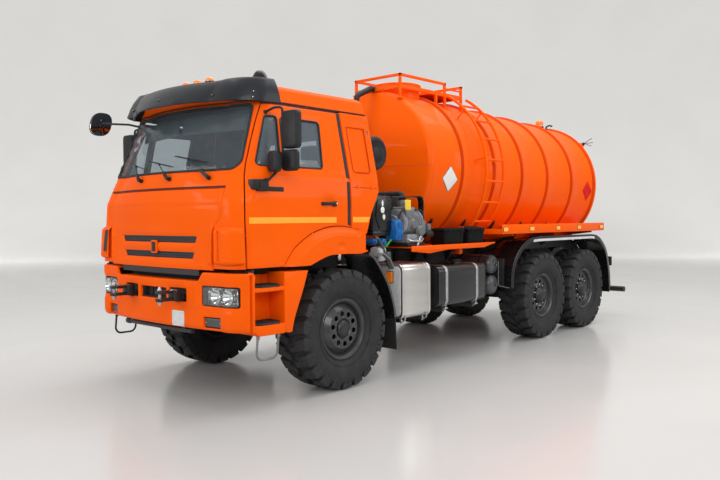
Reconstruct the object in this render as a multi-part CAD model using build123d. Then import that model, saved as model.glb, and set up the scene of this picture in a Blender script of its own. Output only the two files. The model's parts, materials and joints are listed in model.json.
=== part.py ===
from build123d import *
import math
import os

os.makedirs("parts", exist_ok=True)

# ---------------------------------------------------------------------------
# Three-axle all-wheel-drive tanker truck.  Millimetres, +Z up, floor at Z = 0.
# The cab faces -Y and the driver's side is +X.  Everything is laid out with
# the front axle at Y = 0, and put() moves it so that the origin is at the
# middle of the overall length.
# ---------------------------------------------------------------------------
Y_SHIFT = 2680.0           # front axle to middle of the overall length

# running gear
Y_MID, Y_REAR = 4100.0, 5420.0
AXLE_Z = 605.0             # wheel centre height, loaded radius
TYRE_R, TYRE_W = 605.0, 430.0
TRACK_X = 1025.0           # wheel centre from the middle
RIM_R = 267.0
KINGPIN_X = 860.0
SPINDLE_R = 48.0
HUB_BORE = 48.05

# frame
RAIL_X = 445.0             # outer face of a side rail
RAIL_Z0, RAIL_Z1 = 850.0, 1100.0
FRAME_Y0, FRAME_Y1 = -1230.0, 6880.0

# cab
CAB_Z0, BELT_Z, SEAM_Z = 1266.0, 2100.0, 2795.0
CAB_REAR = 530.0
WALL = 50.0
GAP = 7.0                  # shut line round a moving panel
TILT_Y, TILT_Z = -1310.0, 860.0      # cab tilt pivot

# tank
TANK_R, RIB_R = 985.0, 1018.0
TANK_Z, TANK_SLOPE = 2340.0, 0.028   # axis height at Y = 2000 and fall to the rear
TANK_Y0, TANK_Y1 = 1790.0, 6200.0    # head seams
RIBS = (2410.0, 3150.0, 3880.0, 4615.0, 5400.0, 6200.0)
LADDER_Y = (2707.0, 3118.0)
LADDER_R = 1140.0


def tank_z(y):
    return TANK_Z - TANK_SLOPE * (y - 2000.0)


# ---------------------------------------------------------------------------
# helpers
# ---------------------------------------------------------------------------
def box(x0, x1, y0, y1, z0, z1):
    b = Box(x1 - x0, y1 - y0, z1 - z0)
    return Pos((x0 + x1) / 2, (y0 + y1) / 2, (z0 + z1) / 2) * b


def cyl_x(x0, x1, y, z, r):
    return Pos((x0 + x1) / 2, y, z) * Rot(0, 90, 0) * Cylinder(r, abs(x1 - x0))


def cyl_y(x, y0, y1, z, r):
    return Pos(x, (y0 + y1) / 2, z) * Rot(90, 0, 0) * Cylinder(r, abs(y1 - y0))


def cyl_z(x, y, z0, z1, r):
    return Pos(x, y, (z0 + z1) / 2) * Cylinder(r, z1 - z0)


def rod(a, b, r):
    a, b = Vector(*a), Vector(*b)
    d = b - a
    return Solid.make_cylinder(r, d.length, Plane(origin=a, z_dir=d))


def prism_x(pts, x0, x1):
    # outline in Y, Z
    f = make_face(Polyline(*[(x0, y, z) for y, z in pts], close=True))
    return extrude(f, amount=x1 - x0, dir=(1, 0, 0))


def prism_y(pts, y0, y1):
    # outline in X, Z
    f = make_face(Polyline(*[(x, y0, z) for x, z in pts], close=True))
    return extrude(f, amount=y1 - y0, dir=(0, 1, 0))


def prism_z(pts, z0, z1):
    # outline in X, Y
    f = make_face(Polyline(*[(x, y, z0) for x, y in pts], close=True))
    return extrude(f, amount=z1 - z0, dir=(0, 0, 1))


def tube(pts, r, bend):
    path = FilletPolyline(*pts, radius=bend)
    start = Plane(origin=path @ 0, z_dir=path % 0)
    return sweep(start * Circle(r), path=path)


def mirror_x(s):
    return mirror(s, about=Plane.YZ)


def both(s):
    return [s, mirror_x(s)]


def turned_x(profile):
    # closed outline in (x, radius), turned about the X axis
    f = make_face(Polyline(*[(x, r, 0) for x, r in profile], close=True))
    return revolve(f, axis=Axis.X)


def turned_y(edges):
    f = make_face(edges)
    return revolve(f, axis=Axis.Y)


def solids(*items):
    out = []
    for i in items:
        if isinstance(i, (list, tuple, ShapeList)):
            out += solids(*i)
        else:
            out += list(i.solids())
    return out


def put(name, *items):
    parts = solids(*items)
    shape = Compound(children=[Pos(0, -Y_SHIFT, 0) * p for p in parts]) if len(parts) > 1 \
        else Pos(0, -Y_SHIFT, 0) * parts[0]
    export_step(shape, "parts/%s.step" % name)
    print(name, len(parts))


# ---------------------------------------------------------------------------
# wheels: one tyre and one rim for each corner, the same section turned
# ---------------------------------------------------------------------------
# (distance out from the tyre's middle, radius)
TYRE_HALF = ((138, 268), (138, 306), (188, 352), (213, 430), (210, 520), (192, 578), (165, 605))
TYRE_OUT = list(TYRE_HALF) + [(-x, r) for x, r in reversed(TYRE_HALF)]

# disc offset from the tyre's middle, outboard positive
FRONT_DISC, REAR_DISC = 62.0, -42.0


def tyre(side, y):
    t = turned_x(TYRE_OUT)
    return Pos(side * TRACK_X, y, AXLE_Z) * t


def rim(side, y, disc):
    # outline of the barrel with its two flanges
    barrel = turned_x(((-156, 252), (-156, 304), (-141, 304), (-141, 266), (141, 266),
                       (141, 304), (156, 304), (156, 252)))
    plate = cyl_x(disc, disc + 14, 0, 0, 254)
    for k in range(10):
        a = math.radians(36 * k + 18)
        plate -= cyl_x(disc - 5, disc + 20, 192 * math.cos(a), 192 * math.sin(a), 27)
    hub = cyl_x(-100, disc, 0, 0, 118) + cyl_x(-100, 128, 0, 0, 92)
    r = barrel + plate + hub - cyl_x(-130, -8, 0, 0, HUB_BORE)
    if side < 0:
        r = mirror_x(r)
    return Pos(side * TRACK_X, y, AXLE_Z) * r


# name, side, axle position, disc offset
WHEELS = (
    ("front_left", 1, 0.0, FRONT_DISC),
    ("front_right", -1, 0.0, FRONT_DISC),
    ("middle_left", 1, Y_MID, REAR_DISC),
    ("middle_right", -1, Y_MID, REAR_DISC),
    ("rear_left", 1, Y_REAR, REAR_DISC),
    ("rear_right", -1, Y_REAR, REAR_DISC),
)
for name, side, y, disc in WHEELS:
    put(name + "_tyre", tyre(side, y))
    put(name + "_rim", rim(side, y, disc))

# ---------------------------------------------------------------------------
# steering knuckles: kingpin, boss and spindle
# ---------------------------------------------------------------------------
for name, side in (("left_knuckle", 1), ("right_knuckle", -1)):
    k = cyl_z(KINGPIN_X, 0, AXLE_Z - 80, AXLE_Z + 80, 52)
    k += cyl_z(KINGPIN_X, 0, AXLE_Z - 135, AXLE_Z + 135, 22)
    k += cyl_x(KINGPIN_X, TRACK_X - 14, 0, AXLE_Z, SPINDLE_R)
    k += box(KINGPIN_X - 14, KINGPIN_X + 14, 30, 190, AXLE_Z - 76, AXLE_Z - 48)
    put(name, k if side > 0 else mirror_x(k))

# ---------------------------------------------------------------------------
# axles
# ---------------------------------------------------------------------------
DIFF_X = -120.0            # front final drive, right of the middle
# (X, radius) of each axle beam, with its final drive bulge
FRONT_BEAM = ((-720, 0), (-720, 72), (DIFF_X - 185, 78), (DIFF_X - 120, 150), (DIFF_X - 45, 186), (DIFF_X + 45, 186),
              (DIFF_X + 120, 150), (DIFF_X + 185, 78), (720, 72), (720, 0))
REAR_BEAM = ((-1011, 0), (-1011, SPINDLE_R), (-900, SPINDLE_R), (-900, 82), (-215, 88), (-140, 162), (-50, 204), (50, 204),
             (140, 162), (215, 88), (900, 82), (900, SPINDLE_R), (1011, SPINDLE_R), (1011, 0))
ax = Pos(0, 0, AXLE_Z) * turned_x(FRONT_BEAM)
for s in (1, -1):
    web = box(690, 750, -60, 60, AXLE_Z - 128, AXLE_Z + 128)
    # eyes round the kingpin, rounded so the steered wheel's hub clears them
    ears = box(690, KINGPIN_X, -55, 55, AXLE_Z + 88, AXLE_Z + 128) + cyl_z(KINGPIN_X, 0, AXLE_Z + 88, AXLE_Z + 128, 55)
    ears += box(690, KINGPIN_X, -55, 55, AXLE_Z - 128, AXLE_Z - 88) + cyl_z(KINGPIN_X, 0, AXLE_Z - 128, AXLE_Z - 88, 55)
    ears -= cyl_z(KINGPIN_X, 0, AXLE_Z - 200, AXLE_Z + 200, 22.05)
    seat = box(345, 455, -90, 90, AXLE_Z + 40, AXLE_Z + 105)
    piece = web + ears + seat
    ax += piece if s > 0 else mirror_x(piece)
put("front_axle", ax)

rear = []
for y in (Y_MID, Y_REAR):
    a = Pos(0, y, AXLE_Z) * turned_x(REAR_BEAM)
    for s in (1, -1):
        a += box(s * 400 - 55, s * 400 + 55, y - 75, y + 75, AXLE_Z + 40, AXLE_Z + 110)
    rear.append(a)
put("rear_axles", rear)

# ---------------------------------------------------------------------------
# leaf springs: outline in Y, Z, one pack under each rail
# ---------------------------------------------------------------------------
FRONT_LEAF = ((-700, 846), (-640, 846), (-300, 778), (300, 778), (640, 846), (700, 846),
              (700, 820), (330, 740), (110, 712), (-110, 712), (-330, 740), (-700, 820))
Y_BOG = (Y_MID + Y_REAR) / 2
REAR_LEAF = ((-720, 745), (-300, 800), (-90, 846), (90, 846), (300, 800), (720, 745),
             (720, 717), (300, 745), (-300, 745), (-720, 717))
springs = []
for s in (1, -1):
    x = s * 400
    springs.append(prism_x(FRONT_LEAF, x - 40, x + 40))
    springs.append(prism_x([(y + Y_BOG, z) for y, z in REAR_LEAF], x - 45, x + 45))
put("leaf_springs", springs)

# ---------------------------------------------------------------------------
# chassis frame: two channel rails and cross members
# ---------------------------------------------------------------------------
rails, fittings = [], []
for s in (1, -1):
    rail = box(RAIL_X - 8, RAIL_X, FRAME_Y0, FRAME_Y1, RAIL_Z0, RAIL_Z1)
    rail += box(RAIL_X - 90, RAIL_X, FRAME_Y0, FRAME_Y1, RAIL_Z0, RAIL_Z0 + 9)
    rail += box(RAIL_X - 90, RAIL_X, FRAME_Y0, FRAME_Y1, RAIL_Z1 - 9, RAIL_Z1)
    rails.append(rail if s > 0 else mirror_x(rail))
# cross members: position along the frame, half length, low edge, high edge
CROSS = (
    (-1195, 35, 870, 1080),
    (-500, 40, 860, 905),
    (240, 40, 860, 905),
    (1020, 40, 1010, 1090),
    (1790, 40, 1010, 1090),
    (2560, 40, 1010, 1090),
    (3330, 40, 1010, 1090),
    (4060, 40, 1010, 1090),
    (Y_BOG, 110, 870, 1090),
    (5480, 40, 1010, 1090),
    (6180, 40, 1010, 1090),
    (6845, 35, 860, 1090),
)
for y, h, z0, z1 in CROSS:
    fittings.append(box(-(RAIL_X - 8), RAIL_X - 8, y - h, y + h, z0, z1))
for s in (1, -1):
    # tilt pivot bracket and pin at the front, cab rest at the back
    pivot = box(RAIL_X, RAIL_X + 20, TILT_Y - 34, -1120, TILT_Z - 34, TILT_Z + 44)
    pivot += cyl_x(RAIL_X + 5, 520, TILT_Y, TILT_Z, 20)
    rest = box(365, 440, 395, 465, RAIL_Z1, 1367)
    fittings += [p if s > 0 else mirror_x(p) for p in (pivot, rest)]
put("chassis_frame", rails, fittings)

# power unit as one plain block, then gearbox, transfer box and shafts
put("engine_block", box(-320, 320, -880, 260, 925, 1320))

gearbox = box(-190, 190, 262, 960, 930, 1240)
transfer = box(-230, 230, 1860, 2260, 660, 985)
shafts = [rod((0, 950, 945), (40, 1870, 868), 48), rod((DIFF_X, 190, 622), (DIFF_X, 1880, 740), 42),
          rod((0, 2240, 760), (0, Y_MID - 208, 640), 48), rod((0, Y_MID + 208, 640), (0, Y_REAR - 208, 640), 48)]
put("driveline", gearbox, transfer, [p - gearbox - transfer for p in shafts])

# ---------------------------------------------------------------------------
# front bumper: bowed in plan, raised ends, pockets for lamps and tow forks
# ---------------------------------------------------------------------------
def bow(half, y_mid, y_side, y_corner, cx, z):
    # front outline in plan: side, corner arc, long front arc, corner arc
    p = [(half, y_corner, z), (half - cx * 0.29, (y_side + y_corner) / 2 - (y_corner - y_side) * 0.19, z),
         (half - cx, y_side, z), (0, y_mid, z)]
    q = [(-p[2][0], p[2][1], z), (-p[1][0], p[1][1], z), (-p[0][0], p[0][1], z)]
    return [ThreePointArc(p[0], p[1], p[2]), ThreePointArc(p[2], p[3], q[0]), ThreePointArc(q[0], q[1], q[2])]


def plan(half, y_mid, y_side, y_corner, cx, y_back, z):
    arcs = bow(half, y_mid, y_side, y_corner, cx, z)
    lines = [Line((-half, y_corner, z), (-half, y_back, z)), Line((-half, y_back, z), (half, y_back, z)),
             Line((half, y_back, z), (half, y_corner, z))]
    return make_face(arcs + lines)


bump = extrude(plan(1250, -1425, -1375, -1240, 230, -1222, 712), amount=520, dir=(0, 0, 1))
inner = extrude(plan(1225, -1385, -1335, -1212, 215, -1100, 700), amount=508, dir=(0, 0, 1))
bump -= inner
# middle of the top edge is lower than the ends
bump -= prism_y([(-760, 1300), (-690, 1150), (690, 1150), (760, 1300)], -1600, -1000)
bump -= box(-225, 225, -1500, -1300, 962, 1062)
for s in (1, -1):
    fork = box(275, 525, -1500, -1300, 950, 1075)
    lamp = box(690, 1178, -1500, -1200, 930, 1112)
    fog = box(712, 935, -1500, -1200, 735, 832)
    for c in (fork, lamp, fog):
        bump -= c if s > 0 else mirror_x(c)
# stays that carry the bumper on the rails
for s in (1, -1):
    stay = box(340, 437, -1390, FRAME_Y0, 1078, 1100) + box(340, 437, FRAME_Y0 - 14, FRAME_Y0, 1010, 1100)
    bump += stay if s > 0 else mirror_x(stay)
put("front_bumper", bump)

# tow forks with drop-in pins
forks = []
for s in (1, -1):
    f = box(358, 434, -1400, FRAME_Y0, 960, 1004)
    f += box(352, 456, -1480, -1392, 958, 1064)
    f -= box(300, 500, -1478, -1460, 990, 1036)
    f += box(358, 452, -1640, -1470, 1036, 1058) + box(358, 452, -1640, -1470, 966, 988)
    f -= cyl_z(405, -1600, 940, 1080, 17)
    pin = cyl_z(405, -1600, 925, 1100, 15) + cyl_z(405, -1600, 1059, 1100, 24)
    forks += both(f + pin) if s > 0 else []
put("tow_forks", forks)

# ---------------------------------------------------------------------------
# step housings behind the bumper ends, with the loop step below
# ---------------------------------------------------------------------------
STEP_SIDE = ((-1214, 712), (-1214, 1232), (-1195, 1232), (-1180, 1200), (-600, 1200), (-712, 900), (-768, 668), (-1190, 668))
step = prism_x(STEP_SIDE, 930, 1250)
step -= box(1010, 1300, -1180, -830, 1105, 1300)
step -= box(1030, 1300, -1190, -830, 770, 1062)
step -= box(900, 1010, -1180, -790, 700, 1165)
step += box(960, 1035, -1160, -860, 850, 1000)
loop = tube([(1210, -1127, 690), (1210, -1127, 455), (1210, -886, 455), (1210, -886, 690)], 10, 60)
step += loop
carry = box(RAIL_X, 1012, -1000, -900, 880, 940)
step += carry
put("cab_steps", both(step))

# ---------------------------------------------------------------------------
# mudguards: front wheel's rear strip with flap, and the long rear guards
# ---------------------------------------------------------------------------
STRIP = ((345, 1332), (395, 1318), (485, 1208), (640, 1000), (748, 668), (752, 660), (778, 290),
         (793, 290), (770, 672), (764, 700), (660, 1020), (505, 1226), (408, 1340), (345, 1354))
guards = []
g = prism_x(STRIP, 800, 1225)
g += box(RAIL_X, 812, 640, 690, 985, 1035)
guards += both(g)
# rear guard outlines, outer then inner, in Y, Z
REAR_OUT = ((3195, 770), (3192, 930), (3285, 1130), (3455, 1285), (3780, 1395), (5660, 1395),
            (5930, 1322), (6140, 1138), (6240, 856), (6282, 480))
REAR_IN = ((6266, 480), (6222, 852), (6124, 1128), (5922, 1304), (5656, 1379), (3784, 1379),
           (3464, 1270), (3300, 1122), (3210, 928), (3211, 770))
g = prism_x(REAR_OUT + REAR_IN, 800, 1235)
for y in (3420, Y_BOG, 6030):
    g += box(RAIL_X, 812, y - 20, y + 20, 1050, 1085)
    g += box(790, 812, y - 20, y + 20, 1050, 1385 if y == Y_BOG else 1265)
guards += both(g)
put("mudguards", guards)

# ---------------------------------------------------------------------------
# boxes and tanks along the frame
# ---------------------------------------------------------------------------
def rounded_box_y(x0, x1, y0, y1, z0, z1, r):
    b = box(x0, x1, y0, y1, z0, z1)
    return fillet(b.edges().filter_by(Axis.Y), r)


battery = rounded_box_y(700, 1222, 890, 1395, 600, 1205, 70)
put("battery_box", battery, box(RAIL_X, 700, 1000, 1060, 880, 950), box(RAIL_X, 700, 1240, 1300, 880, 950))

fuel = []
for s in (1, -1):
    t = [rounded_box_y(690, 1222, 1560, 2560, 672, 1150, 75)]
    for y in (1720, 2360):
        t.append(box(RAIL_X, 690, y - 30, y + 30, 880, 960))
    fuel += [p if s > 0 else mirror_x(p) for p in t]
put("fuel_tanks", fuel)

# exhaust silencer on the right, ahead of the right-hand tank
sil = cyl_x(-1190, -560, 1130, 900, 260)
put("silencer", sil, box(-560, -RAIL_X, 1100, 1160, 870, 930))

air = []
for s in (1, -1):
    for z in (1092, 824):
        a = [cyl_x(500, 1090, 2945, z, 127), box(RAIL_X, 500, 2905, 2985, min(z, 1040), min(z, 1040) + 45)]
        air += [p if s > 0 else mirror_x(p) for p in a]
put("air_reservoirs", air)

# ---------------------------------------------------------------------------
# tank: one turned shell with six ribs and two dished heads, then a neck
# ---------------------------------------------------------------------------
HEAD_TURN = 20.0           # degrees, dish edge from square
KNUCKLE_R = 72.0
RIB_W = 44.0
_s, _c = math.sin(math.radians(HEAD_TURN)), math.cos(math.radians(HEAD_TURN))
_s2, _c2 = math.sin(math.radians((HEAD_TURN + 90) / 2)), math.cos(math.radians((HEAD_TURN + 90) / 2))
DISH_R = (TANK_R - KNUCKLE_R * (1 - _s)) / _s
HEAD_DEPTH = KNUCKLE_R * _c + DISH_R * (1 - _c)


def head(y, way):
    # dish arc from the axis, then the knuckle, ending on the shell at y
    h = math.radians(HEAD_TURN / 2)
    apex = (0, y + way * HEAD_DEPTH)
    mid = (DISH_R * math.sin(h), y + way * (HEAD_DEPTH - DISH_R * (1 - math.cos(h))))
    edge = (TANK_R - KNUCKLE_R * (1 - _s), y + way * KNUCKLE_R * _c)
    bend = (TANK_R - KNUCKLE_R * (1 - _s2), y + way * KNUCKLE_R * _c2)
    return ThreePointArc(apex, mid, edge), ThreePointArc(edge, bend, (TANK_R, y)), apex


def tank_outline():
    # outline in (radius, distance along the axis from Y = 2000)
    y0, y1 = TANK_Y0 - 2000, RIBS[-1] - 2000 + RIB_W
    a, b, apex0 = head(y0, -1)
    e = [a, b]
    last = (TANK_R, y0)
    for y in RIBS:
        c = y - 2000
        e.append(Line(last, (TANK_R, c - RIB_W)))
        e.append(Line((TANK_R, c - RIB_W), (RIB_R, c - RIB_W + 18)))
        e.append(Line((RIB_R, c - RIB_W + 18), (RIB_R, c + RIB_W - 18)))
        e.append(Line((RIB_R, c + RIB_W - 18), (TANK_R, c + RIB_W)))
        last = (TANK_R, c + RIB_W)
    a, b, apex1 = head(y1, 1)
    e += [b, a, Line(apex1, apex0)]
    return e


TILT = math.degrees(math.atan(TANK_SLOPE))
tank = turned_y(tank_outline())
tank = Pos(0, 2000, TANK_Z) * Rot(-TILT, 0, 0) * tank
HATCH_X, HATCH_Y, HATCH_R = 120.0, 2150.0, 300.0
tank += cyl_z(HATCH_X, HATCH_Y, 3200, 3400, HATCH_R)
# ears that carry the hatch hinge
for x in (HATCH_X - 86, HATCH_X + 68):
    tank += box(x, x + 18, 2430, 2524, 3290, 3432)
put("tank", tank)


def tank_cut(r):
    return Pos(0, 4000, tank_z(4000)) * Rot(-TILT, 0, 0) * Rot(90, 0, 0) * Cylinder(r, 7000)


# cradle: two long beams on the frame with saddles between the ribs
cradle = []
beam_pts = ((1660, 1101), (6560, 1101), (6560, tank_z(6560) - 968), (1660, tank_z(1660) - 968))
for s in (1, -1):
    cradle.append(prism_x(beam_pts, 350, 440) if s > 0 else prism_x(beam_pts, -440, -350))
beams = cradle[0] + cradle[1]
for y in (2060, 2790, 3510, 4250, 5010, 5800):
    z = tank_z(y)
    sad = prism_y([(-440, 1120), (440, 1120), (760, z - 660), (760, z - 560), (-760, z - 560), (-760, z - 660)], y - 12, y + 12)
    sad += prism_y([(-440, 1120), (440, 1120), (440, z - 870), (-440, z - 870)], y - 12, y + 12)
    cradle.append(sad - tank_cut(TANK_R + 1.5) - beams)
put("tank_cradle", cradle)

# side trays along the tank, with brackets down to the cradle
trays = []
for s in (1, -1):
    t = [box(740, 1228, 2926, 6027, 1490, 1498), box(1228, 1240, 2926, 6027, 1490, 1615)]
    t += [box(740, 1228, 2926, 2938, 1498, 1560), box(740, 1228, 6015, 6027, 1498, 1560)]
    t += [box(760, 850, 2600, 2926, 1490, 1595)]
    for y in (3300, 4500, 5700):
        t.append(prism_y([(441, 1440), (441, 1380), (1180, 1470), (1180, 1490), (441, 1490)], y - 20, y + 20) - tank_cut(RIB_R + 4))
    trays += [p if s > 0 else mirror_x(p) for p in t]
put("side_trays", trays)

# shelf and two tool boxes with lids, on the left behind the cab
SHELF = ((1150, 1336), (1150, 1352), (2720, 1394), (2900, 1394), (2900, 1386), (2720, 1352))
shelf = box(640, 1150, 1150, 2900, 1366, 1380)
shelf += box(1138, 1150, 1150, 2720, 1330, 1380)
for y in (1700, 2330):
    shelf += box(RAIL_X - 4, 700, y, y + 60, 1310, 1368) + box(RAIL_X - 4, 470, y - 10, y + 70, 1180, 1368)
# name, front, back
TOOLBOX = (("front_toolbox", 1795, 2222), ("rear_toolbox", 2293, 2678))
LID_Z = 1552.0
for name, y0, y1 in TOOLBOX:
    shelf += box(905, 1132, y0 + 8, y1 - 8, 1380, LID_Z) - box(915, 1122, y0 + 18, y1 - 18, 1391, LID_Z + 5)
    lid = box(898, 1140, y0, y1, LID_Z + 1, LID_Z + 34)
    put(name + "_lid", lid)
put("toolboxes", shelf)

# ---------------------------------------------------------------------------
# vacuum pump set, its guard, the pipe to the tank and the air cleaner
# ---------------------------------------------------------------------------
pump = cyl_y(930, 1110, 1500, 1660, 150)
pump += cyl_y(930, 1040, 1110, 1640, 105)
pump += cyl_z(885, 1300, 1780, 1898, 42)
pump += cyl_x(1000, 1110, 1400, 1560, 60)
pump += box(760, 1090, 1160, 1480, 1382, 1530)
put("vacuum_pump", pump)

guard = box(520, 1010, 640, 980, 1560, 1960)
guard += box(930, 1010, 975, 1560, 1935, 1968)
guard += box(930, 1010, 1530, 1562, 1660, 1968)
guard += box(560, 660, 700, 900, 1101, 1565)
guard += box(RAIL_X - 85, 660, 700, 900, 1100, 1180)
put("oil_tank", guard)

cleaner = cyl_x(330, 905, 850, 2430, 190)
cleaner += cyl_z(450, 850, 1962, 2300, 45)
put("air_cleaner", cleaner)

# black steel pipe from the hatch neck over the front head to the pump
VAC = [(60, 1900, 3350), (60, 1700, 3350), (60, 1440, 3230), (60, 1430, 1988), (885, 1300, 1988), (885, 1300, 1899)]
vac = tube(VAC, 36, 84) - tank
put("vacuum_pipe", vac)

# ---------------------------------------------------------------------------
# ladder, platform with its low rail, hatch lid
# ---------------------------------------------------------------------------
def arc_rail(y, r, a0, a1, z):
    p = [(r * math.cos(math.radians(a)), y, z + r * math.sin(math.radians(a))) for a in (a0, (a0 + a1) / 2, a1)]
    path = ThreePointArc(*p)
    return sweep(Plane(origin=path @ 0, z_dir=path % 0) * Circle(15), path=path)


zl = tank_z((LADDER_Y[0] + LADDER_Y[1]) / 2)
ladder = [arc_rail(LADDER_Y[0], LADDER_R, -38, 61, zl), arc_rail(LADDER_Y[1], LADDER_R, -38, 61, zl)]
side_rails = ladder[0] + ladder[1]
for a in (-35, -21, -7, 7, 21, 35, 49):
    x, z = LADDER_R * math.cos(math.radians(a)), zl + LADDER_R * math.sin(math.radians(a))
    ladder.append(cyl_y(x, LADDER_Y[0] + 5, LADDER_Y[1] - 5, z, 11) - side_rails)
for a in (-30, 8, 45):
    for y in LADDER_Y:
        c, s_ = math.cos(math.radians(a)), math.sin(math.radians(a))
        near = TANK_R + 8 if y < 3000 else RIB_R + 8
        ladder.append(rod((LADDER_R * c, y, zl + LADDER_R * s_), (near * c, y, zl + near * s_), 9) - side_rails)
put("ladder", ladder)

PX0, PX1, PY0, PY1 = -250.0, 500.0, 1755.0, 3095.0
FLOOR_Z, RAIL_TOP = 3350.0, 3500.0
plat = box(PX0, PX1, PY0, PY1, FLOOR_Z, FLOOR_Z + 16)
plat -= cyl_z(HATCH_X, HATCH_Y, 3300, 3400, HATCH_R + 45)
plat -= box(0, 120, 1700, 1900, 3300, 3400)
plat -= box(HATCH_X - 100, HATCH_X + 100, 2400, 2535, 3300, 3400)
# posts: x, y, top
POSTS = ((PX1 - 10, PY0 + 12, RAIL_TOP), (PX1 - 10, 2508, FLOOR_Z), (PX1 - 10, 2703, RAIL_TOP), (PX1 - 10, PY1 - 12, RAIL_TOP),
         (PX0 + 10, PY0 + 12, RAIL_TOP), (PX0 + 10, 2508, FLOOR_Z), (PX0 + 10, PY1 - 12, RAIL_TOP))
for x, y, top in POSTS:
    plat += box(x - 13, x + 13, y - 13, y + 13, 3160, top) - tank_cut(TANK_R + 1)
for a, b in ((0, 2), (0, 4), (4, 6), (3, 6)):
    pa, pb = POSTS[a], POSTS[b]
    plat += box(min(pa[0], pb[0]) - 13, max(pa[0], pb[0]) + 13, min(pa[1], pb[1]) - 13, max(pa[1], pb[1]) + 13,
                RAIL_TOP - 24, RAIL_TOP)
put("platform", plat)

lid = cyl_z(HATCH_X, HATCH_Y, 3401, 3425, HATCH_R + 20)
lid += Pos(HATCH_X, HATCH_Y, 3424) * Cone(HATCH_R + 5, HATCH_R - 120, 30, align=(Align.CENTER, Align.CENTER, Align.MIN))
lid += box(HATCH_X - 60, HATCH_X + 60, HATCH_Y + 280, HATCH_Y + 365, 3401, 3425)
lid -= box(HATCH_X - 92, HATCH_X - 62, 2425, 2540, 3390, 3440) + box(HATCH_X + 62, HATCH_X + 92, 2425, 2540, 3390, 3440)
put("manhole_lid", lid)

# ---------------------------------------------------------------------------
# rear end: discharge valve with its flange, under-run bar, lights
# ---------------------------------------------------------------------------
VALVE_X, VALVE_Z = 0.0, 1500.0
valve = cyl_y(VALVE_X, 6330, 6760, VALVE_Z, 60) + cyl_y(VALVE_X, 6740, 6764, VALVE_Z, 110)
valve -= cyl_y(VALVE_X, 6400, 6800, VALVE_Z, 50)
valve -= Pos(0, 2000, TANK_Z) * Rot(-TILT, 0, 0) * turned_y(tank_outline())
for k in range(4):
    a = math.radians(45 + 90 * k)
    valve -= cyl_y(VALVE_X + 85 * math.cos(a), 6730, 6770, VALVE_Z + 85 * math.sin(a), 9)
valve += box(-45, 45, 6440, 6560, VALVE_Z + 55, VALVE_Z + 200)
put("discharge_valve", valve)

bar = cyl_x(-1200, 1200, 6955, 470, 45)
for s in (1, -1):
    bar += box(s * 400 - 35, s * 400 + 35, 6880, 6940, 440, 1060)
put("underrun_bar", bar)

lights = []
for s in (1, -1):
    l = box(760, 1020, 6820, 6885, 850, 1050) + box(RAIL_X, 765, 6830, 6870, 930, 970)
    lights.append(l if s > 0 else mirror_x(l))

heads = []
for s in (1, -1):
    l = box(694, 1174, -1345, -1230, 934, 1108) & extrude(plan(1245, -1410, -1352, -1226, 225, -1100, 900), amount=300, dir=(0, 0, 1))
    fg = box(716, 931, -1350, -1260, 739, 828)
    heads += [p if s > 0 else mirror_x(p) for p in (l, fg)]
put("headlamps", heads)

z = tank_z(6300)
beacon = cyl_z(0, 6290, z + 960, z + 1060, 20) + cyl_z(0, 6290, z + 1055, z + 1085, 80)
beacon += cyl_z(0, 6290, z + 1085, z + 1200, 68)
beacon -= Pos(0, 2000, TANK_Z) * Rot(-TILT, 0, 0) * turned_y(tank_outline())
put("rear_lights", lights, beacon)

# ---------------------------------------------------------------------------
# cab shell: stacked plan sections, side walls leaning in above the belt
# ---------------------------------------------------------------------------
# z, half width, front middle, front at the corner, corner start, corner run, rear
CAB_SECTIONS = (
    (CAB_Z0, 1200, -1385, -1335, -1200, 200, CAB_REAR),
    (1870, 1200, -1405, -1355, -1215, 200, CAB_REAR),
    (BELT_Z, 1192, -1370, -1315, -1180, 200, CAB_REAR),
    (SEAM_Z, 1060, -1140, -1075, -935, 190, CAB_REAR),
)


def cab_solid(d, sections=CAB_SECTIONS, grow_top=0.0):
    faces = []
    n = len(sections)
    for i, (z, w, ym, ys, yc, cx, yb) in enumerate(sections):
        zz = z
        if i == 0:
            zz = z - grow_top
        if i == n - 1:
            zz = z + grow_top
        faces.append(plan(w - d, ym + d, ys + d, yc + d, cx, yb - d, zz))
    body = None
    for a, b in zip(faces[:-1], faces[1:]):
        seg = loft([a, b], ruled=True)
        body = seg if body is None else body + seg
    return body


outer = cab_solid(0)
inner = cab_solid(WALL, grow_top=1.0)

# side view outlines, Y then Z
FLARE = ((-802, 1268), (-648, 1446), (-470, 1551), (-210, 1622), (145, 1607), (302, 1521), (302, 1372),
         (185, 1352), (0, 1358), (-256, 1350), (-402, 1308), (-510, 1268))
DOOR = ((-1203, 1273), (-1203, 2090), (-964, 2770), (93, 2770), (93, 1273))
DOOR_REAR_GAP = 13.0
QUARTER = ((-1080, 2188), (-900, 2645), (-768, 2645), (-808, 2188))
WINDOW = ((-762, 2188), (-722, 2655), (-213, 2655), (-258, 2188))
SCREEN = ((-1075, 2165), (1075, 2165), (968, 2745), (-968, 2745))       # X, Z
PANEL = ((-860, 1273), (860, 1273), (860, 1985), (-860, 1985))          # X, Z
REAR_WIN = ((-620, 2200), (620, 2200), (600, 2620), (-600, 2620))       # X, Z


def side_face(pts, g=0):
    f = make_face(Polyline(*[(a, b) for a, b in pts], close=True))
    return offset(f, amount=g, kind=Kind.INTERSECTION) if g else f


def side_prism(f, x0, x1):
    f = Plane(origin=(x0, 0, 0), x_dir=(0, 1, 0), z_dir=(1, 0, 0)) * f
    return extrude(f, amount=x1 - x0, dir=(1, 0, 0))


def front_prism(pts, g, y0, y1):
    f = Plane(origin=(0, y0, 0), x_dir=(1, 0, 0), z_dir=(0, -1, 0)) * side_face(pts, g)
    return extrude(f, amount=y1 - y0, dir=(0, 1, 0))


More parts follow.
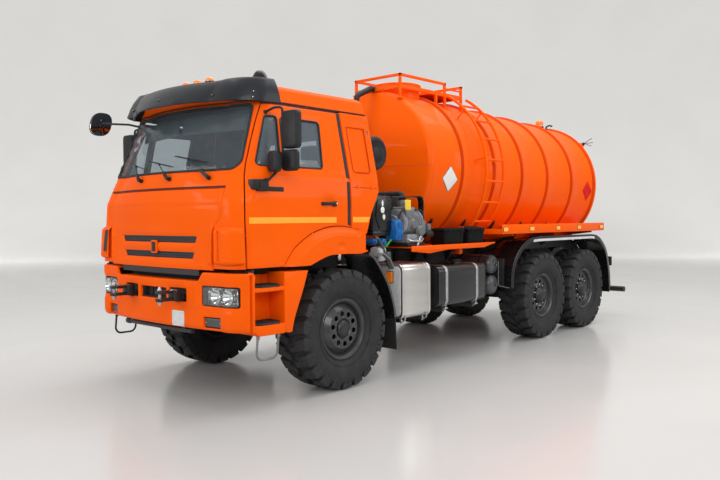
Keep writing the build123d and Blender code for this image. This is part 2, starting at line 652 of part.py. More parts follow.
shell = outer - inner
doors = {}
door_low = side_face(FLARE, GAP + 1)
for s, nm in ((1, "left"), (-1, "right")):
    x0, x1 = (900, 1300) if s > 0 else (-1300, -900)
    leaf = shell & (side_prism(side_face(DOOR), x0, x1) - side_prism(door_low, x0, x1))
    leaf -= side_prism(side_face(QUARTER), x0, x1) + side_prism(side_face(WINDOW), x0, x1)
    doors[nm] = max(leaf.solids(), key=lambda p: p.volume)
    hole = side_prism(side_face(DOOR, GAP), x0, x1) - side_prism(side_face(FLARE, 0.5), x0, x1)
    hole += box(x0, x1, 92, 93 + DOOR_REAR_GAP, 1640, 2777)
    shell -= hole
glass_skin = cab_solid(16) - cab_solid(22, grow_top=1.0)
shell -= front_prism(SCREEN, 0, -1500, -900)
screen = glass_skin & front_prism(SCREEN, -2, -1500, -900)
shell -= front_prism(REAR_WIN, 0, 400, 600)
rear_glass = box(-700, 700, 505, 511, 2100, 2700) & front_prism(REAR_WIN, -2, 400, 600)
# nose panel: outer skin only, the bulkhead stands behind it
panel = (outer - cab_solid(26, grow_top=1.0)) & front_prism(PANEL, 0, -1500, -1250)
shell -= front_prism(PANEL, GAP, -1500, -1200)
floor = box(-1160, 1160, 112, 482, 1376, 1410) & cab_solid(WALL - 1)
floor += box(-1138, 1138, -1190, 120, 1376, 1410) & cab_solid(WALL + 12)
cover = box(-330, 330, -900, 300, 1405, 1520)
# wheel openings in the lower side walls, behind the doors' lower edge
arch = box(600, 1300, -600, 545, 1200, 1372)
arch += mirror_x(arch)
shell = shell - arch + floor + cover
shell += box(-905, 905, -1195, -1165, 1390, 2030)
for s in (1, -1):
    # shelf from the bulkhead to the corner panels, and the tilt arm below the floor
    tie = box(890, 1140, -1200, -1165, 1390, 2030) & cab_solid(WALL + 12)
    tie += box(880, 1105, -1335, -1170, 1985, 2030) & cab_solid(20)
    arm = prism_x(((TILT_Y - 30, TILT_Z - 20), (TILT_Y - 30, TILT_Z + 22), (-890, 1380), (-810, 1380),
                   (TILT_Y + 32, TILT_Z - 20)), 472, 500)
    arm += cyl_x(472, 500, TILT_Y, TILT_Z, 40)
    arm -= cyl_x(460, 520, TILT_Y, TILT_Z, 20.05)
    tie += arm
    shell += tie if s > 0 else mirror_x(tie)
cowl = box(-905, 905, -1400, -1165, 2000, 2030) & cab_solid(10)
shell += cowl
shell = max(shell.solids(), key=lambda p: p.volume)
# welded from a lower and an upper part, which meet at the belt line
shell_low = shell & box(-1400, 1400, -1700, 800, 600, BELT_Z)
shell_top = shell & box(-1400, 1400, -1700, 800, BELT_Z, 3000)
put("cab_shell", shell_low, shell_top)
put("cab_windows", screen, rear_glass)
put("front_panel", panel)
for nm in ("left", "right"):
    s = 1 if nm == "left" else -1
    x0, x1 = (900, 1300) if s > 0 else (-1300, -900)
    put(nm + "_door", doors[nm])
    put(nm + "_door_glass", glass_skin & side_prism(side_face(QUARTER, -2), x0, x1),
        glass_skin & side_prism(side_face(WINDOW, -2), x0, x1))

# flares over the front wheels and wind deflectors at the front corners, on the cab
flare = side_prism(side_face(FLARE), 1130, 1250) - cab_solid(-0.5)
put("fender_flares", both(flare))
DEFLECT = ((-1500, 1312), (-1500, 1640), (-1216, 1640), (-1216, 1312))
defl = (cab_solid(-42) - cab_solid(-0.4, grow_top=1.0)) & side_prism(side_face(DEFLECT), 905, 1300)
put("corner_deflectors", both(defl))

# roof cap
CAP = (
    (2797, 1060, -1138, -1075, -935, 190, 530),
    (2900, 1035, -1105, -1040, -900, 200, 515),
    (2972, 925, -1010, -950, -800, 220, 440),
)
cap = cab_solid(0, CAP)
cap_in = cab_solid(40, ((2796, 1060, -1138, -1075, -935, 190, 530), (2895, 1035, -1105, -1040, -900, 200, 515),
                        (2940, 940, -1030, -970, -820, 220, 455)))
put("roof_cap", cap - cap_in)

# sun visor: tilted bowed blade in front of the roof
VISOR = ((2765, 1150, -1450, -1330, -1120, 260, -790), (2985, 1010, -1150, -1090, -960, 200, -790))
VIS_IN = ((2760, 1122, -1420, -1300, -1095, 250, -700), (2990, 975, -1118, -1060, -935, 200, -700))
visor = cab_solid(0, VISOR) - cab_solid(0, VIS_IN) - cab_solid(-2, CAP)
visor -= box(-1300, 1300, -1180, -700, 2700, 2784)
visor = max(visor.solids(), key=lambda p: p.volume)
put("sun_visor", visor)

# seats, dashboard with steering wheel
seats = []
for x in (-620, 620):
    seat = box(x - 240, x + 240, -420, 80, 1600, 1740) + box(x - 230, x + 230, 40, 160, 1740, 2300)
    seat += box(x - 120, x + 120, -300, 0, 1410, 1600) + box(x - 130, x + 130, 60, 140, 2300, 2480)
    seats.append(seat)
seats.append(box(-230, 230, -150, 150, 1521, 1640))
put("seats", seats)

dash = prism_x([(-1164, 1720), (-1164, 2060), (-1000, 2060), (-840, 1960), (-840, 1780)], -1120, 1120)
dash &= cab_solid(WALL + 14)
dash += rod((620, -900, 1900), (620, -690, 2010), 30)
wheel = Pos(620, -690, 2010) * Rot(-62, 0, 0) * Torus(225, 16)
spoke = Pos(620, -690, 2010) * Rot(-62, 0, 0) * (Box(440, 36, 16) + Box(36, 440, 16))
dash += wheel + spoke
put("dashboard", dash)

# mirrors on the doors; the right-hand side also has the front-view mirror
def mirrors():
    m = tube([(1088, -948, 2692), (1180, -872, 2718), (1250, -850, 2714), (1250, -850, 2190), (1214, -930, 2040)], 11, 24)
    m += box(1086, 1110, -962, -925, 2670, 2705)
    m += box(1199.5, 1238, -1110, -912, 1950, 2062)
    m += box(1262, 1468, -880, -822, 2335, 2675) + box(1258, 1264, -862, -838, 2480, 2540)
    m += box(1258, 1448, -882, -828, 2135, 2325)
    m += box(1190, 1336, -990, -935, 2125, 2315) + box(1230, 1262, -940, -840, 2215, 2245)
    return m


def front_view_mirror():
    m = tube([(-1250, -850, 2700), (-1300, -1000, 2740), (-1310, -1180, 2760), (-1360, -1200, 2760)], 11, 24)
    m += box(-1465, -1355, -1330, -1100, 2650, 2860)
    return m


put("left_mirrors", mirrors())
put("right_mirrors", mirror_x(mirrors()) + front_view_mirror())
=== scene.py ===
import bpy
import bmesh
import math
import random
import json
import numpy as np
from mathutils import Vector, Matrix, geometry

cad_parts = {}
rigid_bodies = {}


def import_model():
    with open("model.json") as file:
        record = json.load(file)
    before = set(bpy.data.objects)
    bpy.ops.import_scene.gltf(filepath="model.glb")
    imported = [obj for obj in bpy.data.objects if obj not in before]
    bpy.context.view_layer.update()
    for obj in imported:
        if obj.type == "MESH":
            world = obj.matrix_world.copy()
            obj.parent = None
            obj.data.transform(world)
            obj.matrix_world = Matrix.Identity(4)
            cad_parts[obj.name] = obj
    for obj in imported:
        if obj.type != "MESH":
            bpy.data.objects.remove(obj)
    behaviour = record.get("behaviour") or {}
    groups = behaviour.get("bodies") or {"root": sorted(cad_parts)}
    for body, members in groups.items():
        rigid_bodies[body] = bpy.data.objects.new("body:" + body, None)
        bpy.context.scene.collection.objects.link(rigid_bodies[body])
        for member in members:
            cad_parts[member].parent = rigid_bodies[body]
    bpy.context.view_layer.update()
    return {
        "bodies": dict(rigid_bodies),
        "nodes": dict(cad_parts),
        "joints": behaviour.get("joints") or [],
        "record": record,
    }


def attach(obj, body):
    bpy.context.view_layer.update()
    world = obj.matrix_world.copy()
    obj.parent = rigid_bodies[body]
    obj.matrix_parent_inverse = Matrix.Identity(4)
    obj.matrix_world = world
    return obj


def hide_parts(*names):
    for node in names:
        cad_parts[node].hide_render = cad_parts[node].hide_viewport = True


# ---------------------------------------------------------------------------
# Tanker truck: the looks.  Metres, +Z up.  Lengths along the truck are written
# from the front axle, as in the CAD, and moved by YS when a mesh is made.
# ---------------------------------------------------------------------------
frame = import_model()
YS = 2.680
random.seed(7)
NODES = frame["nodes"]


# ------------------------------------------------------------------ geometry
class Geo:
    def __init__(self):
        self.v, self.f, self.m = [], [], []

    def add(self, vs, fs, mat=0):
        o = len(self.v)
        self.v.extend([(float(p[0]), float(p[1]), float(p[2])) for p in vs])
        self.f.extend([tuple(o + i for i in f) for f in fs])
        self.m.extend([mat] * len(fs))

    def bm(self, bm, mat=0, M=None):
        bmesh.ops.recalc_face_normals(bm, faces=bm.faces)
        bm.verts.index_update()
        vs = [(M @ v.co if M is not None else v.co.copy()) for v in bm.verts]
        self.add(vs, [[v.index for v in f.verts] for f in bm.faces], mat)
        bm.free()

    def mirrored(self):
        g = Geo()
        g.v = [(-x, y, z) for x, y, z in self.v]
        g.f = [tuple(reversed(f)) for f in self.f]
        g.m = list(self.m)
        return g

    def merge(self, other, mat_shift=0):
        o = len(self.v)
        self.v += other.v
        self.f += [tuple(o + i for i in f) for f in other.f]
        self.m += [m + mat_shift for m in other.m]

    def moved(self, M):
        g = Geo()
        g.v = [tuple(M @ Vector(p)) for p in self.v]
        g.f, g.m = list(self.f), list(self.m)
        return g


def piece(name, g, mats, body, replaces=(), angle=40, recalc=False):
    me = bpy.data.meshes.new(name)
    me.from_pydata([(x, y - YS, z) for x, y, z in g.v], [], g.f)
    for m in mats:
        me.materials.append(MAT[m])
    me.polygons.foreach_set("material_index", g.m)
    me.polygons.foreach_set("use_smooth", [True] * len(g.f))
    if recalc:
        b = bmesh.new()
        b.from_mesh(me)
        bmesh.ops.recalc_face_normals(b, faces=b.faces)
        b.to_mesh(me)
        b.free()
    me.update()
    me.set_sharp_from_angle(angle=math.radians(angle))
    ob = bpy.data.objects.new(name, me)
    bpy.context.scene.collection.objects.link(ob)
    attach(ob, body)
    if replaces:
        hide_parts(*replaces)
    return ob


def rbox(g, x0, x1, y0, y1, z0, z1, r=0.005, seg=2, mat=0):
    b = bmesh.new()
    bmesh.ops.create_cube(b, size=1)
    sx, sy, sz = abs(x1 - x0), abs(y1 - y0), abs(z1 - z0)
    for v in b.verts:
        v.co = Vector(((x0 + x1) / 2 + v.co.x * sx, (y0 + y1) / 2 + v.co.y * sy, (z0 + z1) / 2 + v.co.z * sz))
    r = min(r, 0.45 * min(sx, sy, sz))
    if r > 0:
        bmesh.ops.bevel(b, geom=b.edges[:], offset=r, segments=seg, profile=0.5, affect="EDGES")
    g.bm(b, mat)


def basis(d):
    d = Vector(d).normalized()
    a = Vector((0, 0, 1)) if abs(d.z) < 0.9 else Vector((1, 0, 0))
    u = d.cross(a).normalized()
    return u, d.cross(u).normalized(), d


def lathe(g, c, axis, prof, seg=48, mat=0, mats=None, a0=0.0, a1=360.0):
    # prof: (distance along axis, radius); points with radius 0 close the end
    u, w, d = basis(axis)
    c = Vector(c)
    full = abs(a1 - a0) > 359.9
    n = seg if full else seg + 1
    ang = [math.radians(a0 + (a1 - a0) * i / seg) for i in range(n)]
    vs, rows = [], []
    for h, r in prof:
        if r < 1e-6:
            rows.append([len(vs)])
            vs.append(c + d * h)
        else:
            rows.append(list(range(len(vs), len(vs) + n)))
            vs += [c + d * h + u * (r * math.cos(a)) + w * (r * math.sin(a)) for a in ang]
    for k in range(len(rows) - 1):
        A, B = rows[k], rows[k + 1]
        fs = []
        for i in range(seg):
            j = (i + 1) % n if full else i + 1
            if len(A) == 1 and len(B) == 1:
                continue
            if len(A) == 1:
                fs.append((A[0], B[i], B[j]))
            elif len(B) == 1:
                fs.append((A[i], B[0], A[j]))
            else:
                fs.append((A[i], B[i], B[j], A[j]))
        m = mats[k] if mats else mat
        o = len(g.v)
        if k == 0:
            base = o
            g.v.extend([tuple(p) for p in vs])
        g.f.extend([tuple(base + q for q in f) for f in fs])
        g.m.extend([m] * len(fs))


def cyl(g, p0, p1, r, seg=32, mat=0, bev=0.002, r2=None):
    p0, p1 = Vector(p0), Vector(p1)
    L = (p1 - p0).length
    r2 = r if r2 is None else r2
    b = min(bev, r * 0.4, r2 * 0.4, L * 0.3)
    if b > 0:
        q = 0.293 * b
        prof = [(0, 0), (0, r - b), (q, r - q), (b, r), (L - b, r2), (L - q, r2 - q), (L, r2 - b), (L, 0)]
    else:
        prof = [(0, 0), (0, r), (L, r2), (L, 0)]
    lathe(g, p0, p1 - p0, prof, seg, mat)


def fillet_path(pts, bend, n=6):
    pts = [Vector(p) for p in pts]
    out = [pts[0]]
    for k in range(1, len(pts) - 1):
        a, b, c = pts[k - 1], pts[k], pts[k + 1]
        u, w = (a - b), (c - b)
        lu, lw = u.length, w.length
        u.normalize()
        w.normalize()
        th = u.angle(w)
        if th > math.pi - 0.02:
            out.append(b)
            continue
        r = bend[k - 1] if isinstance(bend, (list, tuple)) else bend
        t = min(r / math.tan(th / 2), 0.48 * lu, 0.48 * lw)
        r = t * math.tan(th / 2)
        p, q = b + u * t, b + w * t
        cen = b + (u + w).normalized() * (r / math.sin(th / 2))
        va, vb = p - cen, q - cen
        ang = va.angle(vb)
        for i in range(n + 1):
            s = i / n
            v = (va * math.sin((1 - s) * ang) + vb * math.sin(s * ang)) / math.sin(ang)
            out.append(cen + v)
    out.append(pts[-1])
    return out


def sweep_ring(g, path, ring, mat=0, caps=True, closed=False, up=None):
    # ring: 2D section points, parallel-transported along the path
    P = [Vector(p) for p in path]
    n = len(P)
    T = []
    for i in range(n):
        if closed:
            t = P[(i + 1) % n] - P[i - 1]
        else:
            t = P[min(i + 1, n - 1)] - P[max(i - 1, 0)]
        T.append(t.normalized())
    u, w, _ = basis(T[0])
    if up is not None:
        u = (Vector(up) - T[0] * Vector(up).dot(T[0])).normalized()
        w = T[0].cross(u)
    vs = []
    for i in range(n):
        if i:
            if up is not None:
                u = (Vector(up) - T[i] * Vector(up).dot(T[i])).normalized()
                w = T[i].cross(u)
            else:
                q = T[i - 1].rotation_difference(T[i])
                u = q @ u
                w = q @ w
        vs += [P[i] + u * a + w * b for a, b in ring]
    m = len(ring)
    fs = []
    for i in range(n if closed else n - 1):
        j = (i + 1) % n
        for k in range(m):
            l = (k + 1) % m
            fs.append((i * m + k, i * m + l, j * m + l, j * m + k))
    if caps and not closed:
        fs.append(tuple(reversed(range(m))))
        fs.append(tuple((n - 1) * m + k for k in range(m)))
    g.add(vs, fs, mat)


def tube(g, pts, r, bend=0.05, seg=12, mat=0, n=6, closed=False):
    path = pts if bend == 0 else fillet_path(pts, bend, n)
    ring = [(r * math.cos(2 * math.pi * k / seg), r * math.sin(2 * math.pi * k / seg)) for k in range(seg)]
    sweep_ring(g, path, ring, mat, closed=closed)


def prism(g, plane, outline, a0, a1, r=0.003, seg=2, mat=0):
    # plane 'x': outline in (Y, Z); 'y': (X, Z); 'z': (X, Y)
    b = bmesh.new()

    def P(a, q):
        return {"x": (a, q[0], q[1]), "y": (q[0], a, q[1]), "z": (q[0], q[1], a)}[plane]

    lo = [b.verts.new(P(a0, q)) for q in outline]
    hi = [b.verts.new(P(a1, q)) for q in outline]
    n = len(outline)
    b.faces.new(lo)
    b.faces.new(list(reversed(hi)))
    for i in range(n):
        j = (i + 1) % n
        b.faces.new((lo[i], hi[i], hi[j], lo[j]))
    bmesh.ops.recalc_face_normals(b, faces=b.faces)
    if r > 0:
        sharp = [e for e in b.edges if len(e.link_faces) == 2 and e.calc_face_angle(0) > 0.5]
        bmesh.ops.bevel(b, geom=sharp, offset=r, segments=seg, profile=0.5, affect="EDGES", clamp_overlap=True)
    g.bm(b, mat)


def loft(g, rings, mat=0, caps=True, closed=True):
    n = len(rings[0])
    vs = [p for ring in rings for p in ring]
    fs = []
    for i in range(len(rings) - 1):
        for k in range(n if closed else n - 1):
            l = (k + 1) % n
            fs.append((i * n + k, i * n + l, (i + 1) * n + l, (i + 1) * n + k))
    if caps:
        fs.append(tuple(reversed(range(n))))
        fs.append(tuple((len(rings) - 1) * n + k for k in range(n)))
    g.add(vs, fs, mat)


# ------------------------------------------------- 2D outlines and thin skins
def rpoly(pts, rad, n=6):
    # closed outline with rounded corners
    if not isinstance(rad, (list, tuple)):
        rad = [rad] * len(pts)
    out = []
    m = len(pts)
    for k in range(m):
        a, b, c = Vector(pts[k - 1]), Vector(pts[k]), Vector(pts[(k + 1) % m])
        r = rad[k]
        u, w = a - b, c - b
        lu, lw = u.length, w.length
        u.normalize()
        w.normalize()
        th = u.angle(w)
        if r <= 0 or th > math.pi - 0.03:
            out.append(tuple(b))
            continue
        t = min(r / math.tan(th / 2), 0.49 * lu, 0.49 * lw)
        r = t * math.tan(th / 2)
        cen = b + (u + w).normalized() * (r / math.sin(th / 2))
        va, vb = b + u * t - cen, b + w * t - cen
        ang = va.angle(vb)
        for i in range(n + 1):
            s = i / n
            v = (va * math.sin((1 - s) * ang) + vb * math.sin(s * ang)) / math.sin(ang)
            out.append(tuple(cen + v))
    return out


def area2(p):
    x, y = p[:, 0], p[:, 1]
    return 0.5 * float(np.sum(x * np.roll(y, -1) - np.roll(x, -1) * y))


def resample(pts, spacing):
    out = []
    n = len(pts)
    for i in range(n):
        a, b = np.array(pts[i], float), np.array(pts[(i + 1) % n], float)
        k = max(1, int(math.ceil(np.linalg.norm(b - a) / spacing)))
        for j in range(k):
            out.append(a + (b - a) * j / k)
    q = np.array(out)
    keep = np.linalg.norm(q - np.roll(q, 1, 0), axis=1) > 1e-5
    return q[keep]


def offset_loop(q, d):
    # moves a loop to its left by d
    a = q - np.roll(q, 1, 0)
    b = np.roll(q, -1, 0) - q
    a /= np.linalg.norm(a, axis=1)[:, None]
    b /= np.linalg.norm(b, axis=1)[:, None]
    na = np.stack([-a[:, 1], a[:, 0]], 1)
    nb = np.stack([-b[:, 1], b[:, 0]], 1)
    m = na + nb
    l = np.linalg.norm(m, axis=1)[:, None]
    m = m / np.maximum(l, 1e-9)
    c = np.maximum(np.sum(m * na, 1), 0.35)[:, None]
    return q + m * d / c


def grow(pts, d):
    q = np.array(pts, float)
    if area2(q) < 0:
        q = q[::-1]
    return [tuple(p) for p in offset_loop(q, -d)]


def in_poly(P, q):
    x, y = P[:, 0], P[:, 1]
    inside = np.zeros(len(P), bool)
    n = len(q)
    for i in range(n):
        x0, y0 = q[i]
        x1, y1 = q[(i + 1) % n]
        c = (y0 > y) != (y1 > y)
        if y1 != y0:
            inside ^= c & (x < (x1 - x0) * (y - y0) / (y1 - y0) + x0)
    return inside


def fill2d(loops, spacing):
    outer = loops[0]
    lo, hi = outer.min(0), outer.max(0)
    rows = np.arange(lo[1] + spacing * 0.5, hi[1], spacing * 0.866)
    pts = []
    for k, y in enumerate(rows):
        xs = np.arange(lo[0] + spacing * (0.25 if k % 2 else 0.75), hi[0], spacing)
        pts.append(np.stack([xs, np.full(len(xs), y)], 1))
    P = np.concatenate(pts) if pts else np.zeros((0, 2))
    if len(P):
        ok = in_poly(P, outer)
        for h in loops[1:]:
            ok &= ~in_poly(P, h)
        P = P[ok]
    for q in loops:
        if not len(P):
            break
        a, b = q, np.roll(q, -1, 0)
        keep = np.ones(len(P), bool)
        for i in range(len(q)):
            ab = b[i] - a[i]
            near = (np.abs(P[:, 0] - a[i][0]) < spacing * 1.2 + abs(ab[0])) & (np.abs(P[:, 1] - a[i][1]) < spacing * 1.2 + abs(ab[1]))
            if not near.any():
                continue
            idx = np.nonzero(near)[0]
            t = np.clip(((P[idx] - a[i]) @ ab) / max(ab @ ab, 1e-12), 0, 1)
            dist = np.linalg.norm(P[idx] - a[i] - t[:, None] * ab, axis=1)
            keep[idx[dist < spacing * 0.55]] = False
        P = P[keep]
    allp = np.concatenate(list(loops) + [P])
    edges, o = [], 0
    for q in loops:
        n = len(q)
        edges += [(o + i, o + (i + 1) % n) for i in range(n)]
        o += n
    vo, eo, fo, ov, oe, of_ = geometry.delaunay_2d_cdt([Vector(p) for p in allp], edges, [], 0, 1e-7)
    V = np.array([tuple(v) for v in vo])
    m = {}
    for k, src in enumerate(ov):
        for s in src:
            m[s] = k
    F = np.array([tuple(f) for f in fo if len(f) == 3])
    C = V[F].mean(1)
    ok = in_poly(C, outer)
    for h in loops[1:]:
        ok &= ~in_poly(C, h)
    F = F[ok]
    A, B, D = V[F[:, 0]], V[F[:, 1]], V[F[:, 2]]
    cr = (B[:, 0] - A[:, 0]) * (D[:, 1] - A[:, 1]) - (B[:, 1] - A[:, 1]) * (D[:, 0] - A[:, 0])
    F[cr < 0] = F[cr < 0][:, ::-1]
    return V, F, m


def skin(g, surf, outer, holes=(), mat=0, back=None, spacing=0.03, r=0.005, thick=0.02, disp=None, edge_sp=None, rings=2, wall=True):
    # a sheet on surf, with rounded edges round its outline and holes, and its own thickness
    back = mat if back is None else back
    edge_sp = edge_sp or spacing
    loops = []
    for k, q in enumerate([outer] + list(holes)):
        q = resample(q, edge_sp)
        if (area2(q) < 0) == (k == 0):
            q = q[::-1]
        loops.append(q)
    inner = [offset_loop(q, r) for q in loops]
    V, F, m = fill2d(inner, spacing)

    def ev(A, depth):
        pos, nor = surf(A)
        dd = disp(A) if disp is not None else np.zeros(len(A))
        return pos + nor * (dd - depth)[:, None]

    o = len(g.v)
    g.v.extend([tuple(p) for p in ev(V, np.zeros(len(V)))])
    g.f.extend([tuple(int(o + i) for i in f) for f in F])
    g.m.extend([mat] * len(F))
    ob = len(g.v)
    if wall:
        g.v.extend([tuple(p) for p in ev(V, np.full(len(V), thick))])
        g.f.extend([tuple(int(ob + i) for i in f[::-1]) for f in F])
        g.m.extend([back] * len(F))
    src = 0
    for q, qi in zip(loops, inner):
        n = len(q)
        front = [o + m[src + i] for i in range(n)]
        prev = front
        for k in range(1, rings + 1):
            ph = math.pi / 2 * (1 - k / rings)
            off, dep = r * (1 - math.cos(ph)), r * (1 - math.sin(ph))
            A = offset_loop(q, off)
            s = len(g.v)
            g.v.extend([tuple(p) for p in ev(A, np.full(n, dep))])
            cur = list(range(s, s + n))
            for i in range(n):
                j = (i + 1) % n
                g.f.append((prev[i], cur[i], cur[j], prev[j]))
                g.m.append(mat)
            prev = cur
        if wall:
            s = len(g.v)
            g.v.extend([tuple(p) for p in ev(q, np.full(n, thick))])
            cur = list(range(s, s + n))
            bk = [ob + m[src + i] for i in range(n)]
            for i in range(n):
                j = (i + 1) % n
                g.f.append((prev[i], cur[i], cur[j], prev[j]))
                g.m.append(mat)
                g.f.append((cur[i], bk[i], bk[j], cur[j]))
                g.m.append(back)
        src += n


def num_normal(fn, A, e=0.002):
    # outward normal by differences; fn maps (a, b) to points
    pa = fn(A + np.array([e, 0])) - fn(A - np.array([e, 0]))
    pb = fn(A + np.array([0, e])) - fn(A - np.array([0, e]))
    n = np.cross(pa, pb)
    return n / np.maximum(np.linalg.norm(n, axis=1), 1e-12)[:, None]


def surf_of(fn, sign=1.0):
    return lambda A: (fn(A), sign * num_normal(fn, A))


def smooth01(t):
    t = np.clip(t, 0, 1)
    return t * t * (3 - 2 * t)


def seam_tube(g, surf, loop, r, depth=0.0, mat=0, seg=8, spacing=0.03):
    # a round rubber strip along a closed outline on a surface
    q = resample(loop, spacing)
    pos, nor = surf(q)
    P = pos - nor * depth
    ring = [(r * math.cos(2 * math.pi * k / seg), r * math.sin(2 * math.pi * k / seg)) for k in range(seg)]
    n = len(P)
    vs = []
    for i in range(n):
        t = Vector(P[(i + 1) % n] - P[i - 1]).normalized()
        u = Vector(nor[i])
        u = (u - t * u.dot(t)).normalized()
        w = t.cross(u)
        vs += [Vector(P[i]) + u * a + w * b for a, b in ring]
    fs = []
    for i in range(n):
        j = (i + 1) % n
        for k in range(seg):
            l = (k + 1) % seg
            fs.append((i * seg + k, i * seg + l, j * seg + l, j * seg + k))
    g.add(vs, fs, mat)


# ------------------------------------------------------------------ materials
MAT = {}


def material(name, c1, c2, rough=(0.3, 0.4), metal=0.0, scale=6.0, bump=0.0, bump_scale=120.0, coat=0.0,
             coat_rough=0.05, spec=0.5, stretch=None, detail=4.0, dirt=None, dirt_z=(0.0, 1.0), dirt_amount=0.5,
             kind="NOISE", emit=None):
    m = bpy.data.materials.new(name)
    m.use_nodes = True
    nt = m.node_tree
    N, L = nt.nodes, nt.links
    for n in list(N):
        N.remove(n)
    out = N.new("ShaderNodeOutputMaterial")
    bs = N.new("ShaderNodeBsdfPrincipled")
    L.new(bs.outputs[0], out.inputs[0])
    tc = N.new("ShaderNodeTexCoord")
    src = tc.outputs["Object"]
    if stretch:
        mp = N.new("ShaderNodeMapping")
        mp.inputs["Scale"].default_value = stretch
        L.new(src, mp.inputs[0])
        src = mp.outputs[0]
    nz = N.new("ShaderNodeTexNoise")
    nz.inputs["Scale"].default_value = scale
    nz.inputs["Detail"].default_value = detail
    L.new(src, nz.inputs["Vector"])
    cr = N.new("ShaderNodeValToRGB")
    cr.color_ramp.elements[0].position = 0.32
    cr.color_ramp.elements[1].position = 0.68
    cr.color_ramp.elements[0].color = (*c1, 1)
    cr.color_ramp.elements[1].color = (*c2, 1)
    L.new(nz.outputs["Fac"], cr.inputs[0])
    col = cr.outputs[0]
    if dirt:
        sep = N.new("ShaderNodeSeparateXYZ")
        L.new(tc.outputs["Object"], sep.inputs[0])
        mr = N.new("ShaderNodeMapRange")
        mr.inputs["From Min"].default_value = dirt_z[0]
        mr.inputs["From Max"].default_value = dirt_z[1]
        mr.inputs["To Min"].default_value = dirt_amount
        mr.inputs["To Max"].default_value = 0.0
        L.new(sep.outputs["Z"], mr.inputs["Value"])
        mu = N.new("ShaderNodeMath")
        mu.operation = "MULTIPLY"
        L.new(mr.outputs[0], mu.inputs[0])
        L.new(nz.outputs["Fac"], mu.inputs[1])
        mx = N.new("ShaderNodeMix")
        mx.data_type = "RGBA"
        L.new(mu.outputs[0], mx.inputs["Factor"])
        L.new(col, mx.inputs["A"])
        mx.inputs["B"].default_value = (*dirt, 1)
        col = mx.outputs["Result"]
    L.new(col, bs.inputs["Base Color"])
    n2 = N.new("ShaderNodeTexNoise")
    n2.inputs["Scale"].default_value = scale * 3.1
    n2.inputs["Detail"].default_value = 3.0
    L.new(src, n2.inputs["Vector"])
    rr = N.new("ShaderNodeMapRange")
    rr.inputs["From Min"].default_value = 0.3
    rr.inputs["From Max"].default_value = 0.7
    rr.inputs["To Min"].default_value = rough[0]
    rr.inputs["To Max"].default_value = rough[1]
    L.new(n2.outputs["Fac"], rr.inputs["Value"])
    L.new(rr.outputs[0], bs.inputs["Roughness"])
    if bump > 0:
        n3 = N.new("ShaderNodeTexNoise" if kind == "NOISE" else "ShaderNodeTexVoronoi")
        n3.inputs["Scale"].default_value = bump_scale
        L.new(src, n3.inputs["Vector"])
        bp = N.new("ShaderNodeBump")
        bp.inputs["Strength"].default_value = bump
        bp.inputs["Distance"].default_value = 0.002
        L.new(n3.outputs[0], bp.inputs["Height"])
        L.new(bp.outputs[0], bs.inputs["Normal"])
    bs.inputs["Metallic"].default_value = metal
    bs.inputs["Specular IOR Level"].default_value = spec
    if coat:
        bs.inputs["Coat Weight"].default_value = coat
        bs.inputs["Coat Roughness"].default_value = coat_rough
    if emit:
        L.new(col, bs.inputs["Emission Color"])
        bs.inputs["Emission Strength"].default_value = emit
    MAT[name] = m
    return m


def glassy(name, tint1, tint2, gloss, rough=0.02, grey=(0.05, 0.055, 0.06)):
    # a see-through pane: tinted clear part mixed with a glossy part by a slow noise
    m = bpy.data.materials.new(name)
    m.use_nodes = True
    nt = m.node_tree
    N, L = nt.nodes, nt.links
    for n in list(N):
        N.remove(n)
    out = N.new("ShaderNodeOutputMaterial")
    tr = N.new("ShaderNodeBsdfTransparent")
    bs = N.new("ShaderNodeBsdfPrincipled")
    bs.inputs["Base Color"].default_value = (*grey, 1)
    bs.inputs["Roughness"].default_value = rough
    bs.inputs["Specular IOR Level"].default_value = 1.0
    bs.inputs["Coat Weight"].default_value = 1.0
    bs.inputs["Coat Roughness"].default_value = rough
    mx = N.new("ShaderNodeMixShader")
    tc = N.new("ShaderNodeTexCoord")
    nz = N.new("ShaderNodeTexNoise")
    nz.inputs["Scale"].default_value = 1.3
    L.new(tc.outputs["Object"], nz.inputs["Vector"])
    cr = N.new("ShaderNodeValToRGB")
    cr.color_ramp.elements[0].color = (*tint1, 1)
    cr.color_ramp.elements[1].color = (*tint2, 1)
    L.new(nz.outputs["Fac"], cr.inputs[0])
    L.new(cr.outputs[0], tr.inputs["Color"])
    mr = N.new("ShaderNodeMapRange")
    mr.inputs["From Min"].default_value = 0.3
    mr.inputs["From Max"].default_value = 0.7
    mr.inputs["To Min"].default_value = gloss * 0.92
    mr.inputs["To Max"].default_value = gloss * 1.08
    L.new(nz.outputs["Fac"], mr.inputs["Value"])
    L.new(mr.outputs[0], mx.inputs[0])
    L.new(tr.outputs[0], mx.inputs[1])
    L.new(bs.outputs[0], mx.inputs[2])
    L.new(mx.outputs[0], out.inputs[0])
    MAT[name] = m
    return m


material("orange", (0.90, 0.104, 0.0004), (0.93, 0.112, 0.0005), rough=(0.42, 0.48), coat=0.12, coat_rough=0.03, scale=1.2, spec=0.04)
# darker copy of the orange paint: painted shade, for the bumper's back faces and the weld beads on the tank's front
# head
material("orange_shaded_copy", (0.70, 0.060, 0.004), (0.78, 0.070, 0.006), rough=(0.4, 0.5), scale=2.0)
material("amber_stripe", (1.0, 0.36, 0.004), (1.0, 0.40, 0.008), rough=(0.28, 0.36), coat=0.5, scale=8.0)
material("black_plastic", (0.010, 0.0105, 0.012), (0.015, 0.0155, 0.017), rough=(0.45, 0.55), bump=0.06, bump_scale=420.0, scale=5.0, spec=0.30)
material("black_gloss", (0.006, 0.006, 0.007), (0.009, 0.009, 0.010), rough=(0.22, 0.30), coat=0.20, scale=3.0, spec=0.30)
material("smoke", (0.016, 0.017, 0.021), (0.021, 0.022, 0.027), rough=(0.34, 0.40), coat=0.08, coat_rough=0.10, scale=1.5, spec=0.22)
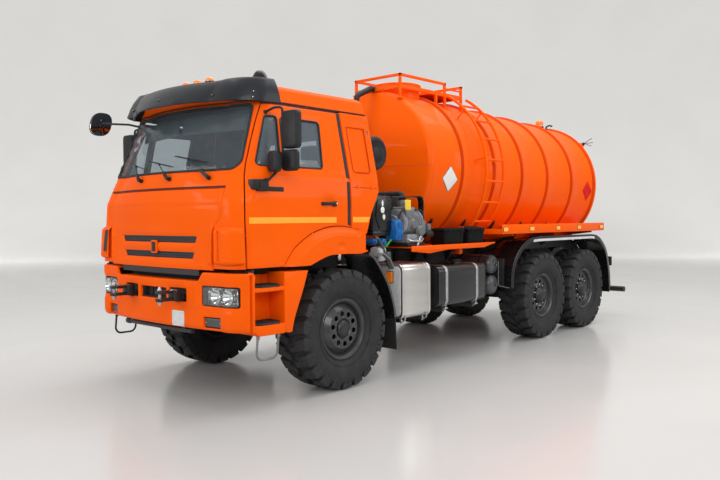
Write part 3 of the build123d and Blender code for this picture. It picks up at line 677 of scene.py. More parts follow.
material("rubber", (0.008, 0.008, 0.008), (0.014, 0.014, 0.014), rough=(0.6, 0.75), scale=10.0)
material("tyre", (0.019, 0.019, 0.020), (0.028, 0.028, 0.029), rough=(0.60, 0.75), scale=9.0, bump=0.12, bump_scale=160.0, dirt=(0.040, 0.038, 0.036), dirt_z=(0.0, 1.4), dirt_amount=0.25, spec=0.28)
material("tread", (0.020, 0.020, 0.021), (0.032, 0.032, 0.033), rough=(0.6, 0.75), scale=14.0, bump=0.15, bump_scale=220.0, spec=0.35)
material("rim_dark", (0.020, 0.021, 0.023), (0.030, 0.031, 0.034), rough=(0.30, 0.42), coat=0.3, scale=7.0)
material("steel_black", (0.010, 0.010, 0.011), (0.018, 0.018, 0.019), rough=(0.36, 0.5), scale=6.0, bump=0.1, bump_scale=200.0)
material("under_black", (0.006, 0.006, 0.006), (0.012, 0.012, 0.012), rough=(0.5, 0.7), scale=4.0)
material("tank_black", (0.010, 0.010, 0.011), (0.013, 0.013, 0.014), rough=(0.24, 0.3), coat=0.30, coat_rough=0.10, scale=1.2, spec=0.35)
material("steel_grey", (0.16, 0.165, 0.17), (0.24, 0.245, 0.25), rough=(0.35, 0.5), metal=0.7, scale=8.0)
material("silver", (0.62, 0.61, 0.59), (0.68, 0.67, 0.65), rough=(0.30, 0.36), metal=1.0, scale=2.0, stretch=(1.0, 1.0, 10.0))
material("chrome", (0.78, 0.78, 0.78), (0.86, 0.86, 0.86), rough=(0.05, 0.10), metal=1.0, scale=4.0)
material("reflector_metal", (0.86, 0.86, 0.87), (0.95, 0.95, 0.95), rough=(0.03, 0.08), metal=1.0, scale=12.0)
material("galv", (0.42, 0.43, 0.44), (0.56, 0.57, 0.58), rough=(0.3, 0.45), metal=0.9, scale=18.0)
material("casting", (0.20, 0.21, 0.225), (0.30, 0.31, 0.325), rough=(0.42, 0.6), metal=0.35, scale=10.0, bump=0.35, bump_scale=180.0)
material("grey_paint", (0.115, 0.12, 0.125), (0.15, 0.155, 0.16), rough=(0.35, 0.5), scale=5.0)
material("slate_dark", (0.003, 0.0035, 0.004), (0.005, 0.0055, 0.006), rough=(0.55, 0.65), scale=5.0, spec=0.12)
material("slate", (0.040, 0.043, 0.048), (0.055, 0.058, 0.062), rough=(0.35, 0.45), coat=0.3, scale=5.0)
material("blue", (0.006, 0.13, 0.42), (0.010, 0.16, 0.48), rough=(0.4, 0.5), coat=0.15, scale=6.0, spec=0.3)
material("blue_dark", (0.006, 0.03, 0.30), (0.010, 0.05, 0.38), rough=(0.25, 0.35), coat=0.4, scale=6.0)
material("green", (0.02, 0.35, 0.04), (0.04, 0.42, 0.06), rough=(0.35, 0.45), scale=6.0)
material("yellow", (0.80, 0.52, 0.02), (0.88, 0.60, 0.04), rough=(0.35, 0.45), scale=6.0)
material("white", (0.72, 0.72, 0.70), (0.82, 0.82, 0.80), rough=(0.32, 0.42), scale=5.0)
material("plate", (0.62, 0.63, 0.63), (0.72, 0.73, 0.73), rough=(0.3, 0.4), metal=0.15, scale=22.0)
material("red", (0.60, 0.004, 0.004), (0.68, 0.007, 0.006), rough=(0.45, 0.55), coat=0.05, scale=9.0, spec=0.12)
material("amber_lamp", (0.98, 0.20, 0.006), (1.0, 0.26, 0.01), rough=(0.12, 0.2), coat=1.0, scale=9.0, emit=0.12)
# amber reflectors, made to glow faintly: painted light, as reflectors are no lamps
material("amber_reflector_glow", (1.0, 0.34, 0.01), (1.0, 0.46, 0.03), rough=(0.15, 0.25), coat=1.0, scale=60.0, emit=0.16)
material("mesh_grille", (0.012, 0.012, 0.013), (0.030, 0.031, 0.033), rough=(0.45, 0.6), scale=260.0, bump=0.5, bump_scale=260.0, kind="V")
material("mirror_face", (0.62, 0.65, 0.68), (0.70, 0.72, 0.74), rough=(0.02, 0.04), metal=1.0, scale=2.0)
material("fabric", (0.030, 0.032, 0.036), (0.052, 0.054, 0.060), rough=(0.8, 0.95), scale=320.0, bump=0.5, bump_scale=500.0)
material("fabric_red", (0.22, 0.012, 0.010), (0.32, 0.02, 0.016), rough=(0.8, 0.95), scale=320.0, bump=0.5, bump_scale=500.0)
material("cab_grey", (0.13, 0.135, 0.145), (0.18, 0.185, 0.195), rough=(0.6, 0.75), scale=12.0, bump=0.2, bump_scale=300.0)
material("headliner", (0.30, 0.30, 0.31), (0.36, 0.36, 0.37), rough=(0.8, 0.9), scale=30.0)
material("dash_dark", (0.016, 0.017, 0.019), (0.028, 0.029, 0.031), rough=(0.5, 0.65), scale=12.0, bump=0.2, bump_scale=400.0)
glassy("glass", (0.90, 0.94, 0.95), (0.94, 0.97, 0.98), 0.15, grey=(0.19, 0.235, 0.27))
glassy("glass_side", (0.86, 0.90, 0.92), (0.90, 0.93, 0.95), 0.23, grey=(0.26, 0.31, 0.35))
# darker orange: painted shade for the tank's rib slopes and the panel outline on the cab's rear sides
material("rib_shade", (0.55, 0.044, 0.0006), (0.60, 0.050, 0.0008), rough=(0.45, 0.55), scale=1.2, spec=0.05)
material("milky", (0.34, 0.35, 0.35), (0.42, 0.43, 0.43), rough=(0.25, 0.35), coat=0.3, scale=7.0)
material("lug_face", (0.030, 0.030, 0.031), (0.042, 0.042, 0.043), rough=(0.6, 0.75), scale=14.0, spec=0.35)
glassy("lens", (0.90, 0.92, 0.93), (0.97, 0.98, 0.98), 0.10, rough=0.01, grey=(0.6, 0.6, 0.6))
_fl = material("floor", (0.53, 0.525, 0.515), (0.57, 0.565, 0.555), rough=(0.16, 0.22), scale=0.35, spec=0.35)
# far from the truck the sheet glows softly, so floor and wall meet without an edge
_n, _l = _fl.node_tree.nodes, _fl.node_tree.links
_tc = _n.new("ShaderNodeTexCoord")
_len = _n.new("ShaderNodeVectorMath")
_len.operation = "LENGTH"
_l.new(_tc.outputs["Object"], _len.inputs[0])
_mr = _n.new("ShaderNodeMapRange")
_mr.interpolation_type = "SMOOTHSTEP"
_mr.inputs["From Min"].default_value = 17.0
_mr.inputs["From Max"].default_value = 31.0
_mr.inputs["To Min"].default_value = 0.0
_mr.inputs["To Max"].default_value = 0.37
_l.new(_len.outputs["Value"], _mr.inputs["Value"])
_bs = [x for x in _n if x.type == "BSDF_PRINCIPLED"][0]
_l.new(_mr.outputs[0], _bs.inputs["Emission Strength"])
_bs.inputs["Emission Color"].default_value = (1.0, 0.985, 0.965, 1)

# CAD nodes that keep their own shape
KEEP = {
    "chassis_frame": "steel_black", "front_axle": "under_black", "rear_axles": "under_black", "leaf_springs": "under_black",
    "engine_block": "under_black", "driveline": "under_black", "left_knuckle": "under_black", "right_knuckle": "under_black",
    "silencer": "steel_black", "discharge_valve": "steel_grey", "underrun_bar": "steel_black", "tank_cradle": "under_black",
}


# ------------------------------------------------------------- cab surfaces
CAB = ((1.266, 1.200, -1.385, -1.335, -1.200, 0.200), (1.870, 1.200, -1.405, -1.322, -1.155, 0.295),
       (2.100, 1.190, -1.370, -1.255, -1.035, 0.420), (2.795, 1.040, -1.120, -1.010, -0.800, 0.370))
CABZ = np.array([s[0] for s in CAB])


def sect(z, table=CAB, zs=CABZ):
    return [np.interp(z, zs, np.array([s[k] for s in table])) for k in range(1, 6)]


def circ(ax, ay, bx, by, cx, cy):
    d = 2 * (ax * (by - cy) + bx * (cy - ay) + cx * (ay - by))
    ux = ((ax**2 + ay**2) * (by - cy) + (bx**2 + by**2) * (cy - ay) + (cx**2 + cy**2) * (ay - by)) / d
    uy = ((ax**2 + ay**2) * (cx - bx) + (bx**2 + by**2) * (ax - cx) + (cx**2 + cy**2) * (bx - ax)) / d
    return ux, uy, np.sqrt((ax - ux) ** 2 + (ay - uy) ** 2)


class Wrap:
    # front sheet: |w| <= 1 across the front, 1..1.25 round the corner, beyond along the side
    def __init__(self, table, grow=0.0):
        self.t, self.z, self.g = table, np.array([s[0] for s in table]), grow

    def sec(self, z):
        h, ym, ys, yc, c = [np.interp(z, self.z, np.array([s[k] for s in self.t])) for k in range(1, 6)]
        return h + self.g, ym - self.g, ys - self.g * 0.9, yc, c

    def corner(self, z):
        h, ym, ys, yc, c = self.sec(z)
        ux, uy, r = circ(h, yc, h - 0.29 * c, (ys + yc) / 2 - 0.19 * (yc - ys), h - c, ys)
        a0 = np.arctan2(ys - uy, h - c - ux)
        a1 = np.arctan2(yc - uy, h - ux)
        return ux, uy, r, a0, a1

    def pos(self, A):
        w, z = A[:, 0], A[:, 1]
        h, ym, ys, yc, c = self.sec(z)
        s, a = np.sign(w), np.abs(w)
        ux, uy, r, a0, a1 = self.corner(z)
        fx, fy, fr = circ(h - c, ys, 0 * z, ym, -(h - c), ys)
        xf = np.minimum(a, 1.0) * (h - c)
        yf = fy - np.sqrt(np.maximum(fr**2 - (xf - fx) ** 2, 0))
        t = np.clip((a - 1.0) / 0.25, 0, 1)
        an = a0 + (a1 - a0) * t
        xc, yc2 = ux + r * np.cos(an), uy + r * np.sin(an)
        x = np.where(a <= 1, xf, np.where(a <= 1.25, xc, h))
        y = np.where(a <= 1, yf, np.where(a <= 1.25, yc2, yc + (a - 1.25)))
        return np.stack([x * s, y, z], 1)

    def w_of_x(self, x, z):
        x = np.abs(np.atleast_1d(np.array(x, float)))
        z = np.atleast_1d(np.array(z, float))
        h, ym, ys, yc, c = self.sec(z)
        ux, uy, r, a0, a1 = self.corner(z)
        an = -np.arccos(np.clip((x - ux) / r, -1, 1))
        t = (an - a0) / (a1 - a0)
        return np.where(x <= h - c, x / (h - c), 1.0 + 0.25 * np.clip(t, 0, 1))

    def w_of_y(self, y, z):
        y = np.atleast_1d(np.array(y, float))
        z = np.atleast_1d(np.array(z, float))
        h, ym, ys, yc, c = self.sec(z)
        ux, uy, r, a0, a1 = self.corner(z)
        an = np.arcsin(np.clip((y - uy) / r, -1, 1))
        t = (an - a0) / (a1 - a0)
        return np.where(y >= yc, 1.25 + (y - yc), 1.0 + 0.25 * np.clip(t, 0, 1))

    def surf(self):
        def f(A):
            n = num_normal(self.pos, A)
            return self.pos(A), n
        return f

    # side sheet: (Y, Z) on the left side
    def side(self, A):
        y, z = A[:, 0], A[:, 1]
        w = self.w_of_y(y, z)
        p = self.pos(np.stack([w, z], 1))
        p[:, 1] = y
        return p

    def side_surf(self):
        def f(A):
            return self.side(A), num_normal(self.side, A)
        return f


WR = Wrap(CAB)
FRONT = WR.surf()
SIDE = WR.side_surf()


def fx(x, z):
    return (float(np.sign(x) * WR.w_of_x(x, z)[0]), z)


def fy(y, z, s=1):
    return (float(s * WR.w_of_y(y, z)[0]), z)


def line_pts(p, q, n):
    return [(p[0] + (q[0] - p[0]) * i / n, p[1] + (q[1] - p[1]) * i / n) for i in range(n)]


def smooth_open(pts, n=5):
    # Catmull-Rom through the points
    P = [Vector(p) for p in pts]
    P = [P[0] * 2 - P[1]] + P + [P[-1] * 2 - P[-2]]
    out = []
    for i in range(1, len(P) - 2):
        for k in range(n):
            t = k / n
            a, b, c, d = P[i - 1], P[i], P[i + 1], P[i + 2]
            out.append(tuple(0.5 * ((2 * b) + (c - a) * t + (2 * a - 5 * b + 4 * c - d) * t * t + (3 * b - a - 3 * c + d) * t**3)))
    out.append(tuple(P[-2]))
    return out


def seg_dist(A, pts):
    # distance from points to an open line of points
    best = np.full(len(A), 1e9)
    for i in range(len(pts) - 1):
        a, b = np.array(pts[i]), np.array(pts[i + 1])
        ab = b - a
        t = np.clip(((A - a) @ ab) / max(ab @ ab, 1e-12), 0, 1)
        best = np.minimum(best, np.linalg.norm(A - a - t[:, None] * ab, axis=1))
    return best


def loop_dist(A, q):
    q = np.array(q)
    d = seg_dist(A, list(q) + [q[0]])
    return np.where(in_poly(A, q), -d, d)


SCREEN = [(-1.075, 2.165), (1.075, 2.165), (0.968, 2.745), (-0.968, 2.745)]


def screen_loop(g=0.0):
    # rounded outline of the windscreen in (w, z)
    q = rpoly([(-1.050 - g, 2.152 - g), (1.050 + g, 2.152 - g), (0.960 + g, 2.765 + g), (-0.960 - g, 2.765 + g)], [0.085, 0.085, 0.045, 0.045], 8)
    q = [tuple(p) for p in resample(q, 0.04)]
    return [fx(x, z) for x, z in q]


def front_disp(A):
    # a soft roll under the screen
    w, z = A[:, 0], A[:, 1]
    d = np.zeros(len(A))
    d += -0.004 * np.exp(-((z - 2.130) / 0.014) ** 2) * (np.abs(w) < 0.985)
    return d


def build_front():
    g = Geo()
    lw = lambda z: float(np.interp(z, (1.252, 1.645, 1.730, 1.985), (0.862, 0.866, 0.950, 0.972))) + 0.0035
    out = []
    zs = np.linspace(1.268, 2.09, 9)
    right = [fy(float(np.interp(z, [q[0] for q in SEAM], [q[1] for q in SEAM])) - 0.0085, z) for z in (1.268, 1.36, 1.46, 1.58, 1.70, 1.78, 1.87, 1.935, 2.0, 2.045, 2.09, 2.145, 2.2, 2.3, 2.4, 2.5, 2.6, 2.7, 2.768)] + [fy(-0.8875, 2.792)]
    out += [fx(lw(1.268), 1.268)] + right
    out += [(-a, z) for a, z in reversed(right)] + [fx(-lw(1.268), 1.268)]
    ez = (1.40, 1.645, 1.730, 1.86, 1.992)
    out += [fx(-lw(z), z) for z in ez]
    out += [fx(lw(z), z) for z in ez[::-1]]
    skin(g, FRONT, out, holes=[screen_loop()], mat=0, back=1, spacing=0.045, edge_sp=0.04, r=0.004, thick=0.028, disp=front_disp)
    # windscreen rubber
    gr = Geo()
    seam_tube(gr, FRONT, screen_loop(-0.004), 0.012, depth=0.002, spacing=0.03, seg=10)
    seam_tube(gr, FRONT, screen_loop(-0.003), 0.011, depth=0.020, spacing=0.03, seg=10)
    # black strip along the seam above the nose panel: painted shade that thickens the dark gap under the cowl
    seam_tube(gr, FRONT, [fx(x, 1.9975) for x in np.linspace(-0.968, 0.968, 40)] + [fx(x, 2.0035) for x in np.linspace(0.968, -0.968, 40)], 0.0050, depth=0.001, spacing=0.04, seg=8)
    piece("screen_rubber", gr, ["rubber"], "cab")
    gg = Geo()
    skin(gg, FRONT, screen_loop(-0.006), mat=0, spacing=0.07, r=0.002, thick=0.012, disp=lambda A: np.full(len(A), -0.007))
    piece("windscreen", gg, ["glass"], "cab", ["cab_windows"])
    # dark pillar trim close behind the ends of the glass
    gt = Geo()
    for sx, wd in ((-1, 0.085), (1, 0.032)):
        q = [(1.046 - 0.088 * t, 2.170 + 0.580 * t) for t in np.linspace(0, 1, 9)] + [(0.958 - wd + 0.088 * t, 2.750 - 0.580 * t) for t in np.linspace(0, 1, 9)]
        skin(gt, FRONT, [fx(sx * x, z) for x, z in q], mat=0, spacing=0.04, r=0.003, thick=0.006, disp=lambda A: np.full(len(A), -0.031))
    piece("pillar_trim", gt, ["slate"], "cab")
    return g


SEAM = ((1.273, -1.225), (1.700, -1.222), (1.870, -1.217), (2.000, -1.188), (2.090, -1.166), (2.200, -1.131), (2.400, -1.052), (2.600, -0.968), (2.768, -0.890))
DOOR = [(-1.225, 1.273), (-0.811, 1.273), (-0.655, 1.4525), (-0.473, 1.559), (-0.211, 1.630), (0.093, 1.6175),
        (0.093, 2.768), (-0.890, 2.768), (-1.225, 2.090)]
FLARE_TOP = smooth_open([(-0.802, 1.268), (-0.730, 1.362), (-0.648, 1.446), (-0.470, 1.551), (-0.340, 1.596), (-0.210, 1.622), (-0.03, 1.628), (0.145, 1.607)], 4)
FLARE_LOW = smooth_open([(0.302, 1.372), (0.185, 1.352), (0.0, 1.358), (-0.128, 1.356), (-0.256, 1.350), (-0.402, 1.308), (-0.510, 1.268)], 4)
QUARTER = [(-1.080, 2.188), (-0.893, 2.662), (-0.756, 2.662), (-0.798, 2.188)]
WINDOW = [(-0.762, 2.188), (-0.722, 2.655), (-0.213, 2.655), (-0.258, 2.188)]


def door_outline():
    # down to the flare's upper edge, 8 mm clear of it
    top = [(y - 0.0065, z + 0.0085) for y, z in FLARE_TOP if y < 0.09]
    top = [(y, z) for y, z in top if z > 1.276]
    return [(-1.225, 1.273)] + line_pts((-1.225, 1.273), (top[0][0] - 0.004, 1.273), 1)[1:] + [(top[0][0] - 0.004, 1.273)] + top + \
        [(0.093, 1.622), (0.093, 2.768)] + [(y, z) for z, y in SEAM[:0:-1]]


def door_disp(A):
    y, z = A[:, 0], A[:, 1]
    frame = np.array(rpoly([(-1.150, 2.150), (-0.875, 2.700), (-0.165, 2.690), (-0.200, 2.150)], 0.05, 5))
    d = loop_dist(A, frame)
    e = -0.007 * smooth01(1 - (d + 0.012) / 0.020)
    # raised belt and a lower crease
    e += 0.004 * smooth01((2.118 - z) / 0.020)
    e += 0.004 * smooth01((1.345 - z) / 0.03) * (y < -0.80)
    # dish behind the handle
    dd = np.sqrt(((y + 0.212) / 0.060) ** 2 + ((z - 1.872) / 0.030) ** 2)
    e += -0.014 * smooth01(1.35 - dd)
    return e


def build_door(side):
    s = 1 if side == "left" else -1
    g = Geo()
    out = rpoly(door_outline(), 0.0, 1)
    q, wdw = rpoly(QUARTER, 0.035, 5), rpoly(WINDOW, 0.04, 5)
    skin(g, SIDE, out, holes=[q, wdw], mat=0, back=1, spacing=0.032, edge_sp=0.03, r=0.004, thick=0.045, disp=door_disp)
    gr = Geo()
    sd = lambda A: (SIDE(A)[0] + SIDE(A)[1] * door_disp(A)[:, None], SIDE(A)[1])
    for lp in (q, wdw):
        seam_tube(gr, sd, grow(lp, -0.003), 0.009, depth=0.001, spacing=0.03)
        seam_tube(gr, sd, grow(lp, -0.002), 0.010, depth=0.026, spacing=0.03)
        seam_tube(gr, sd, grow(lp, -0.002), 0.010, depth=0.041, spacing=0.03)
    gg = Geo()
    for lp in (q, wdw):
        skin(gg, SIDE, grow(lp, -0.004), mat=0, spacing=0.06, r=0.002, thick=0.006, disp=lambda A: np.full(len(A), -0.014))
    # stripe
    gs = Geo()
    skin(gs, SIDE, rpoly([(-1.196, 1.667), (-0.115, 1.667), (-0.115, 1.722), (-1.196, 1.722)], 0.003, 2), mat=0, spacing=0.022, r=0.0005,
         thick=0.005, disp=lambda A: door_disp(A) + 0.0022, rings=1)
    # handle: bow grip with end pad and lock
    gh = Geo()
    x0 = 1.204
    path = [(x0 - 0.002, -0.262, 1.852), (x0 + 0.026, -0.250, 1.853), (x0 + 0.032, -0.180, 1.854), (x0 + 0.026, -0.112, 1.853), (x0 - 0.002, -0.100, 1.852)]
    sweep_ring(gh, fillet_path(path, 0.03, 5), [(0.012 * math.cos(a), 0.016 * math.sin(a)) for a in np.linspace(0, 2 * math.pi, 13)[:-1]], 0, up=(1, 0, 0))
    rbox(gh, x0 - 0.006, x0 + 0.024, -0.128, -0.082, 1.828, 1.876, 0.008, 3)
    rbox(gh, x0 - 0.006, x0 + 0.012, -0.283, -0.245, 1.834, 1.870, 0.008, 3)
    cyl(gh, (x0 + 0.018, -0.092, 1.853), (x0 + 0.030, -0.092, 1.853), 0.010, 20, 1, 0.002)
    cyl(gh, (x0 + 0.028, -0.092, 1.853), (x0 + 0.032, -0.092, 1.853), 0.004, 12, 0, 0.001)
    gh = gh.moved(Matrix.Translation((0, -0.04, 0)))
    # bare strip beside the mirror foot
    rbox(gh, 1.186, 1.206, -1.030, -0.800, 1.956, 1.998, 0.005, 3, 0)
    # black trim down the rear edge of the door
    skin(gr, SIDE, [(0.046, 1.645), (0.090, 1.632), (0.090, 2.764), (0.046, 2.764)], mat=0, spacing=0.06, r=0.0005, thick=0.004, disp=lambda A: door_disp(A) + 0.0015, rings=1)
    # inner trim
    gi = Geo()
    skin(gi, SIDE, rpoly([(-1.12, 1.45), (-0.74, 1.45), (-0.60, 1.58), (-0.30, 1.68), (0.05, 1.70), (0.05, 2.10), (-1.12, 2.10)], 0.03, 4), mat=0, spacing=0.08, r=0.01,
         thick=0.02, disp=lambda A: np.full(len(A), -0.048))
    rbox(gi, 1.085, 1.145, -0.75, -0.15, 1.90, 1.95, 0.015, 3, 0)
    body = side + "_door_body"
    for nm, geo, mats, slot, rep in (("door", g, ["orange", "cab_grey"], "body_orange", [side + "_door"]),
                                     ("door_rubber", gr, ["rubber"], "black_plastic", []),
                                     ("door_panes", gg, ["glass_side"], "glass", [side + "_door_glass"]),
                                     ("door_stripe", gs, ["amber_stripe"], "body_orange", []),
                                     ("door_handle", gh, ["black_plastic", "chrome"], "black_plastic", []),
                                     ("door_trim", gi, ["dash_dark"], "black_plastic", [])):
        if s < 0:
            geo = geo.mirrored()
        piece(side + "_" + nm + "_skin", geo, mats, body, rep)


def flare_disp(A):
    top = FLARE_TOP
    d = seg_dist(A, top)
    rear = np.maximum(0.302 - A[:, 0], 0)
    e = 0.050 * smooth01(np.minimum(d, rear * 1.5 + 0.02) / 0.085)
    # side marker pocket
    pocket = np.array(rpoly([(-0.142, 1.410), (-0.048, 1.410), (-0.034, 1.459), (-0.130, 1.459)], 0.008, 3))
    e += -0.010 * smooth01(-loop_dist(A, pocket) / 0.007)
    e += -0.003 * np.exp(-((A[:, 1] - 1.487) / 0.004) ** 2) * ((A[:, 0] > -0.035) & (A[:, 0] < 0.045))
    return e


def build_flare(side):
    g = Geo()
    out = list(FLARE_TOP) + [(0.240, 1.565), (0.296, 1.521)] + list(FLARE_LOW)
    base = lambda A: (np.stack([np.full(len(A), 1.2005), A[:, 0], A[:, 1]], 1), np.tile(np.array([1.0, 0, 0]), (len(A), 1)))
    skin(g, base, out, mat=0, back=0, spacing=0.018, edge_sp=0.018, r=0.004, thick=0.010, disp=flare_disp)
    # inner return of the arch edge
    low = [p for p in FLARE_LOW]
    for k in range(len(low) - 1):
        (ya, za), (yb, zb) = low[k], low[k + 1]
        g.add([(1.245, ya, za), (1.245, yb, zb), (1.185, yb, zb - 0.002), (1.185, ya, za - 0.002),
               (1.245, ya, za + 0.012), (1.245, yb, zb + 0.012), (1.185, yb, zb + 0.010), (1.185, ya, za + 0.010)],
              [(0, 1, 2, 3), (7, 6, 5, 4), (0, 4, 5, 1), (3, 2, 6, 7), (1, 5, 6, 2), (0, 3, 7, 4)], 0)
    if side == "right":
        g = g.mirrored()
    return g


def build_deflector():
    # wrap-round corner piece, proud of the cab, with a slot on its inner side
    g = Geo()
    wi = float(WR.w_of_x(0.905, 1.45)[0])
    out = [(wi - 0.012, 1.312), (1.10, 1.305), fy(-1.2395, 1.322), fy(-1.2395, 1.635), (1.10, 1.645), (wi + 0.028, 1.640)]
    out = rpoly(out, [0.012, 0, 0.012, 0.012, 0, 0.02], 4)

    def disp(A):
        w, z = A[:, 0], A[:, 1]
        e = 0.042 * smooth01((1.652 - z) / 0.055)
        e *= smooth01((z - 1.296) / 0.03) * 0.75 + 0.25
        inner = wi - 0.012 + (z - 1.312) * 0.12
        d = w - inner
        e -= 0.036 * np.exp(-((d - 0.052) / 0.010) ** 2) * (z > 1.335) * (z < 1.605)
        return e
    skin(g, FRONT, out, mat=0, back=0, spacing=0.016, edge_sp=0.02, r=0.005, thick=0.006, disp=disp)
    return g


def panel_disp(A):
    w, z = A[:, 0], A[:, 1]
    e = np.zeros(len(A))
    # recess round each slot, soft step at the foot, raised outer ends
    for hw0, hw1, z0, z1 in ((0.700, 0.660, 1.478, 1.570), (0.640, 0.600, 1.332, 1.424)):
        lp = np.array(rpoly([(-hw1, z0), (hw1, z0), (hw0, z1), (-hw0, z1)], 0.012, 3))
        e += -0.010 * smooth01((0.004 - loop_dist(A, lp)) / 0.012)
    e += 0.006 * smooth01((1.318 - z) / 0.012)
    xl = np.interp(z, (1.30, 1.62), (0.785, 0.852))
    e += 0.024 * smooth01((np.abs(w) * 0.971 - xl) / 0.020) * smooth01((z - 1.300) / 0.015) * smooth01((1.645 - z) / 0.030)
    e += -0.0035 * np.exp(-((z - 1.836) / 0.012) ** 2)
    return e


def build_panel():
    g = Geo()
    zs = np.linspace(1.252, 1.985, 8)
    zs = np.array((1.252, 1.36, 1.46, 1.56, 1.645, 1.730, 1.86, 1.985))
    pw = lambda z: float(np.interp(z, (1.252, 1.645, 1.730, 1.985), (0.862, 0.866, 0.950, 0.972)))
    out = [fx(-pw(z), z) for z in zs[::-1]] + [fx(pw(z), z) for z in zs]
    slots = [rpoly([(-0.635, 1.493), (0.635, 1.493), (0.672, 1.554), (-0.672, 1.554)], 0.010, 3),
             rpoly([(-0.580, 1.347), (0.580, 1.347), (0.615, 1.407), (-0.615, 1.407)], 0.010, 3)]
    skin(g, FRONT, out, holes=slots, mat=0, back=1, spacing=0.02, edge_sp=0.02, r=0.004, thick=0.024, disp=panel_disp)
    # bars of black mesh behind the slots
    gm = Geo()
    for hw, z0, z1 in ((0.690, 1.483, 1.565), (0.632, 1.337, 1.418)):
        n = 40
        for k in range(4):
            za = z0 + (z1 - z0) * k / 4
            zb = za + (z1 - z0) / 4 * 0.72
            A = np.array([(-hw + 2 * hw * i / n, za) for i in range(n + 1)] + [(-hw + 2 * hw * i / n, zb) for i in range(n + 1)])
            P, Nn = FRONT(A)
            a, b = P - Nn * 0.030, P - Nn * 0.016
            vs = list(a[:n + 1]) + list(b[:n + 1]) + list(b[n + 1:]) + list(a[n + 1:])
            m = n + 1
            fs = []
            for i in range(n):
                for r in range(4):
                    r2 = (r + 1) % 4
                    fs.append((r * m + i, r * m + i + 1, r2 * m + i + 1, r2 * m + i))
            fs += [(0, m, 2 * m, 3 * m), (n, 3 * m + n, 2 * m + n, m + n)]
            gm.add(vs, fs, 0)
        A = np.array([(-hw + 2 * hw * i / n, z) for z in (z0, z1) for i in range(n + 1)])
        P, Nn = FRONT(A)
        for dep in (0.034,):
            q = P - Nn * dep
            q2 = P - Nn * (dep + 0.004)
            m = n + 1
            gm.add(list(q) + list(q2), [(i, i + 1, m + i + 1, m + i) for i in range(n)] +
                   [(2 * m + i, 3 * m + i, 3 * m + i + 1, 2 * m + i + 1) for i in range(n)] +
                   [(i, 2 * m + i, 2 * m + i + 1, i + 1) for i in range(n)] + [(m + i, m + i + 1, 3 * m + i + 1, 3 * m + i) for i in range(n)] +
                   [(0, m, 3 * m, 2 * m), (n, 2 * m + n, 3 * m + n, m + n)], 0)
    piece("nose_grille", gm, ["mesh_grille"], "front_panel_body")
    # blank badge pad between the slots
    gb = Geo()
    P, Nn = FRONT(np.array([(0.0, 1.45)]))
    yb = float(P[0][1])
    prism(gb, "y", rpoly([(-0.048, 1.388), (0.048, 1.388), (0.048, 1.512), (-0.048, 1.512)], 0.016, 4), yb + 0.004, yb - 0.016, 0.005, 3, 0)
    prism(gb, "y", rpoly([(-0.034, 1.402), (0.034, 1.402), (0.034, 1.498), (-0.034, 1.498)], 0.012, 4), yb - 0.012, yb - 0.0185, 0.002, 2, 1)
    piece("nose_pad", gb, ["orange", "black_gloss"], "front_panel_body")
    # mesh lip under the panel
    gl = Geo()
    n = 44
    rows = []
    for dy, z in ((-0.004, 1.250), (-0.002, 1.196), (0.030, 1.190), (0.030, 1.250)):
        rows.append([(x, float(WR.pos(np.array([fx(x, 1.27)]))[0][1]) + dy + 0.012, z) for x in np.linspace(-0.66, 0.66, n)])
    loft(gl, [[rows[k][i] for k in range(4)] for i in range(n)], 0)
    piece("nose_lip_mesh", gl, ["mesh_grille"], "chassis")
    # dark mesh patch on the far corner piece only: painted shade for the shaded inside of its slot
    gi = Geo()
    skin(gi, FRONT, rpoly([(-1.030, 1.378), (-0.962, 1.378), (-0.956, 1.604), (-1.024, 1.604)], 0.012, 4), mat=0, spacing=0.03, r=0.002, thick=0.006, disp=lambda A: np.full(len(A), 0.0465))
    piece("corner_intake_mesh", gi, ["mesh_grille"], "cab")
    piece("nose_panel", g, ["orange", "cab_grey"], "front_panel_body", ["front_panel"])


def rear_side_disp(A):
    y, z = A[:, 0], A[:, 1]
    e = np.zeros(len(A))
    rect = np.array(rpoly([(0.205, 2.165), (0.470, 2.165), (0.455, 2.690), (0.190, 2.690)], 0.05, 5))
    e += -0.006 * smooth01((0.006 - loop_dist(A, rect)) / 0.014)
    for z0, hw in ((2.100, 0.15),):
        e += -0.004 * np.exp(-((z - z0) / 0.006) ** 2) * (np.abs(y - 0.335) < hw)
    # horizontal seam, the lower part a little proud
    e += 0.006 * smooth01((2.022 - z) / 0.004)
    e += -0.008 * np.exp(-((z - 2.024) / 0.003) ** 2)
    return e


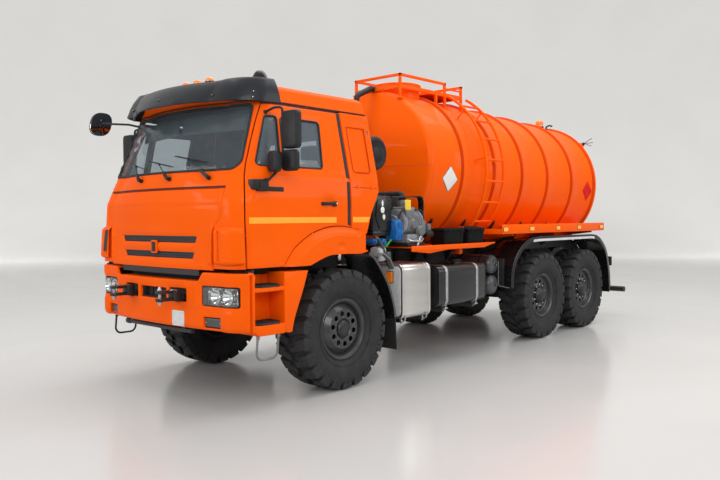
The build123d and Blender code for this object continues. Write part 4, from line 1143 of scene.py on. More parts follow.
def build_sides():
    for s, nm in ((1, "left"), (-1, "right")):
        g = Geo()
        zf = 1.612
        out = [(0.106, zf), (0.180, 1.600), (0.262, 1.552), (0.330, 1.545), (0.405, 1.760), (0.528, 1.985), (0.528, 2.785), (0.106, 2.785)]
        skin(g, SIDE, rpoly(out, [0, 0, 0, 0.02, 0.05, 0.03, 0.0, 0], 4), mat=0, back=1, spacing=0.022, edge_sp=0.025, r=0.004, thick=0.035, disp=rear_side_disp)
        # lower wall behind the flare
        skin(g, SIDE, [(-0.515, 1.275), (-0.40, 1.315), (-0.25, 1.36), (0.19, 1.36), (0.30, 1.378), (0.31, 1.53), (0.20, 1.59), (0.10, 1.606), (-0.2, 1.60), (-0.45, 1.53), (-0.64, 1.42)],
             mat=1, back=1, spacing=0.06, r=0.004, thick=0.03, disp=lambda A: np.full(len(A), -0.012))
        # hinge seam and the outline of the panel above it; the outline is a dark orange tube, painted shade in its
        # groove
        tube(g, [(1.1950, 0.128, 2.020), (1.1950, 0.505, 2.020)], 0.0045, 0, 8, 2)
        tube(g, [Vector((float(WR.sec(np.array([z]))[0][0]) + 0.0005, y, z)) for y, z in ((0.165, 2.640), (0.165, 2.175), (0.430, 2.175), (0.430, 2.640))], 0.0060, 0.04, 8, 3, 5, closed=True)
        for yy in (0.205, 0.415):
            rbox(g, 1.193, 1.207, yy - 0.006, yy + 0.006, 2.004, 2.044, 0.003, 2, 0)
            cyl(g, (1.2035, yy - 0.022, 2.024), (1.2035, yy + 0.022, 2.024), 0.006, 12, 0, 0.001)
        gs = Geo()
        skin(gs, SIDE, rpoly([(0.122, 1.667), (0.352, 1.667), (0.382, 1.722), (0.122, 1.722)], 0.003, 2), mat=0, spacing=0.05, r=0.0005,
             thick=0.004, disp=lambda A: rear_side_disp(A) + 0.0012, rings=1)
        if s < 0:
            g, gs = g.mirrored(), gs.mirrored()
        piece(nm + "_rear_side", g, ["orange", "cab_grey", "rubber", "rib_shade"], "cab")
        piece(nm + "_rear_stripe", gs, ["amber_stripe"], "cab")


def rear_wall():
    g = Geo()

    def f(A):
        # (x, z) on the back of the cab; the foot leans forward
        x, z = A[:, 0], A[:, 1]
        y = np.where(z > 1.985, 0.528, 0.528 - (1.985 - z) * 0.52)
        return np.stack([x, y, z], 1)
    base = surf_of(f, -1.0)
    hw = lambda z: float(np.interp(z, CABZ, [s[1] for s in CAB])) - 0.004
    zs = [1.545, 1.8, 1.985, 2.1, 2.4, 2.785]
    out = [(hw(z), z) for z in zs] + [(-hw(z), z) for z in reversed(zs)]
    win = rpoly([(-0.55, 2.20), (0.55, 2.20), (0.55, 2.60), (-0.55, 2.60)], 0.06, 5)

    def disp(A):
        x, z = A[:, 0], A[:, 1]
        e = np.zeros(len(A))
        for xc in (-0.85, 0.85):
            e += 0.008 * smooth01((0.09 - np.abs(x - xc)) / 0.02) * smooth01((z - 1.62) / 0.05) * smooth01((2.72 - z) / 0.05)
        return e
    skin(g, base, out, holes=[win], mat=0, back=1, spacing=0.06, r=0.012, thick=0.03, disp=disp)
    piece("cab_back", g, ["orange", "cab_grey"], "cab", ["cab_shell"])
    gg = Geo()
    skin(gg, base, grow(win, -0.004), mat=0, spacing=0.12, r=0.002, thick=0.006, disp=lambda A: np.full(len(A), -0.006))
    piece("cab_back_pane", gg, ["glass_side"], "cab")
    gr = Geo()
    seam_tube(gr, base, win, 0.011, depth=0.0)
    piece("cab_back_rubber", gr, ["rubber"], "cab")


piece("cab_front_skin", build_front(), ["orange", "cab_grey"], "cab")
for _s in ("left", "right"):
    build_door(_s)
    piece(_s + "_flare_skin", build_flare(_s), ["orange"], "cab", ["fender_flares"] if _s == "left" else ())
_g = build_deflector()
piece("left_deflector_skin", _g, ["orange"], "cab", ["corner_deflectors"])
piece("right_deflector_skin", _g.mirrored(), ["orange"], "cab")
build_panel()
build_sides()
rear_wall()


# ------------------------------------------------------- roof, visor, bumper
def plan_ring(half, ym, ys, yc, cx, yb, z, rb=0.06, nf=24, nc=8, ns=6):
    # closed plan outline: front arc, corners, sides, rounded back
    pts = []
    fx0, fy0, fr = circ(half - cx, ys, 0.0, ym, -(half - cx), ys)
    ux, uy, r = circ(half, yc, half - 0.29 * cx, (ys + yc) / 2 - 0.19 * (yc - ys), half - cx, ys)
    a0, a1 = math.atan2(ys - uy, half - cx - ux), math.atan2(yc - uy, half - ux)
    for i in range(nf):
        x = -(half - cx) + 2 * (half - cx) * i / nf
        pts.append((x, fy0 - math.sqrt(fr**2 - (x - fx0) ** 2)))
    for i in range(nc):
        a = a0 + (a1 - a0) * i / nc
        pts.append((ux + r * math.cos(a), uy + r * math.sin(a)))
    for i in range(ns):
        pts.append((half, yc + (yb - rb - yc) * i / ns))
    for i in range(5):
        a = math.pi / 2 * i / 4
        pts.append((half - rb + rb * math.cos(a), yb - rb + rb * math.sin(a)))
    n = len(pts)
    left = [(-x, y) for x, y in reversed(pts[nf + 1:])]
    for i in range(8):
        pass
    full = pts + [((half - rb) * (1 - 2 * k / 8), yb) for k in range(1, 8)] + left
    return [(x, y, z) for x, y in full]


def inset_ring(half, ym, ys, yc, cx, yb, z, d, **k):
    return plan_ring(half - d, ym + d, ys + d, yc + d * 0.6, cx, yb - d, z, **k)


def lerp(a, b, t):
    return tuple(a[i] + (b[i] - a[i]) * t for i in range(len(a)))


def build_roof():
    g = Geo()
    A = (1.041, -1.121, -1.011, -0.802, 0.370, 0.530)
    B = (1.017, -1.086, -0.972, -0.772, 0.360, 0.515)
    C = (0.915, -1.000, -0.900, -0.720, 0.320, 0.440)
    rings = [inset_ring(*A, 2.800, 0.012), inset_ring(*A, 2.799, 0.002), plan_ring(*A, 2.806)]
    for t in (0.25, 0.5, 0.75):
        rings.append(plan_ring(*lerp(A, B, t), 2.797 + 0.103 * t))
    for t in np.linspace(0, 1, 7):
        a = t * math.pi / 2
        S = tuple(B[i] + (C[i] - B[i]) * (1 - math.cos(a)) for i in range(6))
        rings.append(plan_ring(*S, 2.900 + 0.066 * math.sin(a)))
    C2 = (0.60, -0.70, -0.66, -0.55, 0.20, 0.20)
    for t in (0.35, 0.75, 1.0):
        rings.append(plan_ring(*lerp(C, C2, t), 2.966 + 0.006 * math.sin(t * math.pi / 2)))
    loft(g, rings, 0, caps=True)
    # side character line of the roof
    piece("roof_skin", g, ["orange"], "cab", ["roof_cap"], angle=50, recalc=True)
    gt = Geo()
    ring = plan_ring(1.043, -1.124, -1.014, -0.803, 0.370, 0.531, 2.7955)
    sweep_ring(gt, [Vector(p) for p in ring], [(0.004 * math.cos(a), 0.004 * math.sin(a)) for a in np.linspace(0, 2 * math.pi, 7)[:-1]], 0, closed=True)
    piece("roof_gutter", gt, ["rubber"], "cab")


VIS = ((2.765, 1.052, -1.420, -1.225, -0.895, 0.430), (3.035, 1.002, -1.160, -1.050, -0.850, 0.320))
WV = Wrap(VIS)


def build_visor():
    g = Geo()
    base = WV.surf()
    we0, we1 = 1.25 + 0.202, 1.25 + 0.120
    vb = ((-1.460, 0.020), (-1.250, 0.020), (-1.100, 0.018), (-1.000, 0.000), (-0.920, -0.035), (-0.840, -0.060), (-0.720, -0.052), (-0.540, -0.026), (-0.320, -0.006), (0.0, 0.0), (0.350, 0.004), (0.700, 0.016), (0.950, 0.020), (1.100, 0.010), (1.250, 0.012), (1.460, 0.020))
    bot = [(w, 2.768 + float(np.interp(w, [q[0] for q in vb], [q[1] for q in vb]))) for w in np.linspace(-we0, we0, 81)]
    top = [(w, 2.990 + (0.037 if w < 0 else 0.020) * float(smooth01(np.array((abs(w) - (0.55 if w < 0 else 0.85)) / 0.45)))) for w in np.linspace(we1, -we1, 41)]
    out = bot + top

    def disp(A):
        w, z = A[:, 0], A[:, 1]
        t = (z - 2.765) / 0.27
        e = 0.020 * np.sin(np.clip(t, 0, 1) * math.pi)
        e += 0.006 * smooth01((2.800 - z) / 0.02)
        return e
    skin(g, base, out, mat=0, back=0, spacing=0.04, edge_sp=0.03, r=0.005, thick=0.014, disp=disp)
    # fasteners
    gs = Geo()
    for w in (-1.02, -0.86, 0.10, 1.02, 1.20, -1.2):
        for z in (2.836,) if abs(w) < 1.1 else (2.81, 2.86):
            P, Nn = base(np.array([(w, z)]))
            P = P + Nn * disp(np.array([(w, z)]))[:, None]
            cyl(gs, Vector(P[0]) - Vector(Nn[0]) * 0.003, Vector(P[0]) + Vector(Nn[0]) * 0.006, 0.012, 16, 0, 0.002)
            cyl(gs, Vector(P[0]) + Vector(Nn[0]) * 0.004, Vector(P[0]) + Vector(Nn[0]) * 0.009, 0.006, 12, 1, 0.001)
    piece("visor_blade", g, ["smoke"], "cab", ["sun_visor"])
    piece("visor_fixings", gs, ["black_gloss", "galv"], "cab")
    # hump on top, towards the left end
    gh = Geo()
    rings = []
    for k in range(9):
        t = k / 8
        a = math.pi / 2 * t
        rx, ry = 0.138 * math.cos(a) ** 0.9 + 0.012, 0.062 * math.cos(a) ** 0.9 + 0.010
        rings.append([(0.850 + 0.72 * rx * math.cos(q) * (1 - 0.1 * t), -0.775 + ry * math.sin(q), 2.935 + 0.172 * math.sin(a)) for q in np.linspace(0, 2 * math.pi, 25)[:-1]])
    loft(gh, rings)
    piece("roof_hump", gh, ["black_gloss"], "cab")
    # three amber marker lamps on the roof edge
    gm = Geo()
    for x in (0.128, 0.312, 0.506):
        rings = []
        for k in range(7):
            a = math.pi / 2 * k / 6
            rx, ry = 0.052 * math.cos(a) ** 0.5 + 0.003, 0.030 * math.cos(a) ** 0.5 + 0.002
            rings.append([(x + rx * math.cos(q), -1.098 + ry * math.sin(q), 3.006 + 0.036 * math.sin(a)) for q in np.linspace(0, 2 * math.pi, 21)[:-1]])
        loft(gm, rings, 0)
        rings = [[(x + (0.058) * math.cos(q), -1.098 + 0.036 * math.sin(q), z) for q in np.linspace(0, 2 * math.pi, 21)[:-1]] for z in (2.955, 3.006)]
        loft(gm, rings, 1)
    piece("roof_markers", gm, ["amber_lamp", "black_gloss"], "cab")


BUMP = ((0.70, 1.250, -1.425, -1.350, -1.200, 0.290), (1.24, 1.250, -1.425, -1.350, -1.200, 0.290))
WB = Wrap(BUMP)
BSURF0 = WB.surf()


def BSURF(A):
    P, Nn = BSURF0(A)
    P = np.array(P, float)
    P[:, 0] += 0.046 * smooth01((-P[:, 0] - 0.62) / 0.50)
    return P, Nn



def bw(x, z=1.0):
    return float(np.sign(x) * WB.w_of_x(x, z)[0])


def side_w(y):
    return 1.25 + (y + 1.200)


def rect_w(x0, x1, z0, z1, r, n=4):
    q = rpoly([(x0, z0), (x1, z0), (x1, z1), (x0, z1)], r, n)
    return [(bw(x), z) for x, z in [tuple(p) for p in resample(q, 0.03)]]


def bump_disp(A):
    w, z = A[:, 0], A[:, 1]
    a = np.abs(w)
    e = np.zeros(len(A))
    # raised ends against the middle, soft waist, plate field
    e += 0.010 * smooth01((a - bw(0.615)) / 0.030)
    e += -0.010 * smooth01((a - bw(0.615)) / 0.03) * smooth01((0.905 - z) / 0.012) * smooth01((z - 0.70) / 0.01) * smooth01((bw(1.02) - a) / 0.05)
    plate = np.array([(-0.52, 0.745), (0.52, 0.745), (0.52, 0.930), (-0.52, 0.930)])
    e += -0.006 * smooth01((0.002 - loop_dist(A, plate)) / 0.008)
    e += -0.020 * smooth01((0.745 - z) / 0.040)
    # shallow frame round the headlamp
    e += -0.009 * smooth01((0.018 - loop_dist(np.stack([a, z], 1), np.array([(bw(0.705), 0.905), (bw(1.19), 0.905), (bw(1.19), 1.135), (bw(0.705), 1.135)]))) / 0.016)
    return e


def build_bumper():
    g = Geo()
    z0 = 0.712
    ws = side_w(-1.224)
    out = [(-ws, z0)] + [(w, z0) for w in np.linspace(-1.2, 1.2, 41)] + [(ws, z0), (ws, 1.232)]
    out += [(w, 1.232) for w in np.linspace(1.25, bw(0.76), 8)] + [(bw(0.745), 1.222), (bw(0.700), 1.160), (bw(0.685), 1.150)]
    out += [(w, 1.150) for w in np.linspace(bw(0.66), -bw(0.66), 24)]
    out += [(-bw(0.685), 1.150), (-bw(0.700), 1.160), (-bw(0.745), 1.222)] + [(w, 1.232) for w in np.linspace(-bw(0.76), -1.25, 8)] + [(-ws, 1.232)]
    holes = [rect_w(-0.225, 0.225, 0.958, 1.066, 0.012)]
    for s in (1, -1):
        for x0, x1, a, b, r in ((0.275, 0.525, 0.950, 1.075, 0.012), (0.738, 1.178, 0.930, 1.112, 0.018), (0.752, 0.965, 0.735, 0.832, 0.008)):
            holes.append(rect_w(x0, x1, a, b, r) if s > 0 else rect_w(-x1, -x0, a, b, r))
    skin(g, BSURF, out, holes=holes, mat=0, back=1, spacing=0.024, edge_sp=0.024, r=0.010, thick=0.030, disp=bump_disp, rings=3)

    # top deck rolling back from the front edge
    def deck(wa, wb, z, n, drop=0.0):
        rows = []
        for k, (dep, dz) in enumerate(((0.004, 0.0), (0.010, 0.0015), (0.060, 0.004), (0.150, 0.004), (0.150, -0.012), (0.012, -0.016))):
            row = []
            for i in range(n + 1):
                w = wa + (wb - wa) * i / n
                P, Nn = BSURF(np.array([(w, z)]))
                dd = float(bump_disp(np.array([(w, z - 0.01)]))[0])
                q = P[0] + Nn[0] * (dd - dep)
                row.append((q[0], min(q[1], -1.2245), z + dz - 0.006))
            rows.append(row)
        loft(g, [[rows[k][i] for k in range(len(rows))] for i in range(n + 1)], 0)
    deck(-bw(0.69), bw(0.69), 1.150, 36)
    deck(bw(0.75), 1.255, 1.232, 16)
    deck(-1.255, -bw(0.75), 1.232, 16)
    # the bumper's back faces use the darker orange copy: painted shade
    piece("bumper_skin", g, ["orange", "orange_shaded_copy"], "chassis", ["front_bumper"])
    # dark lining behind the openings
    gl = Geo()
    rbox(gl, -0.535, 0.535, -1.34, -1.300, 0.935, 1.090, 0.004, 1, 0)
    rbox(gl, -0.235, 0.235, -1.405, -1.385, 0.955, 0.972, 0.003, 1, 1)
    for x in np.linspace(-0.20, 0.20, 6):
        rbox(gl, x - 0.004, x + 0.004, -1.345, -1.337, 0.945, 1.08, 0.001, 1, 1)
    rbox(gl, -0.55, 0.55, -1.30, -1.236, 0.70, 0.94, 0.01, 1, 0)
    rbox(gl, -0.90, 0.90, -1.225, -1.205, 0.72, 1.32, 0.01, 1, 0)
    for s in (1, -1):
        rbox(gl, min(s * 0.88, s * 1.16), max(s * 0.88, s * 1.16), -1.210, -1.190, 1.10, 1.262, 0.004, 1, 0)
        rbox(gl, min(s * 1.10, s * 1.238), max(s * 1.10, s * 1.238), -1.200, -1.185, 1.226, 1.262, 0.003, 1, 0)
    piece("bumper_lining", gl, ["under_black", "black_plastic"], "chassis")
    # bar under the bumper
    gb = Geo()
    tube(gb, [(-0.62, -1.330, 0.676), (0.52, -1.330, 0.676)], 0.024, 0, 20, 0)
    for x in (-0.5, 0.4):
        rbox(gb, x - 0.03, x + 0.03, -1.35, -1.31, 0.67, 0.73, 0.004, 2, 0)
    cyl(gb, (-0.622, -1.330, 0.676), (-0.56, -1.330, 0.676), 0.030, 24, 0, 0.004)
    piece("bumper_bar", gb, ["steel_black"], "chassis")
    # blank plate
    gp = Geo()
    P, Nn = BSURF(np.array([(bw(0.265), 0.79)]))
    skin(gp, BSURF, rect_w(0.314, 0.492, 0.722, 0.866, 0.008), mat=0, back=1, spacing=0.05, r=0.002, thick=0.004, disp=lambda A: bump_disp(A) + 0.006)
    for x, z in ((0.332, 0.74), (0.474, 0.74), (0.332, 0.848), (0.474, 0.848)):
        P, Nn = BSURF(np.array([(bw(x), z)]))
        q = Vector(P[0]) + Vector(Nn[0]) * 0.002
        cyl(gp, q, q + Vector(Nn[0]) * 0.004, 0.005, 12, 1, 0.001)
    piece("blank_plate", gp, ["plate", "galv"], "chassis")
    # blanked lamp holes
    gf = Geo()
    for s in (1, -1):
        lp = rect_w(0.762, 0.955, 0.745, 0.822, 0.008)
        if s < 0:
            lp = [(-a, b) for a, b in lp]
        skin(gf, BSURF, lp, mat=0, spacing=0.03, r=0.004, thick=0.012, disp=lambda A: np.full(len(A), -0.018))
        for x in (0.775, 0.942):
            P, Nn = BSURF(np.array([(s * bw(x), 0.783)]))
            q = Vector(P[0]) - Vector(Nn[0]) * 0.018
            cyl(gf, q, q + Vector(Nn[0]) * 0.004, 0.006, 12, 1, 0.001)
    piece("fog_blanks", gf, ["slate", "galv"], "chassis")


def build_lamps():
    for s, nm in ((1, "left"), (-1, "right")):
        g, gl = Geo(), Geo()
        # tray
        def back(A, dep):
            P, Nn = BSURF(A)
            return P - Nn * dep
        frame = rect_w(0.742, 1.174, 0.934, 1.108, 0.016)
        inner = rect_w(0.752, 1.164, 0.943, 1.099, 0.012)
        skin(g, BSURF, frame, holes=[inner], mat=1, spacing=0.03, r=0.003, thick=0.05, disp=lambda A: bump_disp(A) - 0.004)
        skin(g, BSURF, frame, mat=0, spacing=0.05, r=0.003, thick=0.008, disp=lambda A: np.full(len(A), -0.085))
        # bowls, each with a stem and a cap
        for xc, rr in ((0.888, 0.068), (1.050, 0.068)):
            A = np.array([(bw(xc), 1.021)])
            P, Nn = BSURF(A)
            c = Vector(P[0]) - Vector((0, -1, 0)) * 0.0
            o = Vector((P[0][0], P[0][1] + 0.095, 1.021))
            prof = [(0.0, 0.012)] + [(0.004 + 0.070 * (r / rr) ** 2, r) for r in np.linspace(0.018, rr, 8)] + [(0.074, rr + 0.004), (0.060, rr + 0.004)]
            lathe(g, o, (0, -1, 0), prof, 28, 0)
            cyl(g, o, o + Vector((0, -0.045, 0)), 0.010, 16, 0, 0.004)
            prof = [(0, 0.0), (0.0, 0.012), (0.012, 0.013), (0.018, 0.009), (0.020, 0.0)]
            lathe(g, o + Vector((0, -0.044, 0)), (0, -1, 0), prof, 16, 2)
        # vertical facets between and beside the bowls
        for i in range(9):
            x = 0.758 + i * 0.0055
            rbox(g, x, x + 0.004, -1.325, -1.285, 0.945, 1.097, 0.001, 1, 0)
        for x0, x1 in ((0.958, 0.982), (1.120, 1.160)):
            n = 7
            for i in range(n):
                x = x0 + (x1 - x0) * i / n
                yb = float(BSURF(np.array([(bw(x), 1.02)]))[0][0][1])
                rbox(g, x, x + (x1 - x0) / n * 0.7, yb + 0.045, yb + 0.080, 0.946, 1.096, 0.001, 1, 0)
        # small corner lamp, white
        yb = float(BSURF(np.array([(bw(1.135), 1.02)]))[0][0][1])
        rings = [[(1.135 + 0.018 * math.cos(q), yb + 0.052, 0.966 + 0.016 * math.sin(q)) for q in np.linspace(0, 2 * math.pi, 13)[:-1]],
                 [(1.135 + 0.012 * math.cos(q), yb + 0.038, 0.966 + 0.011 * math.sin(q)) for q in np.linspace(0, 2 * math.pi, 13)[:-1]]]
        loft(g, rings, 2)
        skin(gl, BSURF, inner, mat=0, spacing=0.04, r=0.002, thick=0.005, disp=lambda A: bump_disp(A) - 0.002)
        if s < 0:
            g, gl = g.mirrored(), gl.mirrored()
            for q in (g, gl):
                q.v = [(x + 0.046 * float(smooth01(np.array((-x - 0.62) / 0.50))), y, z) for x, y, z in q.v]
        piece(nm + "_headlamp", g, ["reflector_metal", "black_gloss", "white"], "chassis", ["headlamps"] if s > 0 else ())
        piece(nm + "_headlamp_lens", gl, ["lens"], "chassis")


def build_steps():
    g = Geo()
    # front post, rear wing, shelf, foot, inner wall
    prism(g, "x", [(-1.212, 0.712), (-1.212, 1.230), (-1.196, 1.230), (-1.178, 1.195), (-1.186, 1.15), (-1.186, 0.712)], 0.935, 1.249, 0.005, 2, 0)
    wing = [(-0.845, 1.226), (-0.545, 1.226)] + smooth_open([(-0.545, 1.226), (-0.605, 1.06), (-0.675, 0.900), (-0.722, 0.785), (-0.752, 0.672)], 4)[1:] + \
        [(-0.800, 0.670), (-0.842, 0.690)]
    prism(g, "x", wing, 0.935, 1.249, 0.006, 2, 0)
    prism(g, "x", [(-1.190, 1.062), (-1.190, 1.100), (-0.838, 1.100), (-0.838, 1.062)], 0.960, 1.247, 0.008, 3, 0)
    prism(g, "x", [(-1.190, 0.712), (-1.190, 0.766), (-0.838, 0.766), (-0.838, 0.672), (-1.14, 0.672)], 0.960, 1.247, 0.008, 3, 0)
    rbox(g, 0.990, 1.006, -1.190, -0.838, 1.098, 1.200, 0.003, 2, 0)
    rbox(g, 1.012, 1.028, -1.190, -0.838, 0.764, 1.064, 0.003, 2, 0)
    # creases pressed in the inner walls
    rbox(g, 1.024, 1.034, -0.925, -0.915, 0.79, 1.05, 0.004, 2, 0)
    rbox(g, 1.003, 1.013, -0.925, -0.917, 1.11, 1.19, 0.004, 2, 0)
    rbox(g, 0.62, 0.99, -0.99, -0.93, 0.885, 0.935, 0.004, 1, 1)
    # step treads with ribs
    for z in (1.101, 0.767):
        pl = rpoly([(1.012, -1.168), (1.160, -1.172), (1.247, -1.110), (1.248, -0.900), (1.190, -0.850), (1.012, -0.850)], 0.012, 3)
        prism(g, "z", pl, z, z + 0.014, 0.003, 2, 2)
        for k in range(10):
            y = -1.145 + k * 0.031
            rbox(g, 1.026, 1.228 if -1.10 < y < -0.91 else 1.175, y, y + 0.012, z + 0.012, z + 0.020, 0.002, 1, 2)
    # step loop hanging at the side of the post, with collars on its legs
    tube(g, [(1.210, -1.127, 0.700), (1.210, -1.150, 0.455), (1.210, -0.905, 0.455), (1.210, -0.886, 0.700)], 0.0105, 0.065, 16, 3, 8)
    for y in (-1.127, -0.886):
        cyl(g, (1.210, y, 0.640), (1.210, y, 0.690), 0.016, 16, 3, 0.003)
    for s, nm in ((1, "left"), (-1, "right")):
        piece(nm + "_steps", g if s > 0 else g.mirrored(), ["orange", "steel_black", "tread", "steel_grey" if s > 0 else "steel_black"], "chassis", ["cab_steps"] if s > 0 else ())


def build_liners():
    # dark inner walls of the front wheel arches, hung from the cab floor
    g = Geo()
    for s in (1, -1):
        a, b = sorted((s * 0.500, s * 0.514))
        prism(g, "x", [(-0.640, 1.372), (-0.640, 1.16), (-0.48, 0.99), (0.48, 0.99), (0.60, 1.10), (0.60, 1.372)], a, b, 0.003, 2, 0)
        for y in (-0.40, -0.10, 0.20):
            prism(g, "x", [(y - 0.012, 1.02), (y + 0.012, 1.02), (y + 0.012, 1.35), (y - 0.012, 1.35)], *sorted((s * 0.512, s * 0.522)), 0.003, 2, 0)
    piece("arch_liners", g, ["under_black"], "cab")


def build_forks():
    g = Geo()
    for s in (1, -1):
        q = Geo()
        for z0, z1 in ((1.034, 1.059), (0.964, 0.989)):
            pl = [(0.362, -1.480), (0.448, -1.480), (0.455, -1.560)]
            pl += [(0.405 + 0.046 * math.cos(a), -1.598 - 0.042 * math.sin(a)) for a in np.linspace(0.15, math.pi - 0.15, 12)] + [(0.357, -1.560)]
            prism(q, "z", pl, z0, z1, 0.004, 2, 0)
        rbox(q, 0.354, 0.456, -1.484, -1.398, 0.958, 1.064, 0.012, 3, 0)
        rbox(q, 0.360, 0.436, -1.410, -1.250, 0.960, 1.006, 0.006, 2, 0)
        cyl(q, (0.405, -1.600, 0.926), (0.405, -1.600, 1.094), 0.0148, 24, 1, 0.003)
        cyl(q, (0.405, -1.600, 1.060), (0.405, -1.600, 1.078), 0.024, 24, 1, 0.004)
        lathe(q, (0.405, -1.600, 1.078), (0, 0, 1), [(0, 0.016), (0.008, 0.010), (0.014, 0.011), (0.020, 0.008), (0.022, 0.0)], 20, 1)
        cyl(q, (0.405, -1.600, 0.948), (0.405, -1.600, 0.962), 0.022, 20, 1, 0.003)
        # retaining chain eye
        tube(q, [(0.452, -1.520, 1.06), (0.472, -1.510, 1.072), (0.474, -1.470, 1.060), (0.456, -1.455, 1.045)], 0.004, 0.01, 8, 1)
        if s < 0:
            q = q.mirrored()
        g.merge(q)
    piece("tow_clevises", g, ["steel_black", "galv"], "chassis", ["tow_forks"])


def build_wipers():
    g = Geo()

    def at(x, z, lift):
        A = np.array([fx(x, z)])
        P, Nn = FRONT(A)
        return Vector(P[0] + Nn[0] * lift)
    for (px, pz), (ex, ez), (ax, az), (bx, bz) in (((-0.26, 2.088), (-0.44, 2.235), (-0.64, 2.280), (-0.24, 2.200)),
                                                  ((0.23, 2.088), (0.03, 2.232), (-0.21, 2.280), (0.24, 2.200)),
                                                  ((0.73, 2.080), (0.44, 2.262), (0.22, 2.305), (0.67, 2.220))):
        p = at(px, pz, 0.0)
        cyl(g, p, at(px, pz, 0.030), 0.020, 20, 0, 0.004)
        cyl(g, at(px, pz, 0.028), at(px, pz, 0.042), 0.013, 16, 0, 0.003)
        # arm: wide foot, thin rod
        m = (px + (ex - px) * 0.42, pz + (ez - pz) * 0.42)
        n = 7
        path, wd = [], []
        for i in range(n + 1):
            t = i / n
            path.append(at(px + (m[0] - px) * t, pz + (m[1] - pz) * t, 0.034 + 0.008 * math.sin(t * math.pi)))
            wd.append(0.016 - 0.008 * t)
        for i in range(n):
            sweep_ring(g, [path[i], path[i + 1]], [(wd[i] * 0.6, wd[i]), (-wd[i] * 0.6, wd[i]), (-wd[i] * 0.6, -wd[i]), (wd[i] * 0.6, -wd[i])], 0, up=(0, -1, 0.3))
        tube(g, [at(m[0], m[1], 0.038), at(ex, ez, 0.034)], 0.0045, 0, 8, 0)
        # blade with its bows
        L = [at(ax + (bx - ax) * t, az + (bz - az) * t, 0.012) for t in np.linspace(0, 1, 11)]
        sweep_ring(g, L, [(0.010, 0.003), (-0.004, 0.0035), (-0.004, -0.0035), (0.010, -0.003)], 0, up=(0, -1, 0.4))
        L2 = [at(ax + (bx - ax) * t, az + (bz - az) * t, 0.020 + 0.010 * math.sin(math.pi * t)) for t in np.linspace(0.08, 0.92, 11)]
        sweep_ring(g, L2, [(0.004, 0.004), (-0.004, 0.004), (-0.004, -0.004), (0.004, -0.004)], 0, up=(0, -1, 0.4))
        rbox_at = at(ex, ez, 0.032)
        cyl(g, at(ex, ez, 0.018), at(ex, ez, 0.042), 0.010, 12, 0, 0.002)
    piece("wipers", g, ["black_plastic"], "cab")


def mirror_shell(g, x0, x1, y0, y1, z0, z1, r, mat=0, face=1):
    # rounded housing, face towards the rear
    cx, cz = (x0 + x1) / 2, (z0 + z1) / 2
    rings = []
    for t, yy in ((0.42, y0), (0.80, y0 + 0.10 * (y1 - y0)), (0.95, y0 + 0.28 * (y1 - y0)), (1.0, y0 + 0.55 * (y1 - y0)), (1.0, y1 - 0.006), (0.985, y1)):
        lp = rpoly([(x0, z0), (x1, z0), (x1, z1), (x0, z1)], r, 6)
        k = 1 - (1 - t) * 0.35
        rings.append([(cx + (a - cx) * k, yy, cz + (b - cz) * (1 - (1 - t) * 0.16)) for a, b in lp])
    loft(g, rings, mat)
    lp = rpoly([(x0 + 0.012, z0 + 0.012), (x1 - 0.012, z0 + 0.012), (x1 - 0.012, z1 - 0.012), (x0 + 0.012, z1 - 0.012)], r * 0.8, 6)
    loft(g, [[(a, y1 - 0.001, b) for a, b in lp], [(a, y1 + 0.002, b) for a, b in lp]], face)


